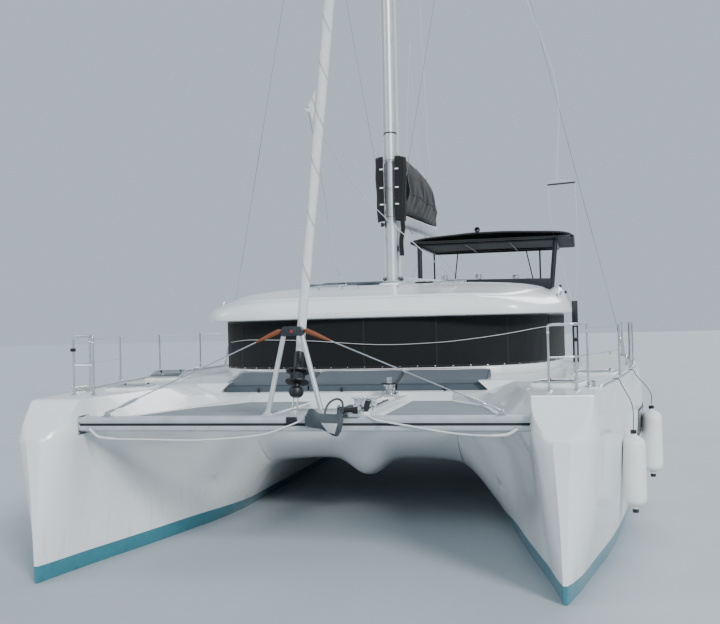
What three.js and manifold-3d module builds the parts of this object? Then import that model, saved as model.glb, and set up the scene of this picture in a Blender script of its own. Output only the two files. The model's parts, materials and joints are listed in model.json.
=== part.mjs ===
// Cruising catamaran, built in millimetres at full size.
// +Z is up, -Y is ahead (the bows), +X is the port side.
// The origin is at the waterline, on the centreline, amidships.
import * as THREE from "three";
import Module from "manifold-3d";
import { mergeVertices } from "three/addons/utils/BufferGeometryUtils.js";

const wasm = await Module();
wasm.setup();

// Driving dimensions
const GAP = 0.3;
const DECK_Z = 1900;
const SOLE_Z = 1200;
const ROOF_BASE_Z = 2735;
const SPLIT_X = 1350;
const WELL_X = 2190;
const WELL_Y = [-2230, 4700];
// The well's front corner is cut off, so that it stays under the saloon's wall.
const WELL_CORNER = [1690, -1850];
const BEAM = { y: -5870, depth: 200, bottom: 1550, top: 1705, endX: 2446 };
const HULL_AXIS_X = 2730;
const MAST = { y: -340, foot: 3300, top: 20650, rake: THREE.MathUtils.degToRad(2), width: 190, chord: 250 };
const BOOM = { z: 4370, length: 4250, pivot: 70, rise: 0.035 };
const HOUNDS_Z = 17300;

const KEEL = { top: -560, bottom: -1250, front: -900, back: 1500 };
const PROP = { y: 4420, z: -760, radius: 225 };
const RUDDER = { y: 5450, seat: -350, bottom: -1120, chord: 520 };

const catamaran = new THREE.Group();

// Small vector and solid helpers
const at = (x, y, z) => new THREE.Vector3(x, y, z);

function toSolid(geometry) {
  const bare = geometry.clone();
  bare.deleteAttribute("normal");
  bare.deleteAttribute("uv");
  const merged = mergeVertices(bare, 1e-3);
  const vertProperties = Float32Array.from(merged.attributes.position.array);
  const triVerts = Uint32Array.from(merged.index.array);
  return new wasm.Manifold(new wasm.Mesh({ numProp: 3, vertProperties, triVerts }));
}

function toGeometry(solid) {
  const mesh = solid.getMesh();
  const geometry = new THREE.BufferGeometry();
  geometry.setAttribute("position", new THREE.BufferAttribute(mesh.vertProperties, 3));
  geometry.setIndex(new THREE.BufferAttribute(mesh.triVerts, 1));
  return geometry;
}

const join = (...geometries) => toGeometry(geometries.map(toSolid).reduce((sum, next) => sum.add(next)));
const cut = (geometry, ...tools) => toGeometry(
  tools.map(toSolid).reduce((left, tool) => left.subtract(tool), toSolid(geometry)));
const common = (first, second) => toGeometry(toSolid(first).intersect(toSolid(second)));

// Trims a piece to rest on its carrier, with the gap of touching meshes along one direction.
function seated(piece, carrier, direction) {
  const [x, y, z] = direction.map((part) => part * GAP);
  return cut(piece, carrier.clone().translate(x, y, z));
}

function block(x, y, z) {
  const geometry = new THREE.BoxGeometry(x[1] - x[0], y[1] - y[0], z[1] - z[0]);
  return geometry.translate((x[0] + x[1]) / 2, (y[0] + y[1]) / 2, (z[0] + z[1]) / 2);
}

// Moves geometry from one group's own frame into another's.
function carried(geometry, from, to) {
  return geometry.clone().applyMatrix4(from.matrixWorld).applyMatrix4(to.matrixWorld.clone().invert());
}

// A straight round bar from one point to another.
function bar(from, to, radius, sides = 8, endRadius = radius) {
  const length = from.distanceTo(to);
  const geometry = new THREE.CylinderGeometry(endRadius, radius, length, sides);
  const turn = new THREE.Quaternion().setFromUnitVectors(at(0, 1, 0), to.clone().sub(from).normalize());
  const middle = from.clone().add(to).multiplyScalar(0.5);
  return geometry.applyQuaternion(turn).translate(middle.x, middle.y, middle.z);
}

// A round tube along straight runs, with a ball at every corner.
function pipe(points, radius, sides = 8) {
  const runs = points.slice(1).map((point, k) => bar(points[k], point, radius, sides));
  const balls = points.slice(1, -1).map((point) =>
    new THREE.SphereGeometry(radius * 1.02, sides, 6).translate(point.x, point.y, point.z));
  return join(...runs, ...balls);
}

function round(profile, sides = 12) {
  const points = profile.map(([radius, height]) => new THREE.Vector2(radius, height));
  return new THREE.LatheGeometry(points, sides).rotateX(Math.PI / 2);
}

// Pushes an outline of [a, b] points through a depth along the given axis.
function plate(outline, depth, axis) {
  const shape = new THREE.Shape(outline.map(([a, b]) => new THREE.Vector2(a, b)));
  const geometry = new THREE.ExtrudeGeometry(shape, { depth: depth[1] - depth[0], bevelEnabled: false });
  geometry.translate(0, 0, depth[0]);
  if (axis === "x") geometry.rotateX(Math.PI / 2).rotateZ(Math.PI / 2);
  if (axis === "y") geometry.rotateX(Math.PI / 2).scale(1, -1, 1);
  return outward(geometry);
}

// Turns the faces round when a closed mesh is inside out.
function outward(geometry) {
  const bare = geometry.clone();
  bare.deleteAttribute("normal");
  bare.deleteAttribute("uv");
  const merged = mergeVertices(bare, 1e-3);
  const spots = merged.attributes.position;
  const faces = Array.from(merged.index.array);
  let volume = 0;
  for (let f = 0; f < faces.length; f += 3) {
    const [a, b, c] = [0, 1, 2].map((k) => at().fromBufferAttribute(spots, faces[f + k]));
    volume += a.dot(b.cross(c));
  }
  if (volume < 0) {
    for (let f = 0; f < faces.length; f += 3) [faces[f], faces[f + 1]] = [faces[f + 1], faces[f]];
  }
  merged.setIndex(faces);
  return merged;
}

const mirrored = (geometry) => outward(geometry.clone().scale(-1, 1, 1));

// Skins closed rings of equal count; the end rings are filled in the plane of the two named axes.
function loft(rings, planeAxes = ["x", "z"]) {
  const count = rings[0].length;
  const faces = [];
  for (let r = 0; r + 1 < rings.length; r += 1) {
    for (let k = 0; k < count; k += 1) {
      const [a, b] = [r * count + k, r * count + ((k + 1) % count)];
      faces.push(a, b, b + count, a, b + count, a + count);
    }
  }
  const [first, second] = planeAxes;
  const fill = (ring, offset, sense) => {
    const flat = ring.map((point) => new THREE.Vector2(point[first], point[second]));
    const turn = Math.sign(THREE.ShapeUtils.area(flat)) * sense;
    for (const [a, b, c] of THREE.ShapeUtils.triangulateShape(flat, [])) {
      const keeps = THREE.ShapeUtils.area([flat[a], flat[b], flat[c]]) * turn > 0;
      faces.push(...(keeps ? [a, b, c] : [a, c, b]).map((index) => index + offset));
    }
  };
  fill(rings[0], 0, -1);
  fill(rings[rings.length - 1], (rings.length - 1) * count, 1);
  const geometry = new THREE.BufferGeometry().setFromPoints(rings.flat());
  geometry.setIndex(faces);
  return outward(geometry);
}

// A smooth value between the rows of a table, which never swings past its rows.
function smooth(table, column, y) {
  const last = table.length - 1;
  if (y <= table[0].y) return table[0][column];
  if (y >= table[last].y) return table[last][column];
  const k = table.findIndex((row) => row.y > y) - 1;
  const slope = (n) => (table[n + 1][column] - table[n][column]) / (table[n + 1].y - table[n].y);
  const tangent = (n) => {
    if (n <= 0) return slope(0);
    if (n >= last) return slope(last - 1);
    const [before, after] = [slope(n - 1), slope(n)];
    return before * after <= 0 ? 0 : (2 * before * after) / (before + after);
  };
  const span = table[k + 1].y - table[k].y;
  const t = (y - table[k].y) / span;
  const [t2, t3] = [t * t, t * t * t];
  return (2 * t3 - 3 * t2 + 1) * table[k][column] + (t3 - 2 * t2 + t) * span * tangent(k)
    + (3 * t2 - 2 * t3) * table[k + 1][column] + (t3 - t2) * span * tangent(k + 1);
}

const rowsOf = (names, rows) => rows.map((row) => Object.fromEntries(names.map((name, k) => [name, row[k]])));

// Hulls

// Outboard side of the port hull at each station: depth of the hull's belly, then half-breadths.
// The waterline is z 0, the chest z 800, the shoulder z 1500 and the deck edge deckZ.
const OUTBOARD = rowsOf(
  ["y", "keelZ", "wlOut", "chest", "shoulder", "deckOut", "deckZ"], [
    [-6400, -160, 2745, 2768, 2815, 2780, 1512],
    [-6320, -300, 2765, 2850, 2945, 2890, 1575],
    [-6200, -400, 2790, 2935, 3035, 2975, 1665],
    [-6050, -460, 2826, 3010, 3080, 3020, 1790],
    [-5900, -500, 2862, 3050, 3100, 3050, DECK_Z],
    [-5450, -545, 2958, 3115, 3140, 3105, DECK_Z],
    [-4900, -575, 3080, 3195, 3215, 3180, DECK_Z],
    [-4350, -600, 3198, 3275, 3300, 3262, DECK_Z],
    [-3450, -620, 3335, 3430, 3490, 3410, DECK_Z],
    [-2000, -640, 3490, 3650, 3735, 3600, DECK_Z],
    [0, -650, 3600, 3770, 3835, 3790, DECK_Z],
    [2500, -600, 3600, 3780, 3850, 3830, DECK_Z],
    [4700, -420, 3450, 3670, 3750, 3745, DECK_Z],
    [5500, -300, 3390, 3600, 3690, 3690, 1500],
    [6000, -210, 3350, 3555, 3610, 3600, 980],
    [6400, -120, 3320, 3480, 3520, 3520, 560],
  ]);

// Where the flat deck ends on the inboard side. From there the deck falls to the edge beside the net.
const DECK_FOLD = rowsOf(["y", "x"], [[-6400, 2685], [-6320, 2580], [-6200, 2500], [-6050, 2452], [-5900, 2440],
  [-5450, 2385], [-4620, 2330], [-4420, 1930], [-3450, 1805], [-2640, 1805], [-2400, 2080], [2500, 2080],
  [4700, 2300], [5500, 2450], [6000, 2400], [6400, 2380]]);

// Inboard side: the edge beside the nets, the hip and arm of the arch, the knee at z 300, the waterline.
const INBOARD = rowsOf(
  ["y", "edge", "edgeZ", "hip", "hipZ", "arm", "armZ", "knee", "wlIn"], [
    [-6400, 2672, 1506, 2650, 1500, 2695, 800, 2708, 2715],
    [-6320, 2560, 1545, 2545, 1500, 2640, 800, 2680, 2700],
    [-6200, 2480, 1600, 2470, 1500, 2585, 800, 2645, 2680],
    [-6050, 2446, 1660, 2440, 1500, 2540, 800, 2610, 2652],
    [-5700, 2440, 1690, 2432, 1480, 2490, 800, 2545, 2580],
    [-5450, 2190, 1660, 2390, 1300, 2445, 800, 2480, 2525],
    [-4350, 1900, 1660, 2190, 1200, 2270, 780, 2230, 2262],
    [-3800, 1690, 1670, 1990, 1120, 2090, 700, 2110, 2150],
    [-3450, SPLIT_X, 1760, SPLIT_X, 1560, 1880, 680, 2010, 2085],
    [-3200, SPLIT_X, 1800, SPLIT_X, 1150, 1740, 640, 1920, 2040],
    [-2900, SPLIT_X, 1850, SPLIT_X, 900, 1620, 580, 1820, 2000],
    [-2600, SPLIT_X, DECK_Z, SPLIT_X, 760, 1560, 550, 1740, 1970],
    [-2200, SPLIT_X, DECK_Z, SPLIT_X, 700, 1530, 540, 1690, 1940],
    [4950, SPLIT_X, DECK_Z, SPLIT_X, 740, 1600, 560, 1800, 1990],
    [4960, 2010, DECK_Z, 2000, 1200, 1990, 800, 2010, 2050],
    [5500, 2010, 1500, 2005, 1100, 2000, 750, 2020, 2060],
    [6000, 2020, 980, 2015, 800, 2015, 550, 2040, 2070],
    [6400, 2040, 560, 2035, 500, 2035, 400, 2060, 2090],
  ]);

const CHEST_Z = 800;
const SHOULDER_Z = 1500;
const KNEE_Z = 300;
const HULL_STATIONS = [-6400, -6360, -6320, -6260, -6200, -6130, -6050, -5970, -5900, -5700, -5575, -5450, -5150,
  -4800, -4620, -4420, -4100, -3800, -3600, -3450, -3320, -3200, -3050, -2900, -2750, -2640, -2400, -2200, -1500, -700,
  0, 1200, 2500, 3700, 4700, 4950, 4960, 5200, 5500, 5750, 6000, 6200, 6400];

function hullRing(y) {
  const out = (column) => smooth(OUTBOARD, column, y);
  const inn = (column) => smooth(INBOARD, column, y);
  const [keelZ, wlOut, wlIn, deckZ] = [out("keelZ"), out("wlOut"), inn("wlIn"), out("deckZ")];
  const middle = (wlOut + wlIn) / 2;
  const bilge = (wl) => middle + 0.74 * (wl - middle);
  const shoulderZ = Math.min(SHOULDER_Z, deckZ - 12);
  const chestZ = Math.min(CHEST_Z, shoulderZ * 0.6);
  return [
    at(middle, y, keelZ),
    at(bilge(wlOut), y, 0.6 * keelZ),
    at(wlOut, y, 0),
    at(out("chest"), y, chestZ),
    at(out("shoulder"), y, shoulderZ),
    at(out("deckOut"), y, deckZ),
    at(smooth(DECK_FOLD, "x", y), y, deckZ),
    at(inn("edge"), y, Math.min(inn("edgeZ"), deckZ)),
    at(inn("hip"), y, inn("hipZ")),
    at(inn("arm"), y, inn("armZ")),
    at(inn("knee"), y, KNEE_Z),
    at(wlIn, y, 0),
    at(bilge(wlIn), y, 0.6 * keelZ),
  ];
}

// Steps down the stern of each hull: tread height, first y, last y.
const STERN_STEPS = [[1500, 4350, 4990], [1150, 4990, 5400], [800, 5400, 5850], [460, 5850, 6500]];
const STEP_X = [2160, 3330];
const HATCHES = [
  { name: "fore_hatch_lid", x: 2680, y: -4220, open: 0 },
  { name: "aft_hatch_lid", x: 3120, y: -2200, open: 9 },
];
const HATCH = { width: 520, length: 520, rim: 24, lid: 26, yaw: THREE.MathUtils.degToRad(-10) };

function makeHull() {
  const body = loft(HULL_STATIONS.map(hullRing));
  const well = plate([[SPLIT_X - 20, WELL_Y[0]], [WELL_CORNER[0], WELL_Y[0]], [WELL_X, WELL_CORNER[1]],
    [WELL_X, WELL_Y[1]], [SPLIT_X - 20, WELL_Y[1]]], [SOLE_Z, 2100], "z");
  const steps = STERN_STEPS.map(([z, from, to]) => block(STEP_X, [from, to], [z, 2200]));
  const padPocket = plate([[-3470, 1690], [-3470, 2100], [-2630, 2100], [-2630, 1790]], [SPLIT_X - 20, 1780], "x");
  const socket = block([2380, BEAM.endX + GAP], [BEAM.y - 130, BEAM.y + 130], [1450, 1740]);
  const rims = HATCHES.map(({ x, y }) => {
    const [halfWidth, halfLength] = [HATCH.width / 2 - 20, HATCH.length / 2 - 20];
    return block([-halfWidth, halfWidth], [-halfLength - 18, halfLength], [DECK_Z - 40, DECK_Z + HATCH.rim])
      .rotateZ(HATCH.yaw).translate(x, y, 0);
  });
  const rudderBoss = bar(at(HULL_AXIS_X, RUDDER.y, RUDDER.seat), at(HULL_AXIS_X, RUDDER.y, -150), 75, 14);
  const cleatPad = block([3010, 3100], [-4960, -4780], [DECK_Z - 40, DECK_Z + 10]);
  return cut(join(body, ...rims, rudderBoss, cleatPad), well, ...steps, socket, padPocket);
}

const LADDER = { x: -2750, y: 6422, z: 440, height: 900, half: 185 };

function makeLadderLugs() {
  return [1, -1].map((side) => {
    const x = [LADDER.x + side * (LADDER.half + 0.5), LADDER.x + side * (LADDER.half + 16)].sort((a, b) => a - b);
    return block(x, [6300, LADDER.y + 18], [LADDER.z - 18, LADDER.z + 18]);
  });
}

const portHull = makeHull();
const starboardHull = join(mirrored(portHull), ...makeLadderLugs());

// Bridge deck with its nacelle
const NACELLE = { drop: 240, width: 270, front: -3400, full: -2700, fade: 500, end: 2600 };

function nacelleDepth(x, y) {
  const rise = THREE.MathUtils.smoothstep(y, NACELLE.front, NACELLE.full);
  const fall = 1 - THREE.MathUtils.smoothstep(y, NACELLE.fade, NACELLE.end);
  return NACELLE.drop * rise * fall * Math.exp(-((x / NACELLE.width) ** 2));
}

function bridgeRing(y) {
  const columns = [-SPLIT_X, -1150, -900, -620, -450, -300, -150, 0, 150, 300, 450, 620, 900, 1150, SPLIT_X];
  const edgeX = SPLIT_X - GAP;
  const hipZ = smooth(INBOARD, "hipZ", y);
  const topZ = smooth(INBOARD, "edgeZ", y);
  const lift = 60 * THREE.MathUtils.smoothstep(y, -3450, -2600);
  const under = columns.map((x) => {
    const arch = lift * (1 - (x / SPLIT_X) ** 4);
    return at(THREE.MathUtils.clamp(x, -edgeX, edgeX), y, hipZ + arch - nacelleDepth(x, y));
  });
  return [...under, at(edgeX, y, topZ), at(-edgeX, y, topZ)];
}

const BRIDGE_STATIONS = [-3450, -3320, -3200, -3050, -2900, -2750, -2600, -2400, -2200, 500, 1200, 1900, 2600, 4950];

function makeBridgeDeck() {
  const body = loft(BRIDGE_STATIONS.map(bridgeRing));
  const well = block([-2000, 2000], WELL_Y, [SOLE_Z, 2100]);
  const walkway = [1, -1].map((side) => {
    const reach = [side * 1000, side * 2000].sort((a, b) => a - b);
    return block(reach, [4600, 5100], [1500, 2100]);
  });
  return cut(body, well, ...walkway);
}

const bridgeDeck = makeBridgeDeck();

// Keels, drives, propellers and rudders under the port hull; the starboard side mirrors them
function makeKeel() {
  const halfSection = [[0, 1], [0.12, 0.42], [0.35, 0], [0.7, 0.32], [1, 0.97]];
  const ring = (z, front, back, half) => {
    const side = halfSection.map(([t]) => [t, 4 * t * (1 - t) * 0.5 + 0.5 * Math.sin(Math.PI * t ** 0.6)]);
    const points = side.map(([t, thick]) => at(HULL_AXIS_X + half * Math.max(thick, 0.03), front + t * (back - front), z));
    const other = [...side].reverse().map(([t, thick]) =>
      at(HULL_AXIS_X - half * Math.max(thick, 0.03), front + t * (back - front), z));
    return [...points, ...other];
  };
  const body = loft([
    ring(KEEL.top - 140, KEEL.front, KEEL.back, 150),
    ring(KEEL.bottom + 60, KEEL.front + 330, KEEL.back - 120, 120),
    ring(KEEL.bottom, KEEL.front + 420, KEEL.back - 180, 80),
  ], ["x", "y"]);
  const root = loft([
    ring(KEEL.top + 120, KEEL.front, KEEL.back, 150),
    ring(KEEL.top - 140, KEEL.front, KEEL.back, 150),
  ], ["x", "y"]);
  return seated(join(body, root), portHull, [0, 0, -1]);
}

function makeDrive() {
  const leg = block([HULL_AXIS_X - 55, HULL_AXIS_X + 55], [PROP.y - 330, PROP.y - 90], [PROP.z, -300]);
  const pod = bar(at(HULL_AXIS_X, PROP.y - 430, PROP.z), at(HULL_AXIS_X, PROP.y - 60, PROP.z), 45, 12, 75);
  const nose = bar(at(HULL_AXIS_X, PROP.y - 60.5, PROP.z), at(HULL_AXIS_X, PROP.y - 40, PROP.z), 70, 12);
  return seated(join(leg, pod, nose), portHull, [0, 0, -1]);
}

function makePropeller() {
  const hub = round([[0, 0], [62, 0], [62, 130], [30, 190], [0, 195]]);
  const blades = [0, 1, 2].map((k) => {
    const blade = block([-70, 70], [40, PROP.radius], [-9, 9]);
    return blade.rotateY(0.55).translate(0, 0, 65).rotateZ((k * 2 * Math.PI) / 3);
  });
  return join(hub, ...blades).rotateX(-Math.PI / 2);
}

function makeRudder() {
  const half = 42;
  const ring = (z, shift, chord) => [
    at(0, shift - 0.28 * chord, z), at(half, shift - 0.12 * chord, z), at(half * 0.9, shift + 0.25 * chord, z),
    at(4, shift + 0.72 * chord, z), at(-4, shift + 0.72 * chord, z), at(-half * 0.9, shift + 0.25 * chord, z),
    at(-half, shift - 0.12 * chord, z),
  ];
  const blade = loft([ring(RUDDER.bottom - RUDDER.seat, 30, RUDDER.chord * 0.72), ring(-24, 0, RUDDER.chord)],
    ["x", "y"]);
  return join(blade, bar(at(0, 0, -60), at(0, 0, -0.5), 38, 14));
}

// Coachroof
// The front rises steeply to a crease at z 3010 and then slopes up to the mast; fullness squares the cross-section.
const ROOF = rowsOf(["y", "half", "topZ", "fullness"], [
  [-2640, 1000, 2815, 5],
  [-2610, 1520, 2900, 5],
  [-2560, 1880, 2970, 5],
  [-2480, 2150, 3008, 5],
  [-2350, 2300, 3035, 4.6],
  [-2100, 2460, 3080, 4],
  [-1700, 2630, 3150, 3.6],
  [-1350, 2740, 3200, 3.6],
  [-1000, 2795, 3235, 3.8],
  [0, 2805, 3285, 4.4],
  [1200, 2780, 3290, 5],
  [2500, 2740, 3290, 5],
  [4200, 2480, 3240, 4],
  [4900, 2260, 3160, 3.2],
]);
const ROOF_LIP = 60;
const ROOF_SPANS = [0, 0.3, 0.5, 0.65, 0.78, 0.88, 0.95, 0.985, 1];

const crown = (span, fullness) => (1 - span ** fullness) ** 0.5;

function roofZ(x, y) {
  const edgeZ = ROOF_BASE_Z + ROOF_LIP;
  const span = Math.min(Math.abs(x) / smooth(ROOF, "half", y), 1);
  return edgeZ + (smooth(ROOF, "topZ", y) - edgeZ) * crown(span, smooth(ROOF, "fullness", y));
}

function roofRing(y, inset, drop) {
  const half = smooth(ROOF, "half", y) - inset;
  const edgeZ = ROOF_BASE_Z + ROOF_LIP;
  const rise = smooth(ROOF, "topZ", y) - edgeZ - drop;
  const fullness = smooth(ROOF, "fullness", y);
  const side = ROOF_SPANS.map((span) => [span * half, edgeZ + rise * crown(span, fullness)]);
  const right = [...side].reverse();
  const left = side.slice(1);
  return [at(half, y, ROOF_BASE_Z), ...right.map(([x, z]) => at(x, y, z)),
    ...left.map(([x, z]) => at(-x, y, z)), at(-half, y, ROOF_BASE_Z)];
}

const ROOF_STATIONS = [-2640, -2610, -2560, -2480, -2350, -2230, -2100, -1900, -1700, -1350, -1000, -500, 0, 1200,
  2500, 3400, 4200, 4600, 4900];
const HELM_HOLE = { x: [960, 2330], y: [1640, 3060] };
const REAR_POSTS = [{ x: 190, y: 2900 }, { x: 2205, y: 3140 }];
const REAR_PAD_Z = 3310;

// The coaming along the port side of the helm; its ends sink into the roof.
function makeCoaming() {
  const section = [[2345, 2860], [2345, 3060], [2430, 3150], [2520, 3200], [2585, 3212], [2650, 3165], [2705, 3030],
    [2728, 2860]];
  const ringAt = ([y, rise]) => section.map(([x, z]) => at(x, y, 2860 + (z - 2860) * rise));
  return loft([[350, 0.35], [750, 0.95], [1100, 1], [2700, 1], [3300, 0.8], [3700, 0.3]].map(ringAt));
}

function makeCoachroof() {
  const body = loft(ROOF_STATIONS.map((y) => roofRing(y, 0, 0)));
  const hollow = (from, to, halfWidth) => {
    const rings = [from, (from + to) / 2, to].map((y) => roofRing(y, 120, 90));
    const low = block([-halfWidth, halfWidth], [from, to], [ROOF_BASE_Z - 50, ROOF_BASE_Z + 40]);
    const column = block([-halfWidth, halfWidth], [from + 1, to - 1], [ROOF_BASE_Z - 60, 3400]);
    return join(low, common(loft(rings), column));
  };
  const mastPad = round([[0, 0], [230, 0], [230, MAST.foot - 3200], [0, MAST.foot - 3200]], 20)
    .translate(0, MAST.y, 3200);
  const helmHole = block(HELM_HOLE.x, HELM_HOLE.y, [2600, 3500]);
  const postPads = REAR_POSTS.map(({ x, y }) => block([x - 60, x + 60], [y - 60, y + 60], [2900, REAR_PAD_Z]));
  const legs = [1, -1].map((side) => bar(at(side * 2150, 4550, 2800), at(side * 2280, 4480, DECK_Z - 30), 70, 10));
  const shell = cut(join(body, mastPad, makeCoaming(), ...postPads), hollow(-1650, 1440, WELL_X - 20),
    hollow(1680, 4700, 2050), helmHole);
  return seated(seated(join(shell, ...legs), portHull, [0, 0, 1]), starboardHull, [0, 0, 1]);
}

const coachroof = makeCoachroof();

// Saloon walls with their windows cut, the panes and the cover over the windscreen
const SALOON = { aft: 1560, wall: 50, foot: DECK_Z, top: ROOF_BASE_Z - GAP };

// Half outline of the saloon in plan, from the aft port corner to the nose.
const SALOON_PLAN = [
  [2640, SALOON.aft], [2660, 700], [2650, 0], [2615, -500], [2560, -900], [2490, -1230], [2365, -1600],
  [2180, -1930], [1870, -2200], [1480, -2370], [1020, -2480], [520, -2540], [0, -2560],
];

// That outline moved inward by inset, and begun at the given aft end.
function saloonSide(inset, aft) {
  const last = SALOON_PLAN.length - 1;
  const side = SALOON_PLAN.map(([x, y], k) => {
    const [fromX, fromY] = SALOON_PLAN[Math.max(k - 1, 0)];
    const [toX, toY] = k < last ? SALOON_PLAN[k + 1] : [-fromX, fromY];
    const length = Math.hypot(toX - fromX, toY - fromY);
    return [x + (inset * (toY - fromY)) / length, y - (inset * (toX - fromX)) / length];
  });
  const ahead = side.findIndex(([, y]) => y < aft - 1);
  if (ahead === 0) return [[side[0][0], aft], ...side];
  const [[backX, backY], [aheadX, aheadY]] = [side[ahead - 1], side[ahead]];
  const share = (aft - backY) / (aheadY - backY);
  return [[backX + share * (aheadX - backX), aft], ...side.slice(ahead)];
}

function saloonBand(outer, inner, z, aft) {
  const outside = saloonSide(outer, aft);
  const inside = saloonSide(inner, aft);
  const across = (points) => points.slice(0, -1).map(([x, y]) => [-x, y]).reverse();
  const loop = [...outside, ...across(outside), ...across(inside).reverse(), ...[...inside].reverse()];
  return plate(loop, z, "z");
}

const FRONT_WINDOW = { half: 1850, z: [2060, 2680] };
const SIDE_WINDOW = { x: [2350, 2800], y: [-1200, 1380], z: [2070, 2690] };

function makeSaloonWall() {
  const wall = saloonBand(0, SALOON.wall, [SALOON.foot + GAP, SALOON.top], SALOON.aft);
  const front = block([-FRONT_WINDOW.half, FRONT_WINDOW.half], [-2700, -1900], FRONT_WINDOW.z);
  const sides = [1, -1].map((side) => {
    const x = SIDE_WINDOW.x.map((reach) => side * reach).sort((a, b) => a - b);
    return block(x, SIDE_WINDOW.y, SIDE_WINDOW.z);
  });
  return cut(wall, front, ...sides);
}

function makePane(x, y, z) {
  const band = saloonBand(14, 30, [z[0] + GAP, z[1] - GAP], SALOON.aft);
  const window = block([x[0] + GAP, x[1] - GAP], [y[0] + GAP, y[1] - GAP], [z[0] - 50, z[1] + 50]);
  return common(band, window);
}

const COVER = { aft: -1300, z: [2028, 2728], thick: 6 };
const makeCover = () => saloonBand(-COVER.thick - GAP, -GAP, COVER.z, COVER.aft);

// Aft bulkhead, its fixed pane and the sliding door
const BULKHEAD = { y: [1500, 1550], half: WELL_X - GAP, upper: 2588 };
const DOORWAY = { x: [-1000, 620], z: [SOLE_Z + 60, 2640] };
const DOOR = { x: [-1030, -160], y: [1561, 1596], z: [SOLE_Z + 46, 2665], travel: 790 };

function makeBulkhead() {
  const sheet = join(block([-BULKHEAD.half, BULKHEAD.half], BULKHEAD.y, [SOLE_Z + GAP, ROOF_BASE_Z - GAP]),
    block([-BULKHEAD.upper, BULKHEAD.upper], BULKHEAD.y, [DECK_Z + GAP, ROOF_BASE_Z - GAP]));
  const runner = block([-1100, 700], [BULKHEAD.y[1] - 5, 1610], [SOLE_Z + GAP, DOOR.z[0] - 0.5]);
  const rail = block([-1100, 700], [BULKHEAD.y[1] - 5, 1610], [DOOR.z[1] + 6, DOOR.z[1] + 50]);
  return cut(join(sheet, runner, rail), block(DOORWAY.x, [1400, BULKHEAD.y[1] + 1], DOORWAY.z));
}

const makeFixedPane = () => block([-150, DOORWAY.x[1] - GAP], [1510, 1535],
  [DOORWAY.z[0] + GAP, DOORWAY.z[1] - GAP]);

function makeDoor() {
  const frame = block(DOOR.x, DOOR.y, DOOR.z);
  const light = block([DOOR.x[0] + 70, DOOR.x[1] - 70], [1500, 1650], [DOOR.z[0] + 90, DOOR.z[1] - 90]);
  const glass = block([DOOR.x[0] + 60, DOOR.x[1] - 60], [1572, 1585], [DOOR.z[0] + 80, DOOR.z[1] - 80]);
  return join(cut(frame, light), glass);
}

// Foredeck: crossbeam, striker frame, stays, anchor gear, nets and pads
function makeCrossbeam() {
  const [front, back] = [BEAM.y - BEAM.depth / 2, BEAM.y + BEAM.depth / 2];
  const outline = [
    [front, BEAM.bottom + 40], [front + 40, BEAM.bottom], [back - 40, BEAM.bottom], [back, BEAM.bottom + 40],
    [back, BEAM.top - 30], [back - 30, BEAM.top], [front + 30, BEAM.top], [front, BEAM.top - 30],
    [front, 1640], [front + 14, 1640], [front + 14, 1612], [front, 1612],
  ];
  const tube = plate(outline, [-BEAM.endX + 12, BEAM.endX - 12], "x");
  const ends = [1, -1].map((side) => {
    const x = [side * BEAM.endX, side * (BEAM.endX - 14)].sort((a, b) => a - b);
    return block(x, [front - 20, back + 20], [BEAM.bottom - 35, BEAM.top + 20]);
  });
  const tang = block([-30, 30], [BEAM.y - 60, BEAM.y + 60], [BEAM.top - 10, BEAM.top + 60]);
  return join(tube, ...ends, tang);
}

const STRIKER = { footX: 300, headX: 88, headZ: 2590, tube: 27 };

function makeStriker() {
  const legs = [1, -1].map((side) => bar(at(side * STRIKER.footX, BEAM.y, BEAM.top + GAP),
    at(side * STRIKER.headX, BEAM.y, STRIKER.headZ), STRIKER.tube, 12));
  const head = block([-120, 120], [BEAM.y - 40, BEAM.y + 40], [STRIKER.headZ - 45, STRIKER.headZ + 50]);
  const feet = [1, -1].map((side) => block([side * STRIKER.footX - 60, side * STRIKER.footX + 60],
    [BEAM.y - 65, BEAM.y + 65], [BEAM.top + GAP, BEAM.top + 12]));
  const below = block([-600, 600], [BEAM.y - 200, BEAM.y + 200], [BEAM.top - 100, BEAM.top + GAP]);
  return cut(join(...legs, head, ...feet), below);
}

function makeHeadStay() {
  const wire = bar(at(120 + GAP, BEAM.y, STRIKER.headZ + 15), at(2150, BEAM.y, BEAM.top + 40), 7, 8);
  const screw = bar(at(1800, BEAM.y, BEAM.top + 192), at(2000, BEAM.y, BEAM.top + 105), 16, 8);
  const chain = block([2110, 2190], [BEAM.y - 25, BEAM.y + 25], [BEAM.top + GAP, BEAM.top + 60]);
  const headSpace = block([-200, 120 + GAP], [BEAM.y - 100, BEAM.y + 100], [STRIKER.headZ - 100, STRIKER.headZ + 100]);
  return cut(join(wire, screw, chain), headSpace);
}

const LONGERON = { x: [430, 780], top: 1735, y: [BEAM.y + BEAM.depth / 2 + GAP, -3450 - GAP] };

function makeLongeron() {
  const channel = block(LONGERON.x, LONGERON.y, [1590, LONGERON.top]);
  const groove = block([LONGERON.x[0] + 90, LONGERON.x[1] - 90], [LONGERON.y[0] + 250, -3900], [1690, 1800]);
  const tongue = block([LONGERON.x[0] + 60, LONGERON.x[1] - 60], [BEAM.y - 130, LONGERON.y[0] + 200],
    [BEAM.top + GAP, LONGERON.top + 5]);
  const cheeks = [LONGERON.x[0] + 60, LONGERON.x[1] - 80].map((x) =>
    block([x, x + 20], [BEAM.y - 150, BEAM.y + 190], [LONGERON.top - 20, LONGERON.top + 90]));
  return join(cut(channel, groove), tongue, ...cheeks);
}

const ANCHOR_X = 540;

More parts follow.
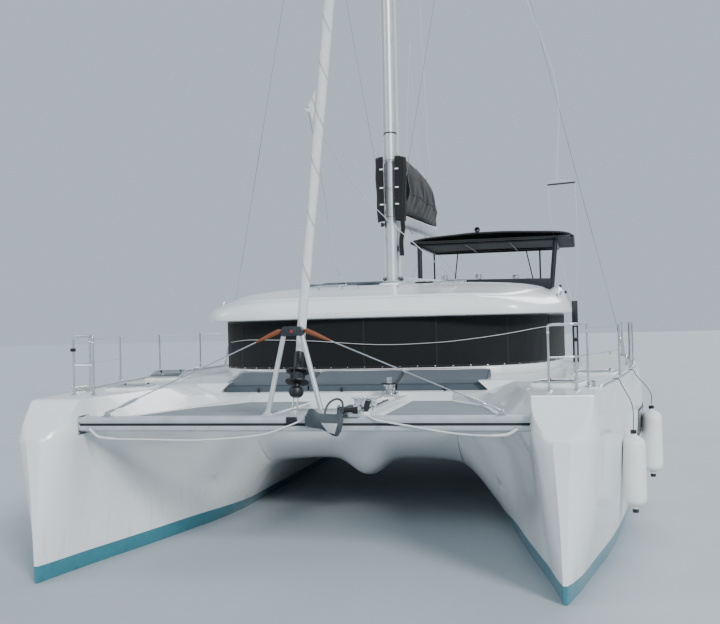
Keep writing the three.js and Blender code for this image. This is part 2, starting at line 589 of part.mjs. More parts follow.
function makeAnchor() {
  const shank = block([ANCHOR_X - 14, ANCHOR_X + 14], [BEAM.y - 240, BEAM.y + 330],
    [LONGERON.top + 5 + GAP, LONGERON.top + 66]);
  const bend = block([ANCHOR_X - 14, ANCHOR_X + 14], [BEAM.y - 260, BEAM.y - 190], [1560, LONGERON.top + 66]);
  const fluke = plate([[180, 1725], [247, 1810], [338, 1757], [521, 1750], [573, 1790], [587, 1685], [560, 1580],
    [508, 1520], [364, 1592], [194, 1630]], [BEAM.y - 300, BEAM.y - 240], "y");
  return join(shank, bend, fluke);
}

function makeWindlass() {
  const base = block([480, 670], [-3850, -3560], [LONGERON.top + GAP, LONGERON.top + 40]);
  const gypsy = round([[0, 0], [80, 0], [50, 40], [50, 70], [80, 110], [80, 150], [0, 160]], 16);
  return join(base, gypsy.translate(575, -3700, LONGERON.top + 39));
}

const NET = { z: [1640, 1650], outer: 2300 };

function makeNet(side) {
  const [back, front] = [-3450 - GAP, BEAM.y + BEAM.depth / 2 + GAP];
  const inner = side > 0 ? LONGERON.x[1] + GAP : -(LONGERON.x[0] - GAP);
  const sheet = block([inner, NET.outer], [front, back], NET.z);
  const trimmed = cut(sheet, portHull.clone().translate(-GAP, 0, 0), portHull);
  return side > 0 ? trimmed : mirrored(trimmed);
}

function makeSunPad() {
  const side = [[-3390, 1700], [-3390, 1862], [-3360, 1878], [-2720, 2022], [-2640, 2010], [-2640, 1800]];
  const pad = plate(side, [-1770, 1770], "x");
  const walled = cut(pad, saloonBand(-40, SALOON.wall + 200, [1700, 2200], SALOON.aft));
  return [bridgeDeck, portHull, starboardHull].reduce((left, deck) => seated(left, deck, [0, 0, 1]), walled);
}

// Pulpits, stanchions and other deck gear
function makePulpit() {
  const path = [[2600, -5340], [2880, -5290], [3000, -4700]];
  const railAt = (z) => path.map(([x, y]) => at(x, y, z));
  const legs = path.map(([x, y]) => bar(at(x, y, DECK_Z - 20), at(x, y, 2590), 14, 8));
  const feet = path.map(([x, y]) => bar(at(x, y, DECK_Z - 20), at(x, y, DECK_Z + 12), 38, 10));
  return seated(join(pipe(railAt(2590), 14), pipe(railAt(2250), 9, 6), ...legs, ...feet), portHull, [0, 0, 1]);
}

const STANCHIONS = [-3150, -1420, 550, 2300, 4050];

function makeStanchions() {
  const edge = (y) => smooth(OUTBOARD, "deckOut", y);
  const rings = [-4900, -4350, -3450, -2000, 0, 2500, 4250].map((y) => {
    const x = edge(y) - 60;
    return [at(x - 22, y, DECK_Z - 30), at(x + 22, y, DECK_Z - 30), at(x + 18, y, DECK_Z + 34),
      at(x - 18, y, DECK_Z + 34)];
  });
  const posts = STANCHIONS.map((y) => bar(at(edge(y) - 60, y, DECK_Z + 10), at(edge(y) - 60, y, 2570), 14, 8, 12));
  const rail = seated(loft(rings), portHull, [0, 0, 1]);
  const shroudSlot = block([3600, 3760], [CHAINPLATE.y - 90, CHAINPLATE.y + 90], [DECK_Z - 100, DECK_Z + 100]);
  return cut(join(rail, ...posts), shroudSlot);
}

function makeHatchLid() {
  const { width, length, lid } = HATCH;
  const pane = block([-width / 2, width / 2], [0, length], [0, lid]);
  const handle = block([-40, 40], [length - 60, length - 35], [lid - 1, lid + 18]);
  return join(pane, handle);
}

// The gangway stands folded beside the roof, its width along the boat.
const GANGWAY = { x: [2790, 2890], y: [1250, 1670], top: 2950, stile: 40, rungs: 7 };

function makeGangway() {
  const { x, y, top, stile, rungs } = GANGWAY;
  const stiles = [y[0], y[1] - stile].map((edge) => block(x, [edge, edge + stile], [DECK_Z + GAP, top]));
  const steps = Array.from({ length: rungs }, (_, k) => {
    const height = DECK_Z + 90 + k * 140;
    return block([x[0] + 25, x[1] - 25], [y[0] + 10, y[1] - 10], [height, height + 28]);
  });
  return join(...stiles, ...steps);
}

const FENDERS = [
  { name: "fore_fender", y: -3900, z: 380 },
  { name: "aft_fender", y: -2000, z: 490 },
];
const FENDER = { radius: 135, length: 950, press: 14 };

function makeFender({ y, z }) {
  const { radius, length } = FENDER;
  const profile = [[0, 0], [28, 0], [32, 55], [70, 70], [radius, 150], [radius, length - 150], [70, length - 70],
    [32, length - 55], [28, length], [0, length]];
  const topZ = z + length - 150;
  const share = (topZ - CHEST_Z) / (SHOULDER_Z - CHEST_Z);
  const side = THREE.MathUtils.lerp(smooth(OUTBOARD, "chest", y), smooth(OUTBOARD, "shoulder", y), share);
  const body = round(profile, 16).translate(side + radius - FENDER.press, y, z);
  return cut(body, portHull.clone().translate(GAP, 0, 0));
}

// Rig: mast, spreaders, shrouds, forestay with the furled sail, boom and its bag
const CHAINPLATE = { x: 3680, y: 1590 };

const rig = new THREE.Group();
rig.position.set(0, MAST.y, MAST.foot);
rig.rotation.x = -MAST.rake;
rig.updateMatrixWorld();
const gooseneck = new THREE.Group();
gooseneck.position.set(0, MAST.chord / 2 + BOOM.pivot, BOOM.z - MAST.foot);
rig.add(gooseneck);

function ovalShape(width, chord) {
  const shape = new THREE.Shape();
  shape.absellipse(0, 0, width / 2, chord / 2, 0, Math.PI * 2);
  return shape;
}

const TANG = { reach: 130, height: 60 };

// The mast stands in its own raked group, with its foot at the group's origin.
function makeMast() {
  const height = (MAST.top - MAST.foot) / Math.cos(MAST.rake);
  const tube = new THREE.ExtrudeGeometry(ovalShape(MAST.width, MAST.chord),
    { depth: height - 50, bevelEnabled: false, curveSegments: 12 }).translate(0, 0, 20);
  const collar = block([-150, 150], [-180, 180], [-40, 40]);
  const level = block([-400, 400], [-400, 400], [-200, 0]).rotateX(MAST.rake).translate(0, 0, GAP);
  const head = block([-60, 60], [-190, 260], [height - 70, height - 10]);
  const goose = BOOM.z - MAST.foot;
  const ears = [[-62, -36], [36, 62]].map(([low, high]) =>
    block([-30, 30], [100, MAST.chord / 2 + BOOM.pivot + 34], [goose + low, goose + high]));
  const cheek = block([-50, 50], [90, MAST.chord / 2 + 14], [goose - 90, goose + 90]);
  const hounds = (HOUNDS_Z - MAST.foot) / Math.cos(MAST.rake);
  const tangs = block([-TANG.reach, TANG.reach], [-25, 25], [hounds, hounds + TANG.height]);
  return cut(join(outward(tube), collar, head, ...ears, cheek, tangs), level);
}

const mast = makeMast();
const raisedMast = mast.clone().applyMatrix4(rig.matrixWorld);

function makeSpreader() {
  const tip = at(1250, 420, 60);
  const root = at(60, 40, 0);
  return cut(bar(root, tip, 42, 8, 22).scale(1, 1, 0.6),
    new THREE.ExtrudeGeometry(ovalShape(MAST.width + 2 * GAP, MAST.chord + 2 * GAP),
      { depth: 400, bevelEnabled: false, curveSegments: 12 }).translate(0, 0, -200));
}

const mastPoint = (x, y, z) => {
  const along = (z - MAST.foot) / Math.cos(MAST.rake);
  return at(x, MAST.y + y * Math.cos(MAST.rake) + along * Math.sin(MAST.rake), z);
};

function makeShroud() {
  const foot = at(CHAINPLATE.x, CHAINPLATE.y, DECK_Z - 30);
  const top = mastPoint(TANG.reach - 14, 0, HOUNDS_Z - 2.4);
  const wire = bar(foot, top, 8, 6);
  const lift = top.clone().sub(foot).normalize();
  const screw = bar(foot.clone().addScaledVector(lift, 180), foot.clone().addScaledVector(lift, 520), 20, 8);
  const plateFoot = block([CHAINPLATE.x - 12, CHAINPLATE.x + 12], [CHAINPLATE.y - 45, CHAINPLATE.y + 45],
    [DECK_Z - 30, DECK_Z + 120]);
  return seated(join(wire, screw, plateFoot), portHull, [0, 0, 1]);
}

const FORESTAY = { foot: at(0, BEAM.y, BEAM.top + 60), head: mastPoint(0, -MAST.chord / 2 + 8, HOUNDS_Z) };
const stayAxis = FORESTAY.head.clone().sub(FORESTAY.foot);
const stayLength = stayAxis.length();
const stayTilt = Math.atan2(stayAxis.y, stayAxis.z);
const stay = new THREE.Group();
stay.position.copy(FORESTAY.foot);
stay.rotation.x = -stayTilt;
stay.updateMatrixWorld();

function makeFurlerDrum() {
  const drum = round([[0, -30], [26, -30], [26, 130], [60, 150], [78, 190], [60, 235], [30, 250], [30, 290],
    [125, 300], [125, 318], [70, 330], [70, 400], [125, 412], [125, 430], [48, 450], [48, 640], [0, 640]], 20);
  const below = block([-100, 100], [-100, 100], [-200, 0]).rotateX(stayTilt).translate(0, 0, GAP);
  return cut(drum, below);
}

function makeFurledSail() {
  const start = 641;
  const end = stayLength;
  const length = end - start;
  const body = round([[0, start], [38, start], [46, start + 0.1 * length], [62, start + 0.3 * length],
    [74, start + 0.5 * length], [66, start + 0.7 * length], [44, start + 0.9 * length], [18, end - 500],
    [10, end], [0, end]], 14);
  const clewAlong = (5220 - FORESTAY.foot.z) / Math.cos(stayTilt);
  const flap = plate([[-40, 380], [-150, 60], [-175, -40], [-120, -60], [-30, -330]], [-9, 9], "y")
    .translate(0, 0, clewAlong);
  const nearMast = carried(raisedMast.clone().translate(0, -GAP, 0), catamaran, stay);
  return cut(join(body, flap), nearMast);
}

// The boom's own group turns about the gooseneck pin, so its geometry starts at the pin.
function makeBoom() {
  const lug = bar(at(0, 0, -35.5), at(0, 0, 35.5), 30, 16);
  const neck = block([-22, 22], [0, 130], [-33, 33]);
  const tube = plate(
    [[-85, -60], [-50, -110], [50, -110], [85, -60], [85, 70], [55, 110], [-55, 110], [-85, 70]],
    [110, BOOM.length], "y").rotateX(MAST.rake + BOOM.rise);
  return join(lug, neck, tube);
}

const BAG = rowsOf(["y", "half", "top"], [
  [190, 225, 1090], [500, 245, 1085], [1300, 250, 1060], [2300, 240, 1010], [3100, 205, 930], [3700, 150, 760],
  [4050, 95, 560], [4200, 60, 330],
]);

function makeSailBag() {
  const rings = BAG.map(({ y, half, top }) => {
    const low = 110 + GAP;
    return [at(-85, y, low), at(-half, y, low + (top - low) * 0.3), at(-half * 0.9, y, low + (top - low) * 0.7),
      at(-half * 0.35, y, top), at(half * 0.35, y, top), at(half * 0.9, y, low + (top - low) * 0.7),
      at(half, y, low + (top - low) * 0.3), at(85, y, low)];
  });
  return loft(rings).rotateX(MAST.rake + BOOM.rise);
}

// The front of the bag is laced round the mast and stays with it.
function makeBagCollar() {
  const band = (half, chord) => new THREE.ExtrudeGeometry(ovalShape(half * 2, chord * 2),
    { depth: 1050, bevelEnabled: false, curveSegments: 12 }).translate(0, 0, 980);
  const ring = cut(outward(band(250, 205)), band(MAST.width / 2 + GAP, MAST.chord / 2 + GAP));
  return cut(ring, block([-300, 300], [20, 400], [900, 2200]));
}

// Helm station, wheel, seat, bimini and cockpit furniture
const WHEEL = { x: 1600, y: 1880, z: 3000, radius: 370 };

function makeHelmStation() {
  const base = block([1250, WELL_X - GAP], [1660, 2500], [SOLE_Z + GAP, 2160]);
  const floor = block([1000, WELL_X - GAP], [1660, 3030], [2150, 2240]);
  const console = block([1040, 2150], [1660, 1810], [2230, 3230]);
  const boss = bar(at(WHEEL.x, 1800, WHEEL.z), at(WHEEL.x, WHEEL.y - 40.5, WHEEL.z), 48, 14);
  const step = block([1000, 1260], [1760, 2400], [SOLE_Z + GAP, 1720]);
  return join(base, floor, console, boss, step);
}

function makeWheel() {
  const rim = new THREE.TorusGeometry(WHEEL.radius, 15, 8, 32);
  const hub = new THREE.CylinderGeometry(50, 50, 60, 16).rotateX(Math.PI / 2);
  const spokes = [0, 1, 2, 3, 4].map((k) => bar(at(0, 0, 0), at(0, WHEEL.radius - 4, 0), 9, 6)
    .rotateZ((k * 2 * Math.PI) / 5));
  return join(rim, hub.translate(0, 0, -10), ...spokes).rotateX(-Math.PI / 2);
}

function makeHelmSeat() {
  const box = block([1060, 2150], [2620, 2990], [2240 + GAP, 2700]);
  const back = block([1060, 2150], [2930, 3000], [2690, 3150]);
  return join(box, back);
}

const BIMINI = {
  y: [760, 3160],
  under: 4005,
  outline: [[88, 4005], [2830, 4005], [2866, 4020], [2862, 4060], [2771, 4097], [2641, 4125], [2148, 4152],
    [1631, 4171], [1225, 4170], [814, 4147], [327, 4109], [92, 4062]],
};
const SILL = { y: [845, 915], outline: [[200, 3230], [1600, 3230], [2150, 3160], [2520, 3090], [2515, 3334], [200, 3380]] };
const FRONT_POSTS = [{ foot: [242, 3300], head: 242 }, { foot: [2475, 3200], head: 2562 }];

const makeBiminiTop = () => plate(BIMINI.outline, BIMINI.y, "y");

function makeBiminiFrame() {
  const top = BIMINI.under - GAP;
  const sill = plate(SILL.outline, SILL.y, "y");
  const front = FRONT_POSTS.map(({ foot: [x, z], head }) => bar(at(x, 880, z), at(head, 880, top), 40, 10));
  const rear = REAR_POSTS.map(({ x, y }) => bar(at(x, y, REAR_PAD_Z + GAP), at(x, y, top), 16, 8));
  const edge = [at(242, 880, top - 22), at(2562, 880, top - 22), at(2562, 3140, top - 22), at(190, 3140, top - 22),
    at(190, 2900, top - 22), at(242, 880, top - 22)];
  const trim = block([0, 3000], [600, 3300], [top, top + 100]);
  return seated(cut(join(sill, ...front, ...rear, pipe(edge, 20)), trim), coachroof, [0, 0, 1]);
}

function makeAftBench() {
  const seat = block([-980, 980], [4080, 4690], [SOLE_Z + GAP, 1640]);
  const back = block([-980, 980], [4600, 4690], [1630, 2080]);
  return join(seat, back);
}

const makeSideBench = () => join(block([-WELL_X + GAP, -1580], [1900, 3800], [SOLE_Z + GAP, 1640]),
  block([-WELL_X + GAP, -2100], [1900, 3800], [1630, 2080]));

const ROOF_PAD = { x: [-1800, -220], y: [300, 2300], top: 3430 };

function makeRoofPad() {
  const { x, y, top } = ROOF_PAD;
  const columns = [0, 0.25, 0.5, 0.75, 1].map((part) => THREE.MathUtils.lerp(x[0], x[1], part));
  const ringAt = (station) => [...columns.map((column) => at(column, station, roofZ(column, station) - 30)),
    at(x[1], station, top), at(x[0], station, top)];
  return seated(loft([y[0], (y[0] + y[1]) / 2, y[1]].map(ringAt)), coachroof, [0, 0, 1]);
}

function makeLadder() {
  const stiles = [-170, 170].map((x) => bar(at(x, 0, 0), at(x, 0, LADDER.height), 15, 8));
  const rungs = [130, 400, 670, 880].map((z) => bar(at(-170, 0, z), at(170, 0, z), 14, 8));
  const pin = bar(at(-LADDER.half, 0, 0), at(LADDER.half, 0, 0), 14, 8);
  return join(...stiles, ...rungs, pin);
}

// Finishes
const finish = (color, roughness, metalness = 0) => new THREE.MeshStandardMaterial({ color, roughness, metalness });
const GELCOAT = finish(0xdfe8ee, 0.25);
const NAVY_BOTTOM = finish(0x27495c, 0.7);
const GLASS = finish(0x10161c, 0.08);
const COVER_CLOTH = finish(0x10151c, 0.85);
const GREY_PAD = finish(0x4b5660, 0.8);
const NET_GREY = finish(0x7f8c95, 0.8);
const ALLOY = finish(0xaab4bb, 0.4, 0.9);
const STEEL = finish(0xc9cdd0, 0.2, 1);
const DARK = finish(0x1d2024, 0.5);
const SAILCLOTH = finish(0xcfdbe4, 0.7);
const BLACK_CLOTH = finish(0x14161a, 0.85);
const BRONZE = finish(0xb08a4a, 0.35, 0.9);
const GALVANISED = finish(0x3d454b, 0.6, 0.6);
const FENDER_WHITE = finish(0xe8ecee, 0.35);

function addTo(parent, name, geometry, material, place = [0, 0, 0]) {
  const mesh = new THREE.Mesh(geometry, material);
  mesh.name = name;
  mesh.position.set(...place);
  parent.add(mesh);
  return mesh;
}
const add = (name, geometry, material, place) => addTo(catamaran, name, geometry, material, place);

// Adds a port piece and its mirror image to starboard.
function addPair(name, geometry, material, [x, y, z] = [0, 0, 0]) {
  add(`port_${name}`, geometry, material, [x, y, z]);
  add(`starboard_${name}`, mirrored(geometry), material, [-x, y, z]);
}

// Hulls and what hangs under them
add("port_hull", portHull, GELCOAT);
add("starboard_hull", starboardHull, GELCOAT);
add("bridge_deck", bridgeDeck, GELCOAT);
addPair("keel", makeKeel(), NAVY_BOTTOM);
addPair("saildrive", makeDrive(), ALLOY);
addPair("propeller", makePropeller(), BRONZE, [HULL_AXIS_X, PROP.y - 39.5, PROP.z]);
addPair("rudder", makeRudder(), NAVY_BOTTOM, [HULL_AXIS_X, RUDDER.y, RUDDER.seat]);

// Saloon
add("coachroof", coachroof, GELCOAT);
add("saloon_wall", makeSaloonWall(), GELCOAT);
add("windscreen", makePane([-FRONT_WINDOW.half, FRONT_WINDOW.half], [-2700, -1900], FRONT_WINDOW.z), GLASS);
const portPane = makePane(SIDE_WINDOW.x, SIDE_WINDOW.y, SIDE_WINDOW.z);
add("port_side_window", portPane, GLASS);
add("starboard_side_window", mirrored(portPane), GLASS);
add("windscreen_cover", makeCover(), COVER_CLOTH);
add("aft_bulkhead", makeBulkhead(), GELCOAT);
add("fixed_door_pane", makeFixedPane(), GLASS);
add("sliding_door", makeDoor(), GLASS);

// Foredeck
add("crossbeam", makeCrossbeam(), ALLOY);
add("striker_frame", makeStriker(), ALLOY);
const headStay = makeHeadStay();
add("port_beam_stay", headStay, STEEL);
add("starboard_beam_stay", mirrored(headStay), STEEL);
add("longeron", makeLongeron(), GELCOAT);
add("anchor", makeAnchor(), GALVANISED);
add("windlass", makeWindlass(), STEEL);
add("port_net", makeNet(1), NET_GREY);
add("starboard_net", makeNet(-1), NET_GREY);
add("sun_pad", makeSunPad(), GREY_PAD);

// Deck gear
const pulpit = makePulpit();
addPair("pulpit", pulpit, STEEL);
addPair("stanchions", makeStanchions(), ALLOY);
for (const [side, label] of [[1, "port"], [-1, "starboard"]]) {
  for (const { name, x, y, open } of HATCHES) {
    const hinge = at(0, -HATCH.length / 2, 0).applyAxisAngle(at(0, 0, 1), side * HATCH.yaw);
    const lid = add(`${label}_${name}`, makeHatchLid(), GLASS,
      [side * x + hinge.x, y + hinge.y, DECK_Z + HATCH.rim + GAP]);
    lid.rotation.set(side < 0 ? THREE.MathUtils.degToRad(open) : 0, 0, side * HATCH.yaw, "ZXY");
  }
}
add("gangway", makeGangway(), DARK);
for (const fender of FENDERS) add(fender.name, makeFender(fender), FENDER_WHITE);

// Rig
catamaran.add(rig);
addTo(rig, "mast", mast, ALLOY);
const SPREADER_UP = 7600;
const spreader = makeSpreader();
addTo(rig, "port_spreader", spreader, ALLOY, [0, 0, SPREADER_UP]);
addTo(rig, "starboard_spreader", mirrored(spreader), ALLOY, [0, 0, SPREADER_UP]);
addTo(rig, "bag_collar", makeBagCollar(), BLACK_CLOTH);
addTo(gooseneck, "boom", makeBoom(), GELCOAT);
addTo(gooseneck, "sail_bag", makeSailBag(), BLACK_CLOTH);
addPair("shroud", makeShroud(), STEEL);

catamaran.add(stay);
addTo(stay, "furler_drum", makeFurlerDrum(), DARK);
addTo(stay, "furled_sail", makeFurledSail(), SAILCLOTH);

// Helm and cockpit
add("helm_station", makeHelmStation(), GELCOAT);
add("steering_wheel", makeWheel(), DARK, [WHEEL.x, WHEEL.y, WHEEL.z]);
add("helm_seat", makeHelmSeat(), GREY_PAD);
add("bimini_top", makeBiminiTop(), DARK);
add("bimini_frame", makeBiminiFrame(), DARK);
add("aft_bench", makeAftBench(), GREY_PAD);
add("side_bench", makeSideBench(), GREY_PAD);
add("roof_pad", makeRoofPad(), GREY_PAD);
add("boarding_ladder", makeLadder(), STEEL, [LADDER.x, LADDER.y, LADDER.z]);

export default catamaran;
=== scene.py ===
import json
import math
import random
import bmesh
import bpy
from mathutils import Matrix, Vector
from mathutils.geometry import interpolate_bezier

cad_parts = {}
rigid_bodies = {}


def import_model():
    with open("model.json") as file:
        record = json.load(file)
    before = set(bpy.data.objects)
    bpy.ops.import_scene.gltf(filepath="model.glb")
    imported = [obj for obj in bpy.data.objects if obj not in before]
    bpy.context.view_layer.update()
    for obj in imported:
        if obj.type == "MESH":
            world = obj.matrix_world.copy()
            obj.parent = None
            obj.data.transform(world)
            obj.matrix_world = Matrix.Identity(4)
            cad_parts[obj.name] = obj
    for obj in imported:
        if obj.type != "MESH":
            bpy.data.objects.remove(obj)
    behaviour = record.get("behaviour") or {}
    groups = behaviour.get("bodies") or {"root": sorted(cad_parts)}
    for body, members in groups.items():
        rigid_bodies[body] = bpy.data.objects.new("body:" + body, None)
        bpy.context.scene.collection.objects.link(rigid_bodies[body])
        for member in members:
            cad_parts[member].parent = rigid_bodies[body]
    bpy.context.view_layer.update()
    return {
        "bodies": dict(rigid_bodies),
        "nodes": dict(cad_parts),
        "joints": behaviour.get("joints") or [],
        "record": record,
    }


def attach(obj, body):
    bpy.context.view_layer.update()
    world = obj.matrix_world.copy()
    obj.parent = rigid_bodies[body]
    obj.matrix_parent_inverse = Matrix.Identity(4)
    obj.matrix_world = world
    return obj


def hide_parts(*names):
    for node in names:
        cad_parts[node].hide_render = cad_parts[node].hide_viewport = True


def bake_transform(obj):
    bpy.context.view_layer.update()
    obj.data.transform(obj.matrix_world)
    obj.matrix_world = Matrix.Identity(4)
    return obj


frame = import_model()

# Camera, where the picture was taken: ahead of the port bow, 2.65 m above the water
camera = bpy.data.objects.new("camera", bpy.data.cameras.new("camera"))
bpy.context.scene.collection.objects.link(camera)
bpy.context.scene.camera = camera
camera.data.sensor_width = 36
camera.data.lens = 36 * 943 / 720
camera.data.clip_end = 400
yaw, pitch, roll = math.radians(13.17), math.radians(0.704), math.radians(-1.486)
turn = Matrix.Rotation(yaw, 4, "Z") @ Matrix.Rotation(math.pi / 2 + pitch, 4, "X") @ Matrix.Rotation(roll, 4, "Z")
camera.matrix_world = Matrix.Translation((2.94, -15.32, 2.653)) @ turn

# Sizes shared with the solids, in metres
DECK = 1.9
SOLE = 1.2
SPLIT = 1.35
WELL = 2.19
HULL_AXIS = 2.73
BEAM_Y, BEAM_BOTTOM, BEAM_TOP, BEAM_END = -5.87, 1.55, 1.705, 2.446
MAST_Y, MAST_FOOT, MAST_TOP, RAKE = -0.34, 3.3, 20.65, math.radians(2)
HOUNDS = 17.3
BOOM_Z, BOOM_LENGTH, BOOM_RISE = 4.37, 4.25, 0.035
LONGERON_X = (0.43, 0.78)


# Shapes
def smooth(table, column, y):
    """A smooth value between the rows of a table, which never swings past its rows."""
    rows = [(row[0], row[column]) for row in table]
    if y <= rows[0][0]:
        return rows[0][1]
    if y >= rows[-1][0]:
        return rows[-1][1]
    k = max(n for n, (at, _) in enumerate(rows) if at <= y)

    def slope(n):
        return (rows[n + 1][1] - rows[n][1]) / (rows[n + 1][0] - rows[n][0])

    def tangent(n):
        if n <= 0:
            return slope(0)
        if n >= len(rows) - 1:
            return slope(len(rows) - 2)
        before, after = slope(n - 1), slope(n)
        return 0 if before * after <= 0 else 2 * before * after / (before + after)

    span = rows[k + 1][0] - rows[k][0]
    t = (y - rows[k][0]) / span
    return ((2 * t**3 - 3 * t**2 + 1) * rows[k][1] + (t**3 - 2 * t**2 + t) * span * tangent(k)
            + (3 * t**2 - 2 * t**3) * rows[k + 1][1] + (t**3 - t**2) * span * tangent(k + 1))


def blend_in(value, low, high):
    """0 below low, 1 above high, and smooth between."""
    t = min(max((value - low) / (high - low), 0), 1)
    return t * t * (3 - 2 * t)


def mix(a, b, share):
    return a + (b - a) * share


def rounded(corners, steps=4):
    """A line through (point, size) corners; each corner is rounded off over its size on both sides."""
    points = [Vector(point) for point, _ in corners]
    line = [points[0]]
    for k in range(1, len(points) - 1):
        before, here, after = points[k - 1], points[k], points[k + 1]
        reach = [min(corners[k][1], 0.49 * (other - here).length) for other in (before, after)]
        start = here + (before - here).normalized() * reach[0] if (before - here).length > 1e-9 else here
        end = here + (after - here).normalized() * reach[1] if (after - here).length > 1e-9 else here
        for step in range(steps + 1):
            t = step / steps
            line.append(start * (1 - t) ** 2 + here * 2 * t * (1 - t) + end * t**2)
    return line + [points[-1]]


def evenly(line, count):
    """The same line given by count points at even distances."""
    reach = [0.0]
    for a, b in zip(line, line[1:]):
        reach.append(reach[-1] + (b - a).length)
    result, k = [], 0
    for n in range(count):
        goal = reach[-1] * n / (count - 1)
        while k < len(line) - 2 and reach[k + 1] < goal:
            k += 1
        span = reach[k + 1] - reach[k]
        result.append(line[k].lerp(line[k + 1], (goal - reach[k]) / span if span > 1e-9 else 0))
    return result


def curved(points, per_span=6):
    """A smooth line through the points."""
    spots = [Vector(point) for point in points]
    ends = [2 * spots[0] - spots[1]] + spots + [2 * spots[-1] - spots[-2]]
    line = []
    for before, a, b, after in zip(ends, ends[1:], ends[2:], ends[3:]):
        span = (b - a).length / 3
        leave = a + (b - before).normalized() * span
        arrive = b - (after - a).normalized() * span
        line += interpolate_bezier(a, leave, arrive, b, per_span + 1)[:-1]
    return line + [spots[-1]]


def skin(rows, around=False, caps=False):
    """A skin through rows of points, closed round each row and over both ends when asked."""
    shape = bmesh.new()
    across = len(rows[0]) + (1 if around else 0)
    bmesh.ops.create_grid(shape, x_segments=across - 1, y_segments=len(rows) - 1, size=1)
    for k, vertex in enumerate(shape.verts):
        row = rows[k // across]
        vertex.co = row[k % across % len(row)]
    bmesh.ops.remove_doubles(shape, verts=shape.verts, dist=1e-5)
    if caps:
        rims = [edge for edge in shape.edges if edge.is_boundary]
        bmesh.ops.holes_fill(shape, edges=rims, sides=0)
    bmesh.ops.recalc_face_normals(shape, faces=shape.faces)
    return shape


def together(*shapes):
    """One shape made of several."""
    whole = shapes[0]
    for other in shapes[1:]:
        mesh = bpy.data.meshes.new("part")
        other.to_mesh(mesh)
        whole.from_mesh(mesh)
        bpy.data.meshes.remove(mesh)
        other.free()
    return whole


def block(x, y, z, edge=0.0, steps=2):
    """A box between pairs of limits, with rounded edges."""
    shape = bmesh.new()
    bmesh.ops.create_cube(shape, size=1)
    bmesh.ops.scale(shape, vec=(x[1] - x[0], y[1] - y[0], z[1] - z[0]), verts=shape.verts)
    bmesh.ops.translate(shape, vec=((x[0] + x[1]) / 2, (y[0] + y[1]) / 2, (z[0] + z[1]) / 2), verts=shape.verts)
    return soften(shape, edge, steps)


def soften(shape, edge, steps=2, sharper_than=30):
    """Rounds the sharp edges of a shape."""
    if edge > 0:
        sharp = [e for e in shape.edges if e.calc_face_angle(0) > math.radians(sharper_than)]
        bmesh.ops.bevel(shape, geom=sharp, offset=edge, offset_type="OFFSET", segments=steps, profile=0.5,
                        affect="EDGES", clamp_overlap=True, material=-1)
    return shape


def moved(shape, matrix):
    bmesh.ops.transform(shape, matrix=matrix, verts=shape.verts)
    if matrix.to_3x3().determinant() < 0:
        bmesh.ops.reverse_faces(shape, faces=shape.faces)
    return shape


def shifted(shape, x, y, z):
    return moved(shape, Matrix.Translation((x, y, z)))


def aimed(start, direction):
    """The place of something drawn along +Z from the origin, set at start and pointed along direction."""
    return Matrix.Translation(start) @ Vector(direction).to_track_quat("Z", "Y").to_matrix().to_4x4()


def turned(profile, start=(0, 0, 0), direction=(0, 0, 1), steps=24):
    """A profile of (radius, height) spun about the line from start along direction."""
    shape = bmesh.new()
    spots = [shape.verts.new((max(radius, 0), 0, height)) for radius, height in profile]
    edges = [shape.edges.new(pair) for pair in zip(spots, spots[1:])]
    bmesh.ops.spin(shape, geom=spots + edges, cent=(0, 0, 0), axis=(0, 0, 1), dvec=(0, 0, 0),
                   angle=math.tau, steps=steps, use_merge=True)
    bmesh.ops.remove_doubles(shape, verts=shape.verts, dist=1e-6)
    bmesh.ops.recalc_face_normals(shape, faces=shape.faces)
    return moved(shape, aimed(start, direction))


def rings_along(line, radius, sides, flat=1.0, up=Vector((0, 0, 1))):
    """A ring of points round each point of a line, turning as little as it can."""
    spots = [Vector(point) for point in line]
    radii = radius if isinstance(radius, (list, tuple)) else [radius] * len(spots)
    along = [(b - a).normalized() for a, b in zip(spots, spots[1:])]
    along = [along[0]] + [(a + b).normalized() for a, b in zip(along, along[1:])] + [along[-1]]
    side = along[0].cross(up)
    side = (side if side.length > 0.05 else along[0].cross(Vector((0.3, 1, 0)))).normalized()
    rows = []
    for spot, ahead, size in zip(spots, along, radii):
        side = (side - ahead * side.dot(ahead)).normalized()
        lift = side.cross(ahead) * flat
        rows.append([spot + (side * math.cos(k * math.tau / sides) + lift * math.sin(k * math.tau / sides)) * size
                     for k in range(sides)])
    return rows


def tube(line, radius, sides=8, ends=True, flat=1.0):
    """A tube along a line; radius is a number or one for each point, flat its thickness against its width."""
    return skin(rings_along(line, radius, sides, flat), around=True, caps=ends)


def ropes(lines, radius, sides=8):
    """Ropes with the map called along: metres along each rope, and once round it."""
    shape = bmesh.new()
    layer = shape.loops.layers.uv.new("along")
    for line in lines:
        rows = [[shape.verts.new(spot) for spot in row] for row in rings_along(line, radius, sides)]
        reach = 0.0
        for n, (row, after) in enumerate(zip(rows, rows[1:])):
            further = reach + (Vector(line[n + 1]) - Vector(line[n])).length
            for k in range(sides):
                corners = [(row[k], reach, k), (row[(k + 1) % sides], reach, k + 1),
                           (after[(k + 1) % sides], further, k + 1), (after[k], further, k)]
                face = shape.faces.new([vertex for vertex, _, _ in corners])
                for loop, (_, u, step) in zip(face.loops, corners):
                    loop[layer].uv = (u, step / sides)
            reach = further
        shape.faces.new(rows[0])
        shape.faces.new(rows[-1])
    bmesh.ops.recalc_face_normals(shape, faces=shape.faces)
    return shape


def sagging(start, end, sag, count=24):
    """A line that hangs between two points."""
    start, end = Vector(start), Vector(end)
    return [start.lerp(end, n / count) - Vector((0, 0, sag * 4 * (n / count) * (1 - n / count)))
            for n in range(count + 1)]


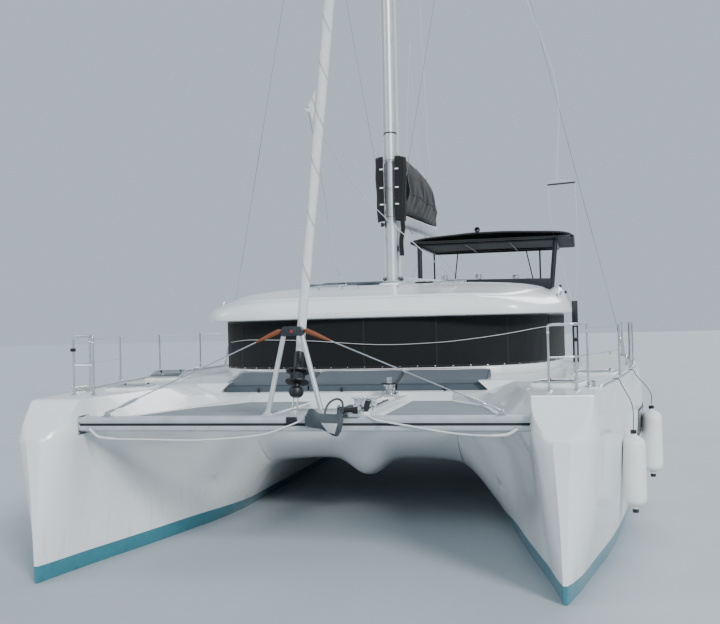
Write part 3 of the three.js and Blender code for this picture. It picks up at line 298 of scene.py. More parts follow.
def coil(center, radius, turns, rise, per_turn=24, spread=0.012):
    """Turns of rope lying on one another, a little uneven."""
    steps = random.Random(7)
    wobble = [steps.uniform(-spread, spread) for _ in range(turns * 4 + 4)]
    line = []
    for n in range(turns * per_turn + 1):
        turn_share = n / per_turn
        here = int(turn_share * 4)
        out = radius + mix(wobble[here], wobble[here + 1], turn_share * 4 - here)
        angle = turn_share * math.tau
        line.append(Vector(center) + Vector((out * math.cos(angle), out * math.sin(angle), rise * turn_share)))
    return line


def bar(start, end, radius, sides=12, end_radius=None):
    return tube([start, end], [radius, radius if end_radius is None else end_radius], sides)


def bent(points, radius, bend=0.06, sides=10, steps=5):
    """A tube along straight runs with bends between them."""
    return tube(rounded([(point, bend) for point in points], steps), radius, sides)


def plate(outline, depth, axis, edge=0.0, steps=2):
    """An outline of (a, b) points pushed through a depth along the named axis."""
    shape = bmesh.new()
    place = {"x": lambda a, b, c: (c, a, b), "y": lambda a, b, c: (a, c, b), "z": lambda a, b, c: (a, b, c)}[axis]
    face = shape.faces.new([shape.verts.new(place(a, b, depth[0])) for a, b in outline])
    pushed = bmesh.ops.extrude_face_region(shape, geom=[face])
    step = Vector(place(0, 0, depth[1] - depth[0]))
    bmesh.ops.translate(shape, vec=step, verts=[v for v in pushed["geom"] if isinstance(v, bmesh.types.BMVert)])
    bmesh.ops.recalc_face_normals(shape, faces=shape.faces)
    return soften(shape, edge, steps)


def ball(center, radius, sides=16, rings=10, stretch=(1, 1, 1)):
    shape = bmesh.new()
    bmesh.ops.create_uvsphere(shape, u_segments=sides, v_segments=rings, radius=radius)
    bmesh.ops.scale(shape, vec=stretch, verts=shape.verts)
    return shifted(shape, *center)


def ring(center, direction, radius, thickness, steps=24, sides=8):
    """A round ring about a direction."""
    circle = [(math.cos(k * math.tau / steps) * radius, math.sin(k * math.tau / steps) * radius, 0)
              for k in range(steps)]
    rows = []
    for x, y, _ in circle:
        out = Vector((x, y, 0)).normalized()
        rows.append([Vector((x, y, 0)) + out * math.cos(k * math.tau / sides) * thickness
                     + Vector((0, 0, math.sin(k * math.tau / sides) * thickness)) for k in range(sides)])
    shape = skin(rows + rows[:1], around=True)
    return moved(shape, aimed(center, direction))


def mirrored(shape):
    """A mirror copy on the other side of the boat."""
    return moved(shape.copy(), Matrix.Scale(-1, 4, (1, 0, 0)))


def piece(name, shape, finish, body="boat", stands_for=(), crease=35):
    for edge in shape.edges:
        edge.smooth = edge.calc_face_angle(0) < math.radians(crease)
    for face in shape.faces:
        face.smooth = True
    mesh = bpy.data.meshes.new(name)
    shape.to_mesh(mesh)
    shape.free()
    mesh.materials.append(finish)
    made = bpy.data.objects.new(name, mesh)
    bpy.context.scene.collection.objects.link(made)
    if body:
        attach(made, body)
    if stands_for:
        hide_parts(*([stands_for] if isinstance(stands_for, str) else stands_for))
    return made


def both_sides(name, shape, finish, **more):
    """A port piece and its mirror image to starboard."""
    other = mirrored(shape)
    stands_for = more.pop("stands_for", None)
    made = [piece("port_" + name, shape, finish, stands_for=(f"port_{stands_for}",) if stands_for else (), **more)]
    more = {key: value.replace("port_", "starboard_") if key == "body" else value for key, value in more.items()}
    made.append(piece("starboard_" + name, other, finish,
                      stands_for=(f"starboard_{stands_for}",) if stands_for else (), **more))
    return made


def add_modifier(made, kind, **settings):
    modifier = made.modifiers.new(kind.lower(), kind)
    for key, value in settings.items():
        setattr(modifier, key, value)
    return modifier


def settle(shape, voxel, cap):
    """Blows up a cushion's shape as cloth: remeshed, under pressure, each point moving no further than cap."""
    mesh = bpy.data.meshes.new("cushion")
    shape.to_mesh(mesh)
    shape.free()
    work = bpy.data.objects.new("cushion", mesh)
    bpy.context.scene.collection.objects.link(work)
    add_modifier(work, "REMESH", mode="VOXEL", voxel_size=voxel)
    bpy.context.view_layer.update()
    work.data = bpy.data.meshes.new_from_object(work.evaluated_get(bpy.context.evaluated_depsgraph_get()))
    work.modifiers.clear()
    start = [vertex.co.copy() for vertex in work.data.vertices]
    rests = [vertex.normal.z < -0.6 for vertex in work.data.vertices]
    cloth = work.modifiers.new("cloth", "CLOTH")
    cloth.settings.use_pressure = True
    cloth.settings.uniform_pressure_force = 4
    cloth.settings.effector_weights.gravity = 0
    cloth.settings.quality = 4
    for step in range(1, 21):
        bpy.context.scene.frame_set(step)
    blown = work.evaluated_get(bpy.context.evaluated_depsgraph_get()).to_mesh()
    spots = [vertex.co.copy() for vertex in blown.vertices]
    work.modifiers.clear()
    bpy.context.scene.frame_set(1)
    for vertex, old, new, resting in zip(work.data.vertices, start, spots, rests):
        step = new - old
        if resting:
            step = Vector((0, 0, 0))
        vertex.co = old + (step.normalized() * cap if step.length > cap else step)
    result = bmesh.new()
    result.from_mesh(work.data)
    bmesh.ops.smooth_vert(result, verts=result.verts, factor=0.4, use_axis_x=True, use_axis_y=True, use_axis_z=True)
    bpy.data.objects.remove(work)
    return result


def cushion(name, shapes, finish, fill=0.7, voxel=0.02, cap=0.016, **more):
    """A padded piece made of one or more cushions that are blown up one by one."""
    shapes = [settle(shape, voxel, cap) for shape in shapes]
    made = piece(name, together(*shapes), finish, crease=80, **more)
    return made


# Finishes
def paint(code):
    """A linear colour from a hex code."""
    parts = [int(code[k:k + 2], 16) / 255 for k in (0, 2, 4)]
    return tuple(p / 12.92 if p <= 0.04045 else ((p + 0.055) / 1.055) ** 2.4 for p in parts) + (1.0,)


class Term:
    """A number from a node, ready for sums with other terms and plain numbers."""

    def __init__(self, finish, socket):
        self.finish, self.socket = finish, socket

    def __add__(self, other):
        return self.finish.maths("ADD", self, other)

    def __radd__(self, other):
        return self.finish.maths("ADD", other, self)

    def __sub__(self, other):
        return self.finish.maths("SUBTRACT", self, other)

    def __rsub__(self, other):
        return self.finish.maths("SUBTRACT", other, self)

    def __mul__(self, other):
        return self.finish.maths("MULTIPLY", self, other)

    def __rmul__(self, other):
        return self.finish.maths("MULTIPLY", other, self)

    def __truediv__(self, other):
        return self.finish.maths("DIVIDE", self, other)


class Finish:
    """A procedural finish on one Principled shader."""

    def __init__(self, name, **constants):
        self.material = bpy.data.materials.new(name)
        self.material.use_nodes = True
        self.tree = self.material.node_tree
        self.shader = self.tree.nodes["Principled BSDF"]
        self.set(**constants)
        self.spot = None

    def set(self, **sockets):
        """Feeds sockets of the shader, named with underscores for spaces."""
        for name, value in sockets.items():
            self.feed(self.shader.inputs[name.replace("_", " ")], value)
        return self

    def feed(self, socket, value):
        value = value.socket if isinstance(value, Term) else value
        if isinstance(value, bpy.types.NodeSocket):
            self.tree.links.new(value, socket)
        else:
            socket.default_value = value

    def node(self, kind, settings, sockets):
        made = self.tree.nodes.new("ShaderNode" + kind)
        for name, value in settings.items():
            if name == "stops":
                for stop, (place, colour) in zip(made.color_ramp.elements, value):
                    stop.position, stop.color = place, colour
            else:
                setattr(made, name, value)
        for name, value in sockets.items():
            self.feed(made.inputs[name], value)
        return made

    def maths(self, operation, *values):
        made = self.node("Math", {"operation": operation}, dict(enumerate(values)))
        return Term(self, made.outputs[0])

    def place(self):
        """The x, y and z of the surface in the boat's frame, in metres."""
        self.spot = self.node("TexCoord", {}, {}).outputs["Object"]
        parts = self.node("SeparateXYZ", {}, {0: self.spot}).outputs
        return [Term(self, part) for part in parts]

    def cloth_place(self):
        """How far along and across a cloth or rope the surface is."""
        self.spot = self.node("UVMap", {"uv_map": "along"}, {}).outputs[0]
        parts = self.node("SeparateXYZ", {}, {0: self.spot}).outputs
        return Term(self, parts[0]), Term(self, parts[1])

    def stretched(self, scale):
        """The surface's place scaled by its own amount each way."""
        return self.node("VectorMath", {"operation": "MULTIPLY"}, {0: self.spot, 1: scale}).outputs[0]

    def noise(self, scale, detail=2.0, spot=None, roughness=0.5):
        made = self.node("TexNoise", {}, {"Vector": spot or self.spot, "Scale": scale, "Detail": detail,
                                          "Roughness": roughness})
        return Term(self, made.outputs[0])

    def cells(self, scale, feature="F1"):
        made = self.node("TexVoronoi", {"feature": feature}, {"Vector": self.spot, "Scale": scale})
        return Term(self, made.outputs["Distance"])

    def step(self, value, low, high):
        """0 below low, 1 above high."""
        made = self.node("MapRange", {"interpolation_type": "SMOOTHSTEP"},
                         {"Value": value, "From Min": low, "From Max": high})
        return Term(self, made.outputs[0])

    def between(self, value, low, high, soft=0.002):
        return self.step(value, low - soft, low + soft) * (1 - self.step(value, high - soft, high + soft))

    def wave(self, value, pitch):
        """A wave from 0 to 1 that repeats every pitch."""
        return self.maths("SINE", value * (math.tau / pitch)) * 0.5 + 0.5

    def tint(self, share, first, second):
        made = self.node("Mix", {"data_type": "RGBA"}, {0: share, 6: first, 7: second})
        return made.outputs[2]

    def bump(self, height, distance, strength=1.0):
        made = self.node("Bump", {}, {"Height": height, "Distance": distance, "Strength": strength})
        return self.set(Normal=made.outputs[0])


def gelcoat_finish(name, hull=False, deck=False):
    """White gelcoat with soft unevenness and grime; below the waterline it is antifouling paint."""
    made = Finish(name, Coat_Weight=0.35, Coat_Roughness=0.06, IOR=1.48)
    x, y, z = made.place()
    cloudy = made.noise(0.9, 3)
    fine = made.noise(14, 4)
    colour = made.tint(cloudy, paint("e3e6e6"), paint("eef0ef"))
    rough = 0.16 + cloudy * 0.1 + fine * 0.06
    height = made.noise(1.6, 1) * 0.6
    depth = 0.004
    if hull:
        runs = made.noise(5.0, 5, made.stretched((3.2, 3.2, 0.35)))
        grime = made.step(runs, 0.52, 0.78) * (1 - made.step(z, 0.2, 1.0))
        colour = made.tint(grime * 0.3, colour, paint("a9a796"))
        stripe = made.between(z, 0.0, 0.18)
        worn = made.noise(9, 5)
        teal = made.tint(worn, paint("2c6b78"), paint("388290"))
        below = 1 - made.step(z, -0.002, 0.002)
        paint_film = made.tint(made.step(made.noise(3.5, 6), 0.4, 0.7), paint("1f3d52"), paint("2b5266"))
        colour = made.tint(stripe, colour, teal)
        colour = made.tint(below, colour, paint_film)
        rough = rough + below * 0.42
        weed = made.between(z, -0.03, 0.035, 0.02) * made.step(made.noise(22, 5), 0.45, 0.7)
        colour = made.tint(weed * 0.55, colour, paint("4c5a3c"))
        height = height + below * made.noise(160, 3) * 0.5
    if deck:
        x_side = made.maths("ABSOLUTE", x)
        up = made.node("NewGeometry", {}, {}).outputs["Normal"]
        flat = made.step(Term(made, made.node("SeparateXYZ", {}, {0: up}).outputs[2]), 0.97, 0.99)
        side_deck = made.between(x_side, 2.78, 3.52) * made.between(y, -2.9, 4.2)
        fore_deck = made.between(x_side, 2.42, 2.98) * made.between(y, -3.55, -3.1)
        tread = made.between(x_side, 2.26, 3.23) * made.step(y, 4.4, 4.42)
        pad = flat * made.step(z, 0.3, 0.35) * made.maths("MAXIMUM", made.maths("MAXIMUM", side_deck, fore_deck), tread)
        studs = made.wave(x + y, 0.011) * made.wave(x - y, 0.011)
        colour = made.tint(pad, colour, made.tint(fine, paint("c6cac9"), paint("d2d5d3")))
        rough = rough + pad * 0.4
        height = height * 0.3 + made.step(studs, 0.3, 0.6) * pad
        depth = 0.0012
        dust = made.step(made.noise(2.4, 6), 0.5, 0.8) * flat
        colour = made.tint(dust * 0.16, colour, paint("8f9088"))
    made.set(Base_Color=colour, Roughness=rough)
    return made.bump(height, depth, 0.5).material


def cloth_finish(name, dark, light, pitch=0.0022, sheen=0.3, fade=0.35, weave=0.0005):
    """Woven cloth with a fine crossing weave, a little fading and dust."""
    made = Finish(name, Sheen_Weight=sheen, Sheen_Roughness=0.5, IOR=1.4)
    x, y, z = made.place()
    threads = made.wave(x + z, pitch) * made.wave(y + z * 0.3, pitch) + made.wave(y - x, pitch * 1.3) * 0.4
    clouds = made.noise(2.2, 5)
    dust = made.noise(38, 4)
    share = clouds * fade + threads * 0.25 + dust * 0.2
    made.set(Base_Color=made.tint(share, paint(dark), paint(light)), Roughness=0.72 + dust * 0.2)
    return made.bump(threads + dust * 0.6, weave, 0.8).material


def metal_finish(name, low, high, roughness, metallic=1.0, pitting=0.0, streak=(1, 1, 40)):
    """Metal with drawn streaks, smudges and, for cast pieces, pitting."""
    made = Finish(name)
    made.place()
    streaks = made.noise(14, 3, made.stretched(streak))
    smudge = made.noise(5, 4)
    rough = roughness + streaks * 0.1 + smudge * 0.12
    made.set(Base_Color=made.tint(smudge, paint(low), paint(high)), Roughness=rough, Metallic=metallic - smudge * 0.1)
    return made.bump(streaks * 0.4 + made.noise(60, 4) * pitting, 0.0006, 0.5).material


def moulded_finish(name, low, high, roughness, grain=0.0004, scale=220):
    """Moulded plastic, rubber or paint with a fine grain."""
    made = Finish(name, IOR=1.47)
    made.place()
    cloudy = made.noise(4, 4)
    pores = made.noise(scale, 2)
    made.set(Base_Color=made.tint(cloudy, paint(low), paint(high)), Roughness=roughness + cloudy * 0.14 + pores * 0.05)
    return made.bump(pores + cloudy * 0.5, grain, 0.6).material


def glass_finish(name, low, high):
    """Dark acrylic with faint haze and wiping marks."""
    made = Finish(name, IOR=1.49, Coat_Weight=0.5, Coat_Roughness=0.02)
    made.place()
    haze = made.noise(3, 5)
    made.set(Base_Color=made.tint(haze, paint(low), paint(high)), Roughness=0.03 + haze * 0.07)
    return made.bump(made.noise(1.2, 1), 0.002, 0.3).material


def rope_finish(name, low, high, fleck, strands=8.0, pitch=0.03):
    """Braided rope: crossing strands along it, with a coloured fleck."""
    made = Finish(name, Sheen_Weight=0.2, IOR=1.4)
    along, across = made.cloth_place()
    lay = along * (math.tau / pitch)
    turn_round = across * (math.tau * strands)
    one = made.maths("SINE", lay + turn_round)
    other = made.maths("SINE", lay - turn_round)
    braid = made.maths("MAXIMUM", one, other) * 0.5 + 0.5
    flecks = made.step(made.maths("SINE", lay * 0.5 + turn_round * 0.25), 0.86, 0.95)
    made.place()
    dirt = made.noise(30, 4)
    colour = made.tint(braid * 0.6 + dirt * 0.4, paint(low), paint(high))
    made.set(Base_Color=made.tint(flecks, colour, paint(fleck)), Roughness=0.75 + dirt * 0.15)
    return made.bump(braid, 0.0009, 0.8).material


def teak_finish(name):
    """Teak strips along the boat with dark caulking between."""
    made = Finish(name, IOR=1.45)
    x, y, z = made.place()
    seam = made.step(made.wave(x, 0.052), 0.93, 0.975)
    grain = made.noise(9, 6, made.stretched((9, 0.7, 9)))
    tone = made.noise(4, 2, made.stretched((4.8, 0.15, 1)))
    wood = made.tint(grain * 0.6 + tone * 0.4, paint("8a6a48"), paint("b9976c"))
    made.set(Base_Color=made.tint(seam, wood, paint("1b1b1b")), Roughness=0.6 + grain * 0.15)
    return made.bump(grain * 0.5 - seam * 0.8, 0.0012, 0.7).material


def sail_finish(name):
    """Rolled sailcloth: a diagonal turn line of each wrap, a fine weave, and creases, with painted shade in their
    hollows.
    """
    made = Finish(name, Sheen_Weight=0.15, IOR=1.42)
    x, y, z = made.place()
    wrap = made.wave(z + x * 2.2, 0.62)
    edge = made.step(wrap, 0.975, 0.995)
    creases_with_shade = made.noise(7, 5, made.stretched((3, 3, 0.5)))
    weave = made.wave(x * 3 + z, 0.003)
    # The creases also darken the colour in their hollows: painted shade there, while the bump and roughness give the
    # creases themselves.
    colour = made.tint(creases_with_shade * 0.7 + weave * 0.1, paint("b9bfc1"), paint("e4e6e4"))
    made.set(Base_Color=made.tint(edge * 0.5, colour, paint("7f8a90")), Roughness=0.6 + creases_with_shade * 0.15)
    return made.bump(creases_with_shade + edge * 0.6, 0.006, 0.6).material


GELCOAT_HULL = gelcoat_finish("hull_gelcoat", hull=True, deck=True)
GELCOAT = gelcoat_finish("smooth_gelcoat")
GREY_GELCOAT = moulded_finish("grey_gelcoat", "b4b8b9", "c3c6c6", 0.35, 0.0006, 300)
ANTIFOULING = moulded_finish("antifouling", "1f3d52", "2b5266", 0.62, 0.0008, 120)
DARK_GLASS = glass_finish("dark_glass", "07090b", "11151a")
COVER_MESH = cloth_finish("cover_mesh", "06080a", "12161a", 0.003, 0.06, 0.3, 0.0006)
BLACK_CANVAS = cloth_finish("black_canvas", "07080a", "17191c", 0.0024, 0.1, 0.4, 0.0005)
GREY_CUSHION = cloth_finish("grey_cushion", "36414a", "56626b", 0.0026, 0.15, 0.5, 0.0006)
WEBBING = cloth_finish("webbing", "0b0c0d", "2a2c2e", 0.004, 0.2, 0.3, 0.001)
NET_TWINE = cloth_finish("net_twine", "6d777d", "98a0a3", 0.004, 0.1, 0.4, 0.001)
ANODISED = metal_finish("anodised_alloy", "a6adb1", "c9ced1", 0.3, 0.75)
MAST_ALLOY = metal_finish("mast_alloy", "b3babd", "d3d7d9", 0.32, 0.55, 0.0, (12, 12, 0.3))
GREY_ALLOY = metal_finish("dark_alloy", "2c3135", "454b50", 0.38, 0.6, 0.5)
STAINLESS = metal_finish("stainless_steel", "b7bcc0", "e4e7e8", 0.1, 1.0)
GALVANISED = metal_finish("galvanised_steel", "30373b", "5e676b", 0.48, 0.7, 1.6, (1, 1, 1))
BRIGHT_ZINC = metal_finish("worn_zinc", "a9aeb0", "d8dbdb", 0.3, 0.85, 0.6, (1, 1, 1))
BRONZE = metal_finish("bronze", "7d5c2e", "b98f4e", 0.3, 1.0, 0.6)
BLACK_PLASTIC = moulded_finish("black_plastic", "0c0d0f", "1f2225", 0.38)
BLACK_RUBBER = moulded_finish("black_rubber", "101113", "27292b", 0.62, 0.0008, 160)
WHITE_PLASTIC = moulded_finish("white_plastic", "dfe1df", "f0f1ef", 0.3)
FENDER_VINYL = moulded_finish("fender_vinyl", "d9dcdb", "eef0ee", 0.34, 0.0008, 90)
DARK_PAINT = moulded_finish("dark_paint", "0e1114", "20252a", 0.32)
RED_PLASTIC = moulded_finish("red_plastic", "8f1d1a", "b0302a", 0.35)
TAN_LEATHER = moulded_finish("tan_leather", "5f3118", "8d4d27", 0.5, 0.0016, 70)
TEAK = teak_finish("teak")
SAILCLOTH = sail_finish("furled_sailcloth")
WHITE_ROPE = rope_finish("white_rope", "b9babA", "e9e9e5", "d9dad6")
DARK_ROPE = rope_finish("dark_rope", "14181d", "30373e", "59636b")
ORANGE_ROPE = rope_finish("orange_rope", "9a4a22", "c9793f", "e6d8c4")
BLUE_ROPE = rope_finish("blue_fleck_rope", "b7bdc2", "e3e6e7", "35608c")


# Hulls: for each station y, the outboard half-breadths and heights, then the inboard ones
OUTBOARD = [
    # y, keel z, waterline, chest, shoulder, deck edge, deck z
    (-6.4, -0.16, 2.745, 2.768, 2.815, 2.78, 1.512),
    (-6.32, -0.3, 2.765, 2.85, 2.945, 2.89, 1.575),
    (-6.2, -0.4, 2.79, 2.935, 3.035, 2.975, 1.665),
    (-6.05, -0.46, 2.826, 3.01, 3.08, 3.02, 1.79),
    (-5.9, -0.5, 2.862, 3.05, 3.1, 3.05, DECK),
    (-5.45, -0.545, 2.958, 3.115, 3.14, 3.105, DECK),
    (-4.9, -0.575, 3.08, 3.195, 3.215, 3.18, DECK),
    (-4.35, -0.6, 3.198, 3.275, 3.3, 3.262, DECK),
    (-3.45, -0.62, 3.335, 3.43, 3.49, 3.41, DECK),
    (-2.0, -0.64, 3.49, 3.65, 3.735, 3.6, DECK),
    (0, -0.65, 3.6, 3.77, 3.835, 3.79, DECK),
    (2.5, -0.6, 3.6, 3.78, 3.85, 3.83, DECK),
    (4.7, -0.42, 3.45, 3.67, 3.75, 3.745, DECK),
    (5.5, -0.3, 3.39, 3.6, 3.69, 3.69, 1.5),
    (6.0, -0.21, 3.35, 3.555, 3.61, 3.6, 0.98),
    (6.4, -0.12, 3.32, 3.48, 3.52, 3.52, 0.56),
]
INBOARD = [
    # y, net edge, its z, hip, its z, arm, its z, knee, waterline
    (-6.4, 2.672, 1.506, 2.65, 1.5, 2.695, 0.8, 2.708, 2.715),
    (-6.32, 2.56, 1.545, 2.545, 1.5, 2.64, 0.8, 2.68, 2.7),
    (-6.2, 2.48, 1.6, 2.47, 1.5, 2.585, 0.8, 2.645, 2.68),
    (-6.05, 2.446, 1.66, 2.44, 1.5, 2.54, 0.8, 2.61, 2.652),
    (-5.7, 2.44, 1.69, 2.432, 1.48, 2.49, 0.8, 2.545, 2.58),
    (-5.45, 2.19, 1.66, 2.39, 1.3, 2.445, 0.8, 2.48, 2.525),
    (-4.35, 1.9, 1.66, 2.19, 1.2, 2.27, 0.78, 2.23, 2.262),
    (-3.8, 1.69, 1.67, 1.99, 1.12, 2.09, 0.7, 2.11, 2.15),
    (-3.45, SPLIT, 1.76, SPLIT, 1.56, 1.88, 0.68, 2.01, 2.085),
    (-3.2, SPLIT, 1.8, SPLIT, 1.15, 1.74, 0.64, 1.92, 2.04),
    (-2.9, SPLIT, 1.85, SPLIT, 0.9, 1.62, 0.58, 1.82, 2.0),
    (-2.6, SPLIT, DECK, SPLIT, 0.76, 1.56, 0.55, 1.74, 1.97),
    (-2.2, SPLIT, DECK, SPLIT, 0.7, 1.53, 0.54, 1.69, 1.94),
    (4.95, SPLIT, DECK, SPLIT, 0.74, 1.6, 0.56, 1.8, 1.99),
    (4.96, 2.01, DECK, 2.0, 1.2, 1.99, 0.8, 2.01, 2.05),
    (5.5, 2.01, 1.5, 2.005, 1.1, 2.0, 0.75, 2.02, 2.06),
    (6.0, 2.02, 0.98, 2.015, 0.8, 2.015, 0.55, 2.04, 2.07),
    (6.4, 2.04, 0.56, 2.035, 0.5, 2.035, 0.4, 2.06, 2.09),
]
BOW_STATIONS = [-6.4, -6.385, -6.36, -6.33, -6.3, -6.26, -6.22, -6.18, -6.13, -6.08, -6.03, -5.98, -5.94, -5.9, -5.85]
BRIDGE_FRONT = -3.45
# Where the flat deck ends on the inboard side, and the pocket that the sun pad lies in
DECK_FOLD = [(-6.4, 2.685), (-6.32, 2.58), (-6.2, 2.5), (-6.05, 2.452), (-5.9, 2.44), (-5.45, 2.385), (-4.9, 2.29),
             (-4.35, 2.2), (-3.45, 2.12), (-2.0, 2.08), (2.5, 2.08), (4.7, 2.3), (5.5, 2.45), (6.0, 2.4), (6.4, 2.38)]
PAD_POCKET, PAD_POCKET_Y, PAD_FLOOR = 1.785, (-3.45, -2.63), 1.785
WELL_Y = (-2.23, 4.7)
WELL_CORNER = (1.69, -1.85)
TREADS = [(4.35, 1.5), (4.99, 1.15), (5.4, 0.8), (5.85, 0.46)]
TREAD_X = (2.16, 3.33)
JUMPS = [BRIDGE_FRONT, PAD_POCKET_Y[1], WELL_Y[0], TREADS[0][0], WELL_Y[1], 4.955, TREADS[1][0], TREADS[2][0], TREADS[3][0]]


def blend_line(value, start, end):
    """A share that goes straight from 0 at the start to 1 at the end."""
    return min(max((value - start) / (end - start), 0), 1)


def hull_stations():
    steady = [-5.75 + 0.115 * k for k in range(106)]
    steady = [y for y in steady if y < 6.39 and all(abs(y - jump) > 0.03 for jump in JUMPS)]
    twins = [jump + side for jump in JUMPS for side in (-0.0004, 0.0004)]
    return sorted(BOW_STATIONS + steady + twins + [WELL_CORNER[1], 6.4])


def tunnel_line(y):
    """Half of the tunnel's roof, from the middle of the bridge deck out and down to the hull's waterline."""
    inside = {name: smooth(INBOARD, k, y) for k, name in enumerate(("y", "edge", "edgeZ", "hip", "hipZ", "arm", "armZ",
                                                                    "knee", "wl"))}
    lift = 0.06 * blend_in(y, -3.45, -2.6)
    roof = [(x, y, inside["hipZ"] + lift * (1 - (x / SPLIT) ** 4)) for x in (0, 0.3, 0.6, 0.85, 1.05, 1.2)]
    corners = [(point, 0.1) for point in roof] + [
        ((SPLIT + 0.02, y, inside["hipZ"] - 0.02), 0.5), ((inside["arm"], y, inside["armZ"]), 0.5),
        ((inside["knee"], y, 0.3), 0.5), ((inside["wl"], y, 0), 0.5)]
    return rounded(corners, 6)


def hull_ring(y):
    out = {name: smooth(OUTBOARD, k, y) for k, name in enumerate(("y", "keel", "wl", "chest", "shoulder", "deckOut", "deckZ"))}
    out["deckIn"] = smooth(DECK_FOLD, 1, y)
    edge, edge_z, hip, hip_z, arm, arm_z, knee, wl_in = [smooth(INBOARD, k, y) for k in range(1, 9)]
    middle = (out["wl"] + wl_in) / 2
    bilge = [(middle + 0.74 * (half - middle), y, 0.6 * out["keel"]) for half in (out["wl"], wl_in)]
    shoulder_z = min(1.5, out["deckZ"] - 0.012)
    chest_z = min(0.8, shoulder_z * 0.6)
    knuckle = mix(0.05, 0.4, blend_in(y, -5.6, -2.5))
    keel = (middle, y, out["keel"])
    topsides = rounded([(keel, 0), (bilge[0], 0.5), ((out["wl"], y, 0), 0.5), ((out["chest"], y, chest_z), 0.5),
                        ((out["shoulder"], y, shoulder_z), knuckle), ((out["deckOut"], y, out["deckZ"]), 0.035),
                        ((mix(out["deckOut"], out["deckIn"], 0.4), y, out["deckZ"]), 0)], 6)[:-1]
    deck_z = out["deckZ"]
    tread = min([deck_z] + [z for start, z in TREADS if y > start])
    in_well = WELL_Y[0] < y < WELL_Y[1]
    rim = min(TREAD_X[1], mix(out["deckIn"], out["deckOut"], 0.75))
    front_corner = mix(WELL_CORNER[0], WELL, blend_line(y, WELL_Y[0], WELL_CORNER[1]))
    drop = front_corner if y < WELL_Y[1] else max(TREAD_X[0], mix(edge, out["deckIn"], 0.7))
    drop = drop if y > BRIDGE_FRONT else mix(out["deckIn"], out["deckOut"], 0.2)
    floor = SOLE if in_well else deck_z
    crease = min(out["deckIn"], drop - 0.03)
    deck = [(rim, deck_z), (rim, tread), (drop, tread), (drop, floor), (crease, floor),
            (edge, SOLE if in_well else min(edge_z, deck_z))]
    if y < PAD_POCKET_Y[0]:
        share = blend_in(y, -4.6, -3.5)
        foot = (mix(mix(edge, crease, 0.5), PAD_POCKET + 0.015, share), mix(mix(edge_z, deck_z, 0.5), PAD_FLOOR, share))
        deck[3:5] = [(crease, deck_z), foot]
    elif y < PAD_POCKET_Y[1]:
        wall_top = mix(PAD_FLOOR, deck_z, blend_in(y, PAD_POCKET_Y[0], -2.7))
        deck[2:5] = [(crease, deck_z), (PAD_POCKET, wall_top), (PAD_POCKET, edge_z)]
    deck = [Vector((x, y, z)) for x, z in deck]
    if y < BRIDGE_FRONT:
        below = rounded([((edge, y, min(edge_z, deck_z)), 0), ((hip, y, hip_z), 0.06), ((arm, y, arm_z), 0.5),
                         ((knee, y, 0.3), 0.5), ((wl_in, y, 0), 0.5), (bilge[1], 0.5), (keel, 0)], 6)
    else:
        line = tunnel_line(y) if y < 4.955 else rounded([((hip, y, hip_z), 0), ((arm, y, arm_z), 0.5),
                                                         ((knee, y, 0.3), 0.5), ((wl_in, y, 0), 0)], 6)
        if y < 4.955:
            first = next(k for k, point in enumerate(line) if point.x > SPLIT)
            share = (SPLIT - line[first - 1].x) / (line[first].x - line[first - 1].x)
            line = [line[first - 1].lerp(line[first], share)] + line[first:]
        below = [deck[-1]] + line + [Vector(bilge[1]), Vector(keel)]
        below = rounded([(point, 0.02 if k < 2 else 0.4) for k, point in enumerate(below)], 2)
    below = [below[0]] + evenly(below[1:], 46)
    return topsides + deck[:-1] + below[:-1]


def make_hull():
    shape = skin([hull_ring(y) for y in hull_stations()], around=True, caps=True)
    bmesh.ops.dissolve_degenerate(shape, edges=shape.edges, dist=1e-5)
    return shape


NACELLE_DROP, NACELLE_WIDTH = 0.24, 0.27


def bridge_ring(y):
    line = tunnel_line(y)
    first = next(k for k, point in enumerate(line) if point.x > SPLIT - 0.0003)
    share = (SPLIT - 0.0003 - line[first - 1].x) / (line[first].x - line[first - 1].x)
    half = evenly(line[:first] + [line[first - 1].lerp(line[first], share)], 34)
    hang = NACELLE_DROP * blend_in(y, -3.4, -2.7) * (1 - blend_in(y, 0.5, 2.6))
    under = [Vector((p.x, y, p.z - hang * math.exp(-((p.x / NACELLE_WIDTH) ** 2)))) for p in half]
    under = [Vector((-p.x, y, p.z)) for p in under[:0:-1]] + under
    in_well = WELL_Y[0] < y < WELL_Y[1]
    top = SOLE if in_well else min(smooth(INBOARD, 2, y), DECK)
    side = 1.5 if y > WELL_Y[1] else top
    deck = [(SPLIT, top if in_well else side), (1.0, side), (1.0, top), (0.5, top), (-0.5, top), (-1.0, top),
            (-1.0, side), (-SPLIT, top if in_well else side)]
    return under + [Vector((x * 0.9998, y, z)) for x, z in deck]


def make_bridge_deck():
    jumps = [WELL_Y[0] - 0.0004, WELL_Y[0] + 0.0004, WELL_Y[1] - 0.0004, WELL_Y[1] + 0.0004]
    steady = [-3.45, -3.42, -3.39, -3.35] + [-3.3 + 0.08 * k for k in range(103)]
    steady = [y for y in steady if y < 4.9 and all(abs(y - jump) > 0.02 for jump in jumps)]
    shape = skin([bridge_ring(y) for y in sorted(steady + jumps + [4.9497])], around=True, caps=True)
    bmesh.ops.dissolve_degenerate(shape, edges=shape.edges, dist=1e-5)
    return shape


hull_shape = make_hull()
both_sides("hull_shell", hull_shape, GELCOAT_HULL, stands_for="hull", crease=24)
piece("bridge_deck_shell", make_bridge_deck(), GELCOAT_HULL, stands_for="bridge_deck", crease=24)


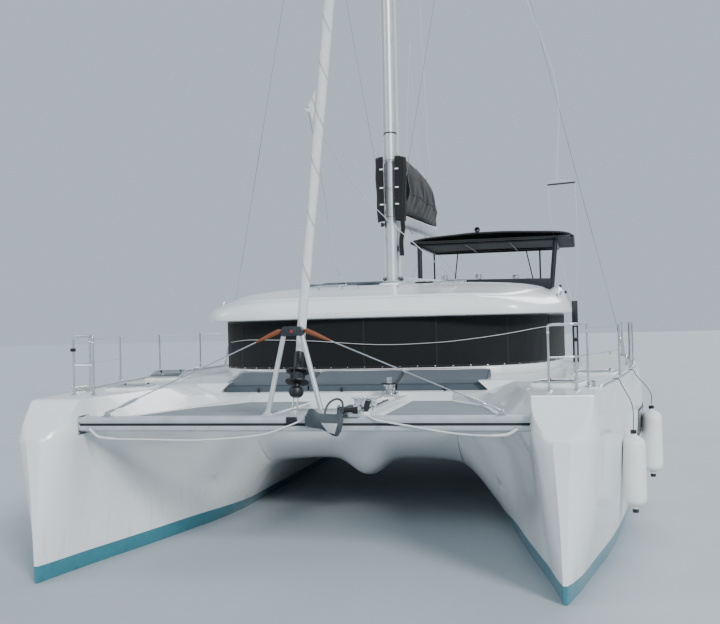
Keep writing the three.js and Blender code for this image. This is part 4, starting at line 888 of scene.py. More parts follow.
# Keels, saildrives, propellers and rudders
def foil_ring(z, front, back, half, x=HULL_AXIS):
    """A wing section in plan: round nose, fine tail."""
    points = []
    for side in (1, -1):
        for k in range(15):
            t = 0.5 - 0.5 * math.cos(math.pi * k / 15)
            t = t if side > 0 else 1 - 0.5 + 0.5 * math.cos(math.pi * k / 15)
            thick = 2.6 * (0.2969 * math.sqrt(t) - 0.126 * t - 0.3516 * t**2 + 0.2843 * t**3 - 0.1015 * t**4)
            points.append(Vector((x + side * half * max(thick, 0.012), mix(front, back, t), z)))
    return points


def make_keel():
    rows = [(-0.44, -0.93, 1.5, 0.152), (-0.52, -0.9, 1.5, 0.15), (-0.7, -0.86, 1.49, 0.146), (-0.95, -0.7, 1.43, 0.134),
            (-1.12, -0.58, 1.38, 0.123), (-1.2, -0.53, 1.35, 0.11), (-1.238, -0.5, 1.33, 0.085), (-1.25, -0.46, 1.3, 0.05)]
    return skin([foil_ring(*row) for row in rows], around=True, caps=True)


def make_drive():
    y, z = 4.42, -0.76
    leg = [(-0.3, 0.3, 0.062), (-0.42, 0.29, 0.06), (-0.55, 0.24, 0.052), (-0.7, 0.22, 0.05), (-0.76, 0.22, 0.05)]
    rows = [foil_ring(height, y - 0.33, y - 0.33 + chord, half) for height, chord, half in leg]
    pod = turned([(0, -0.44), (0.028, -0.42), (0.05, -0.37), (0.066, -0.28), (0.075, -0.16), (0.074, -0.06), (0.07, -0.04),
                  (0, -0.04)], (HULL_AXIS, y, z), (0, 1, 0), 28)
    skeg = skin([foil_ring(height, y - 0.3 + slope, y - 0.1, 0.016) for height, slope in ((-0.8, 0), (-0.9, 0.06))],
                around=True, caps=True)
    plate_over = plate([(HULL_AXIS - 0.085, y - 0.38), (HULL_AXIS + 0.085, y - 0.38), (HULL_AXIS + 0.1, y - 0.05),
                        (HULL_AXIS, y - 0.035), (HULL_AXIS - 0.1, y - 0.05)], (-0.592, -0.584), "z", 0.003)
    return together(skin(rows, around=True, caps=True), pod, skeg, plate_over)


def make_propeller(side):
    y, z = 4.3805, -0.76
    hub = turned([(0, 0), (0.06, 0.0), (0.062, 0.02), (0.062, 0.12), (0.05, 0.15), (0.03, 0.185), (0.012, 0.194), (0, 0.195)],
                 steps=28)
    blades = []
    for k in range(3):
        rows = []
        for share in (0, 0.2, 0.4, 0.6, 0.8, 0.93, 1):
            reach = mix(0.04, 0.224, share)
            width = 0.052 + 0.03 * math.sin(math.pi * min(share * 1.1, 1)) - 0.06 * max(share - 0.8, 0) * 4
            twist = mix(0.95, 0.42, share)
            thick = mix(0.011, 0.004, share)
            row = []
            for n in range(10):
                a = n * math.tau / 10
                along, over = math.cos(a) * max(width, 0.006), math.sin(a) * thick
                row.append(Vector((along * math.cos(twist) - over * math.sin(twist), reach,
                                   0.065 + along * math.sin(twist) + over * math.cos(twist))))
            rows.append(row)
        blades.append(moved(skin(rows, around=True, caps=True), Matrix.Rotation(k * math.tau / 3, 4, "Z")))
    shape = moved(together(hub, *blades), Matrix.Rotation(-math.pi / 2, 4, "X"))
    return shifted(shape, side * HULL_AXIS, y, z)


def make_rudder():
    rows = [(-0.374, 0.0, 0.52), (-0.42, 0.0, 0.52), (-0.6, 0.005, 0.5), (-0.8, 0.012, 0.46), (-1.0, 0.022, 0.41),
            (-1.08, 0.03, 0.37), (-1.112, 0.035, 0.32), (-1.12, 0.045, 0.26)]
    blade = skin([foil_ring(z, 5.45 + shift - 0.28 * chord, 5.45 + shift + 0.72 * chord, 0.04 * chord / 0.52)
                  for z, shift, chord in rows], around=True, caps=True)
    return together(blade, bar((HULL_AXIS, 5.45, -0.41), (HULL_AXIS, 5.45, -0.3505), 0.036, 20))


both_sides("keel_fin", make_keel(), ANTIFOULING, stands_for="keel")
both_sides("drive_leg", make_drive(), GREY_ALLOY, stands_for="saildrive")
piece("port_screw", make_propeller(1), BRONZE, "port_propeller", "port_propeller", 40)
piece("starboard_screw", make_propeller(-1), BRONZE, "starboard_propeller", "starboard_propeller", 40)
rudder_shape = make_rudder()
piece("starboard_rudder_blade", mirrored(rudder_shape), ANTIFOULING, "starboard_rudder", "starboard_rudder")
piece("port_rudder_blade", rudder_shape, ANTIFOULING, "port_rudder", "port_rudder")


# Coachroof: half-breadth, crown height and how square its section is, at each station
ROOF = [
    # y, half, top z, fullness
    (-2.64, 1.0, 2.815, 5), (-2.61, 1.52, 2.9, 5), (-2.56, 1.88, 2.97, 5), (-2.48, 2.15, 3.008, 5),
    (-2.35, 2.3, 3.035, 4.6), (-2.1, 2.46, 3.08, 4), (-1.7, 2.63, 3.15, 3.6), (-1.35, 2.74, 3.2, 3.6),
    (-1.0, 2.795, 3.235, 3.8), (0, 2.805, 3.285, 4.4), (1.2, 2.78, 3.29, 5), (2.5, 2.74, 3.29, 5),
    (4.2, 2.48, 3.24, 4), (4.9, 2.26, 3.16, 3.2),
]
ROOF_BASE, ROOF_EDGE = 2.735, 2.795
HELM_HOLE = ((0.96, 2.33), (1.64, 3.06))
CREASE = 0.145


def roof_z(x, y):
    half = smooth(ROOF, 1, y)
    crown = math.sqrt(max(1 - min(abs(x) / half, 1) ** smooth(ROOF, 3, y), 0))
    return ROOF_EDGE + (smooth(ROOF, 2, y) - ROOF_EDGE) * crown


def roof_outline():
    """The port half of the roof's outline in plan, from the nose to the aft corner."""
    nose = [(0, -2.66), (0.35, -2.658), (0.7, -2.65)]
    side = [(half, y) for y, half, _, _ in ROOF]
    return evenly([Vector((x, y, 0)) for x, y in nose] + curved([(x, y, 0) for x, y in side], 10), 100)


def make_roof():
    port = roof_outline()
    outline = [Vector((-p.x, p.y, 0)) for p in port[:0:-1]] + port
    rows = []
    shares = sorted([(k / 30) ** 1.9 for k in range(31)] + [CREASE + step * 0.004 for step in range(5)])
    for edge in outline:
        spine_y = -1.2 + (edge.y + 2.66) * (6.1 / 7.56)
        inward = (Vector((0, spine_y, 0)) - edge).normalized()
        skirt = [(0.5, ROOF_BASE), (0.028, ROOF_BASE), (0.008, ROOF_BASE + 0.004), (0.0, ROOF_BASE + 0.018),
                 (0.0, ROOF_BASE + 0.04)]
        row = [Vector(((edge + inward * inset).x, (edge + inward * inset).y, z)) for inset, z in skirt]
        row = [Vector((0, spine_y, ROOF_BASE))] + row
        for share in shares:
            x, y = mix(edge.x, 0, share), mix(edge.y, spine_y, share)
            visor = 0.014 * blend_in(share, CREASE, CREASE + 0.012) * (1 - blend_in(share, CREASE + 0.02, CREASE + 0.3))
            row.append(Vector((x, y, roof_z(x, min(max(y, -2.639), 4.9)) + visor * (1 - blend_in(edge.y, -0.5, 0.8)))))
        rows.append(row)
    shape = skin(rows)
    bmesh.ops.remove_doubles(shape, verts=shape.verts, dist=0.002)
    rims = [e for e in shape.edges if e.is_boundary]
    bmesh.ops.holes_fill(shape, edges=rims, sides=0)
    for value, normal in ((HELM_HOLE[0][0], (1, 0, 0)), (HELM_HOLE[0][1], (1, 0, 0)),
                          (HELM_HOLE[1][0], (0, 1, 0)), (HELM_HOLE[1][1], (0, 1, 0))):
        spot = Vector(normal) * value
        bmesh.ops.bisect_plane(shape, geom=shape.verts[:] + shape.edges[:] + shape.faces[:], plane_co=spot,
                               plane_no=normal, dist=1e-4)
    hole = [f for f in shape.faces if all(low < f.calc_center_median()[axis] < high
                                          for axis, (low, high) in enumerate(HELM_HOLE))]
    bmesh.ops.delete(shape, geom=hole, context="FACES")
    rims = [e for e in shape.edges if e.is_boundary]
    bmesh.ops.bridge_loops(shape, edges=rims)
    bmesh.ops.triangulate(shape, faces=[f for f in shape.faces if len(f.verts) > 4])
    bmesh.ops.recalc_face_normals(shape, faces=shape.faces)
    return shape


def make_coaming():
    """The coaming along the port side of the helm."""
    section = [(2.345, 2.9), (2.345, 3.06), (2.43, 3.15), (2.52, 3.2), (2.585, 3.212), (2.65, 3.165), (2.705, 3.03),
               (2.728, 2.86)]
    runs = [(0.35, 0.35), (0.55, 0.7), (0.75, 0.93), (1.1, 1), (1.9, 1), (2.7, 1), (3.3, 0.8), (3.7, 0.3)]
    rows = []
    for y, rise in runs:
        line = rounded([((x, y, 2.86 + (z - 2.86) * rise), 0.05) for x, z in section], 4)
        rows.append(evenly(line, 30))
    columns = [curved([row[k] for row in rows], 5) for k in range(30)]
    return skin([[column[n] for column in columns] for n in range(len(columns[0]))], around=False)


def make_roof_legs():
    legs = []
    for side in (1, -1):
        line = curved([(side * 2.12, 4.6, 2.86), (side * 2.16, 4.56, 2.5), (side * 2.24, 4.5, 2.1), (side * 2.3, 4.47, 1.88)], 6)
        legs.append(tube(line, [mix(0.1, 0.085, blend_in(k, 0, 12)) for k in range(len(line))], 18, flat=0.55))
    return together(*legs)


roof_shape = together(make_roof(), make_coaming(), make_roof_legs())
piece("coachroof_shell", roof_shape, GELCOAT, stands_for="coachroof", crease=38)
mast_pad = turned([(0.0, 3.2), (0.235, 3.2), (0.24, 3.262), (0.225, 3.288), (0.19, 3.2997), (0, 3.2997)],
                  (0, MAST_Y, 0), steps=40)
rear_pads = [block((x - 0.05, x + 0.05), (y - 0.05, y + 0.05), (roof_z(x, y) - 0.02, 3.31), 0.008)
             for x, y in ((0.19, 2.9), (2.205, 3.14))]
piece("mast_pad", together(mast_pad, *rear_pads), GELCOAT)

# Saloon: the half outline in plan from the aft port corner to the nose
SALOON_PLAN = [(2.64, 1.56), (2.66, 0.7), (2.65, 0.0), (2.615, -0.5), (2.56, -0.9), (2.49, -1.23), (2.365, -1.6),
               (2.18, -1.93), (1.87, -2.2), (1.48, -2.37), (1.02, -2.48), (0.52, -2.54), (0, -2.56)]
COVER_AFT = -1.3


def saloon_outline(out, aft, count=150, ahead=-9.0):
    """The whole outline from the port side round the nose to starboard, moved outward."""
    half = curved([(x, y, 0) for x, y in SALOON_PLAN] + [(-0.52, -2.54, 0)], 12)
    half = half[:12 * (len(SALOON_PLAN) - 1) + 1]
    line = []
    for k, point in enumerate(half):
        a, b = half[max(k - 1, 0)], half[k + 1] if k + 1 < len(half) else Vector((-half[k - 1].x, half[k - 1].y, 0))
        way = (b - a).normalized()
        line.append(point - Vector((way.y, -way.x, 0)) * out)
    line[-1].x = 0
    first = next(k for k, point in enumerate(line) if point.y < aft)
    if first:
        share = (aft - line[first - 1].y) / (line[first].y - line[first - 1].y)
        line = [line[first - 1].lerp(line[first], share)] + line[first:]
    line = evenly(line, count)
    return line + [Vector((-p.x, p.y, 0)) for p in line[-2::-1]]


def wall_band(out, aft, heights, count=150):
    plan = saloon_outline(out, aft, count)
    return skin([[Vector((p.x, p.y, z)) for p in plan] for z in heights])


def cut_window(shape, keep, limits, front):
    """Cuts a rounded window out of a band, or keeps only the pane that fills it."""
    for value, axis in limits:
        normal = Vector([1.0 if n == axis else 0.0 for n in range(3)])
        bmesh.ops.bisect_plane(shape, geom=shape.verts[:] + shape.edges[:] + shape.faces[:], plane_co=normal * value,
                               plane_no=normal, dist=1e-5)
    inside = [f for f in shape.faces if front(f.calc_center_median()) != keep]
    bmesh.ops.delete(shape, geom=inside, context="FACES")
    return shape


FRONT_HALF, FRONT_Z = 1.85, (2.06, 2.68)
SIDE_Y, SIDE_Z = (-1.2, 1.38), (2.07, 2.69)


def in_front(spot):
    return abs(spot.x) < FRONT_HALF and spot.y < -2.0 and FRONT_Z[0] < spot.z < FRONT_Z[1]


def in_side(spot):
    return abs(spot.x) > 2.3 and SIDE_Y[0] < spot.y < SIDE_Y[1] and SIDE_Z[0] < spot.z < SIDE_Z[1]


LIMITS = [(-FRONT_HALF, 0), (FRONT_HALF, 0), (SIDE_Y[0], 1), (SIDE_Y[1], 1), (FRONT_Z[0], 2), (FRONT_Z[1], 2),
          (SIDE_Z[0], 2), (SIDE_Z[1], 2)]
wall = cut_window(wall_band(0, 1.56, (1.9003, 2.3, 2.7347)), False, LIMITS, lambda s: in_front(s) or in_side(s))
wall_piece = piece("saloon_walls", wall, GELCOAT, stands_for="saloon_wall", crease=60)
add_modifier(wall_piece, "SOLIDIFY", thickness=0.05, offset=-1.0)

front_pane = cut_window(wall_band(-0.012, 1.56, (1.95, 2.3, 2.72)), True, LIMITS, in_front)
front_pane = piece("windscreen_pane", front_pane, DARK_GLASS, stands_for="windscreen", crease=60)
add_modifier(front_pane, "SOLIDIFY", thickness=0.012, offset=-1.0)


def make_side_glass(side):
    """A flush dark pane that overlaps its opening, with rounded corners."""
    plan = [p for p in saloon_outline(0.004, 1.56, 400) if p.x * side > 0]
    low, high = SIDE_Z[0] - 0.02, SIDE_Z[1] + 0.022
    start, end = COVER_AFT - 0.08, SIDE_Y[1] + 0.05
    plan = sorted((p for p in plan if start < p.y < end), key=lambda p: p.y)
    rows = []
    for p in plan:
        near_end = min(p.y - start, end - p.y)
        round_off = 0.06 - math.sqrt(max(0.0036 - max(0.06 - near_end, 0) ** 2, 0))
        rows.append([Vector((p.x, p.y, z)) for z in (low + round_off, mix(low, high, 0.35), mix(low, high, 0.7),
                                                     high - round_off)])
    shape = skin(rows)
    if side > 0:
        bmesh.ops.reverse_faces(shape, faces=shape.faces)
    facing = sum((f.normal.x for f in shape.faces)) * side
    if facing < 0:
        bmesh.ops.reverse_faces(shape, faces=shape.faces)
    return shape


for label, side in (("port", 1), ("starboard", -1)):
    glass = piece(f"{label}_side_glass", make_side_glass(side), DARK_GLASS, stands_for=f"{label}_side_window", crease=60)
    add_modifier(glass, "SOLIDIFY", thickness=0.014, offset=-1.0)


# The cover over the windscreen: one cloth with a hem, seams and a row of snaps
def cover_spots(out, aft=COVER_AFT):
    return saloon_outline(out, aft, 240)


def make_cover():
    plan = cover_spots(0.006)
    low, high = 2.03, 2.726
    rows = []
    for level in range(19):
        share = level / 18
        z = mix(low, high, share)
        row = []
        for k, p in enumerate(plan):
            scallop = 0.004 * abs(math.sin(k * math.pi / 19.9)) * (1 - share) ** 6
            wrinkle = 0.0016 * math.sin(k * 0.31 + share * 5) * math.sin(share * math.pi)
            tight = -0.0022 * math.sin(math.pi * share)
            out = Vector((p.x, p.y + 1.2, 0)).normalized() * (wrinkle + tight)
            row.append(Vector((p.x + out.x, p.y + out.y, z + scallop)))
        rows.append(row)
    return skin(rows)


cover = piece("windscreen_cloth", make_cover(), COVER_MESH, stands_for="windscreen_cover", crease=80)
add_modifier(cover, "SOLIDIFY", thickness=0.002, offset=1.0)
cover_line = cover_spots(0.0088)


def hem_line(z, out=0.0088):
    return [Vector((p.x, p.y, z)) for p in cover_spots(out)]


def strip(line, width, thick, lift=Vector((0, 0, 1))):
    """A flat sewn strip whose width runs along lift."""
    rows = []
    for k, spot in enumerate(line):
        a, b = line[max(k - 1, 0)], line[min(k + 1, len(line) - 1)]
        out = (b - a).normalized().cross(lift).normalized()
        rows.append([spot + lift * s * width / 2 + out * t * thick / 2
                     for s, t in ((-1, -0.4), (-0.9, 1), (0.9, 1), (1, -0.4), (0.9, -1), (-0.9, -1))])
    return skin(rows, around=True, caps=True)


hems = [strip(hem_line(2.046), 0.03, 0.0022), strip(hem_line(2.714), 0.022, 0.0022)]
for place in (0.17, 0.335, 0.5, 0.665, 0.83):
    p = cover_line[int(place * (len(cover_line) - 1))]
    way = Vector((p.x * 0.25, -1, 0)).normalized()
    seam = [Vector((p.x, p.y, z)) + way * 0.0012 for z in (2.04, 2.2, 2.4, 2.6, 2.72)]
    side_way = way.cross(Vector((0, 0, 1)))
    hems.append(strip(seam, 0.022, 0.002, side_way))
for side in (1, -1):
    plan = sorted((p for p in saloon_outline(0.006, 1.56, 500) if p.x * side > 0 and COVER_AFT + 0.006 < p.y < 1.45),
                  key=lambda p: p.y)[::3]
    rows = []
    for level in range(11):
        share = level / 10
        tight = -0.002 * math.sin(math.pi * share)
        rows.append([Vector((p.x + side * (tight + 0.0014 * math.sin(n * 0.7 + share * 4)), p.y, mix(2.03, 2.72, share)))
                     for n, p in enumerate(plan)])
    label = "port" if side > 0 else "starboard"
    screen = skin(rows)
    if screen.faces[0].normal.x * side < 0:
        bmesh.ops.reverse_faces(screen, faces=screen.faces)
    side_cover = piece(f"{label}_side_cover", screen, COVER_MESH, crease=80)
    add_modifier(side_cover, "SOLIDIFY", thickness=0.002, offset=1.0)
    edge = [Vector((p.x + side * 0.003, p.y, 2.046)) for p in plan]
    hems += [strip(edge, 0.03, 0.0022), strip([Vector((p.x, p.y, 2.706)) for p in edge], 0.022, 0.0022)]
    for end in (edge[0], edge[-1]):
        hems.append(strip([Vector((end.x, end.y, z)) for z in (2.035, 2.25, 2.5, 2.715)], 0.028, 0.002, Vector((0, 1, 0))))
piece("cover_hems", together(*hems), WEBBING, crease=40)
snaps = []
for k in range(25):
    index = int((k + 0.5) / 25 * (len(cover_line) - 1))
    p, q = cover_line[index], cover_line[min(index + 1, len(cover_line) - 1)]
    out = (q - p).normalized().cross(Vector((0, 0, 1))).normalized()
    out = out if out.dot(Vector((p.x, p.y + 1.2, 0))) > 0 else -out
    start = Vector((p.x, p.y, 2.044)) + out * 0.0006
    snaps.append(turned([(0, 0.0075), (0.004, 0.0074), (0.0085, 0.0058), (0.0095, 0.003), (0.0095, 0), (0, 0)], start, out, 12))
for side in (1, -1):
    for k in range(10):
        spots = [p for p in saloon_outline(0.009, 1.56, 500) if p.x * side > 0]
        spot = min(spots, key=lambda p: abs(p.y - mix(-1.22, 1.36, k / 9)))
        snaps.append(turned([(0, 0.0075), (0.004, 0.0074), (0.0085, 0.0058), (0.0095, 0.003), (0.0095, 0), (0, 0)],
                            (spot.x + side * 0.001, spot.y, 2.044), (side, 0, 0), 12))
piece("cover_snaps", together(*snaps), STAINLESS, crease=50)
band_rope = []
for x, z in ((-2.16, 2.42), (-1.95, 2.445), (-1.7, 2.455), (-0.83, 2.43), (0.23, 2.355), (1.06, 2.37), (1.5, 2.41), (1.83, 2.45),
             (2.0, 2.475), (2.12, 2.495), (2.22, 2.512), (2.31, 2.526), (2.38, 2.536), (2.46, 2.547)):
    near = min(cover_line, key=lambda p: abs(p.x - x) + (5 if p.y > -1.3 else 0))
    band_rope.append(near + (near - Vector((0, -1.2, near.z))).normalized() * 0.016 + Vector((0, 0, z)))
band_rope = curved(band_rope, 10)
rope = piece("window_line", ropes([band_rope], 0.004, 6), WHITE_ROPE, crease=80)


# Crossbeam: an alloy tube with a groove in front, end plates and the tang of the forestay
def beam_section():
    front, back = BEAM_Y - 0.1, BEAM_Y + 0.1
    corners = [(front, 1.64, 0.004), (front, BEAM_TOP, 0.045), (back, BEAM_TOP, 0.045), (back, BEAM_BOTTOM, 0.05),
               (front, BEAM_BOTTOM, 0.05), (front, 1.612, 0.004), (front + 0.014, 1.612, 0.002),
               (front + 0.014, 1.64, 0.002), (front, 1.64, 0.004)]
    return rounded([((0, y, z), size) for y, z, size in corners], 5)[1:-1]


beam_shape = skin([[Vector((x, p.y, p.z)) for p in beam_section()] for x in (2.434, -2.434)], around=True, caps=True)
tang = plate([(-0.03, 1.69), (0.03, 1.69), (0.03, 1.75), (0.018, 1.765), (-0.018, 1.765), (-0.03, 1.75)],
             (BEAM_Y - 0.055, BEAM_Y + 0.055), "y", 0.004)
piece("beam_tube", together(beam_shape, tang), MAST_ALLOY, stands_for="crossbeam", crease=30)
beam_ends = []
for side in (1, -1):
    x = sorted((side * 2.4455, side * 2.432))
    beam_ends.append(block(x, (BEAM_Y - 0.12, BEAM_Y + 0.12), (1.516, 1.724), 0.004))
    for y in (-0.105, 0.105):
        for z in (1.535, 1.62, 1.705):
            beam_ends.append(turned([(0, 0.006), (0.006, 0.006), (0.01, 0.003), (0.011, 0), (0.011, -0.002)],
                                    (side * 2.432, BEAM_Y + y, z), (-side, 0, 0), 8))
rivets = [turned([(0, 0.0022), (0.003, 0.002), (0.0048, 0)], (x, BEAM_Y - 0.0995, z), (0, -1, 0), 8)
          for x in [k * 0.24 - 2.28 for k in range(20)] for z in (1.598,)]
sleeve = [block((x - 0.0015, x + 0.0015), (BEAM_Y - 0.101, BEAM_Y - 0.09), (1.59, 1.612)) for x in (0.92, -0.92)]
piece("beam_end_plates", together(*beam_ends, *rivets), STAINLESS, crease=40)
fairlead = together(block((-0.06, 0.056), (BEAM_Y - 0.122, BEAM_Y - 0.099), (1.632, 1.706), 0.006),
                    block((0.27, 0.34), (BEAM_Y - 0.112, BEAM_Y - 0.099), (1.655, 1.7), 0.005), *sleeve)
piece("beam_fairleads", fairlead, BLACK_PLASTIC)
groove = block((-2.43, 2.43), (BEAM_Y - 0.0885, BEAM_Y - 0.08), (1.613, 1.639))
piece("beam_groove_insert", groove, BLACK_RUBBER)
eye_rings = together(*[ring((x, BEAM_Y - 0.115, 1.60), (0.2, 0, 1), 0.02, 0.005, 16, 6) for x in (-2.3, 0.15, 0.92, 2.31)])
piece("beam_eyes", eye_rings, STAINLESS)

# Striker: two legs, a cast head, and stays to the ends of the crossbeam
legs = [tube([(side * 0.3, BEAM_Y, BEAM_TOP + 0.001), (side * 0.29, BEAM_Y, 1.75), (side * 0.1, BEAM_Y, 2.55),
              (side * 0.09, BEAM_Y, 2.588)], [0.03, 0.027, 0.026, 0.026], 20) for side in (1, -1)]
feet = []
for side in (1, -1):
    feet.append(block((side * 0.3 - 0.058, side * 0.3 + 0.058), (BEAM_Y - 0.062, BEAM_Y + 0.062),
                      (BEAM_TOP, BEAM_TOP + 0.012), 0.004))
    feet.append(turned([(0.05, 0), (0.05, 0.012), (0.032, 0.03), (0.03, 0.05)], (side * 0.3, BEAM_Y, BEAM_TOP + 0.01),
                       (-side * 0.24, 0, 1), 20))
    for dx, dy in ((0.042, 0.045), (-0.042, 0.045), (0.042, -0.045), (-0.042, -0.045)):
        feet.append(turned([(0, 0.009), (0.007, 0.009), (0.009, 0.006), (0.009, 0)],
                           (side * 0.3 + dx, BEAM_Y + dy, BEAM_TOP + 0.011), (0, 0, 1), 6))
piece("striker_legs", together(*legs, *feet), MAST_ALLOY, stands_for="striker_frame")
head = plate([(-0.122, 2.548), (-0.1, 2.542), (0.1, 2.542), (0.122, 2.548), (0.125, 2.60), (0.092, 2.642),
              (-0.092, 2.642), (-0.125, 2.60)], (BEAM_Y - 0.042, BEAM_Y + 0.042), "y", 0.01, 3)
rib = plate([(-0.055, 2.56), (0.055, 2.56), (0.04, 2.628), (-0.04, 2.628)], (BEAM_Y - 0.05, BEAM_Y - 0.04), "y", 0.004)
pins = [bar((x, BEAM_Y - 0.05, 2.6), (x, BEAM_Y + 0.05, 2.6), 0.012, 12) for x in (-0.092, 0.092)]
piece("striker_head", together(head, rib, *pins), GREY_ALLOY)
piece("striker_badge", block((-0.012, 0.012), (BEAM_Y - 0.052, BEAM_Y - 0.049), (2.575, 2.605), 0.002), RED_PLASTIC)


def make_beam_stay():
    start, end = Vector((0.121, BEAM_Y, 2.605)), Vector((2.15, BEAM_Y, 1.745))
    way = (end - start).normalized()
    at = lambda x: start.lerp(end, (x - start.x) / (end.x - start.x))
    wire = tube([at(0.1215), at(1.8)], 0.0065, 10)
    screw = turned([(0.0065, -0.03), (0.012, -0.02), (0.012, 0.0), (0.0175, 0.01), (0.019, 0.03), (0.019, 0.185),
                    (0.0175, 0.205), (0.012, 0.212), (0.0085, 0.214), (0.0085, 0.27)], at(1.8), way, 16)
    fork = together(*[plate([(-0.012, -0.03), (0.012, -0.03), (0.014, 0.05), (-0.014, 0.05)], (y, y + 0.006), "y", 0.002)
                      for y in (-0.018, 0.012)])
    moved(fork, Matrix.Translation(at(2.09)) @ Matrix.Rotation(math.atan2(way.x, way.z), 4, "Y"))
    foot = plate([(2.11, BEAM_TOP), (2.19, BEAM_TOP), (2.19, 1.72), (2.165, 1.762), (2.14, 1.762), (2.115, 1.73)],
                 (BEAM_Y - 0.01, BEAM_Y + 0.01), "y", 0.003)
    base = block((2.09, 2.21), (BEAM_Y - 0.03, BEAM_Y + 0.03), (BEAM_TOP, BEAM_TOP + 0.008), 0.002)
    pin = bar((2.145, BEAM_Y - 0.026, 1.745), (2.145, BEAM_Y + 0.026, 1.745), 0.008, 12)
    sleeve = turned([(0.008, -0.01), (0.018, 0.0), (0.027, 0.02), (0.024, 0.12), (0.017, 0.22), (0.011, 0.29),
                     (0.007, 0.295)], at(0.135), way, 16)
    return together(wire, screw, fork, foot, base, pin), sleeve


stay_metal, stay_leather = make_beam_stay()
both_sides("beam_stay_wire", stay_metal, STAINLESS, stands_for="beam_stay")
both_sides("beam_stay_cover", stay_leather, TAN_LEATHER)

# Longeron with the bow roller, the anchor and its windlass
lx0, lx1 = LONGERON_X
channel = [(lx0, 1.59, 0.03), (lx0, 1.735, 0.02), (lx0 + 0.09, 1.735, 0.008), (lx0 + 0.095, 1.692, 0.01),
           (lx1 - 0.095, 1.692, 0.01), (lx1 - 0.09, 1.735, 0.008), (lx1, 1.735, 0.02), (lx1, 1.59, 0.03), (lx0, 1.59, 0.03)]
section = [Vector((p.x, 0, p.z)) for p in rounded([((x, 0, z), size) for x, z, size in channel], 4)[1:-1]]
trough = skin([[Vector((p.x, y, p.z)) for p in section] for y in (-5.7695, -3.4505)], around=True, caps=True)
deck_pads = [block((lx0 + 0.02, lx1 - 0.02), y, (1.70, 1.7345), 0.006) for y in ((-5.765, -5.52), (-3.93, -3.46))]
piece("longeron_beam", together(trough, *deck_pads), GELCOAT, stands_for="longeron", crease=30)
cheek = [(-6.02, 1.72), (-6.015, 1.795), (-5.99, 1.822), (-5.9, 1.824), (-5.82, 1.79), (-5.72, 1.782), (-5.69, 1.765),
         (-5.685, 1.72)]
cheeks = [plate(cheek, (x, x + 0.006), "x", 0.002) for x in (0.492, 0.712)]
tongue = block((0.49, 0.72), (-6.0, -5.575), (1.7055, 1.7395), 0.006)
axles = [bar((0.485, y, z), (0.725, y, z), 0.01, 12) for y, z in ((-5.965, 1.77), (-5.78, 1.757))]
guard = [bent([(0.7, -5.9, 1.8), (0.735, -5.84, 1.885), (0.785, -5.72, 1.86), (0.775, -5.6, 1.737)], 0.009, 0.04, 8)]
piece("bow_roller_frame", together(*cheeks, tongue, *axles, *guard), STAINLESS)
rollers = [turned([(0.012, -0.1), (0.036, -0.098), (0.034, -0.06), (0.024, -0.02), (0.024, 0.02), (0.034, 0.06),
                   (0.036, 0.098), (0.012, 0.1)], (0.606, -5.965, 1.772), (1, 0, 0), 20),
           turned([(0.01, -0.06), (0.03, -0.058), (0.03, 0.058), (0.01, 0.06)], (0.74, -5.72, 1.79), (0.3, 0, 1), 20)]
piece("bow_rollers", together(*rollers), BLACK_RUBBER)


def make_anchor():
    shank = plate([(-6.1, 1.742), (-5.56, 1.742), (-5.54, 1.76), (-5.545, 1.79), (-5.6, 1.799), (-6.05, 1.801),
                   (-6.118, 1.785), (-6.13, 1.70), (-6.128, 1.575), (-6.085, 1.56), (-6.062, 1.6), (-6.066, 1.71)],
                  (0.527, 0.553), "x", 0.005)
    rows = []
    edge_low = [(0.18, 1.725), (0.194, 1.63), (0.364, 1.592), (0.508, 1.52), (0.56, 1.58), (0.587, 1.685)]
    edge_high = [(0.19, 1.735), (0.247, 1.808), (0.338, 1.757), (0.44, 1.75), (0.521, 1.752), (0.573, 1.79)]
    for t in [k / 20 for k in range(21)]:
        low = curved([(x, 0, z) for x, z in edge_low], 4)
        high = curved([(x, 0, z) for x, z in edge_high], 4)
        a, b = low[round(t * (len(low) - 1))], high[round(t * (len(high) - 1))]
        row = []
        for s in [k / 8 for k in range(9)]:
            dish = 0.022 * math.sin(math.pi * s) * math.sin(math.pi * t)
            row.append(Vector((mix(a.x, b.x, s), -6.118 - dish, mix(a.z, b.z, s))))
        rows.append(row)
    blade = skin(rows)
    bmesh.ops.solidify(blade, geom=blade.faces[:], thickness=0.012)
    spine = tube([(0.25, -6.122, 1.69), (0.4, -6.135, 1.66), (0.54, -6.12, 1.62)], [0.006, 0.014, 0.016], 10)
    hoop = tube(curved([(0.375, -6.1, 1.70), (0.4, -6.02, 1.83), (0.47, -5.95, 1.885), (0.545, -5.99, 1.86),
                        (0.57, -6.09, 1.76)], 6), 0.011, 10)
    return together(shank, blade, spine, hoop)


piece("anchor_casting", make_anchor(), GALVANISED, stands_for="anchor", crease=40)
tip = plate([(0.358, 1.662), (0.53, 1.655), (0.5, 1.55), (0.43, 1.565)], (-6.148, -6.141), "y", 0.002)
piece("anchor_tip", tip, BRIGHT_ZINC)
links = []
for k in range(44):
    y = -5.53 + k * 0.042
    z = 1.702 if y > -5.5 else 1.715
    link = tube([(math.cos(a) * 0.014, 0.026 * math.sin(a), 0) for a in [n * math.tau / 10 for n in range(11)]],
                0.0048, 6, False)
    links.append(moved(link, Matrix.Translation((0.6 + 0.004 * math.sin(k * 1.7), y, z))
                       @ Matrix.Rotation(math.pi / 2 * (k % 2), 4, "Y")))
piece("anchor_chain", together(*links), GALVANISED, crease=80)
windlass_base = plate([(0.485, -3.845), (0.665, -3.845), (0.665, -3.565), (0.485, -3.565)], (1.7353, 1.772), "z", 0.012, 3)
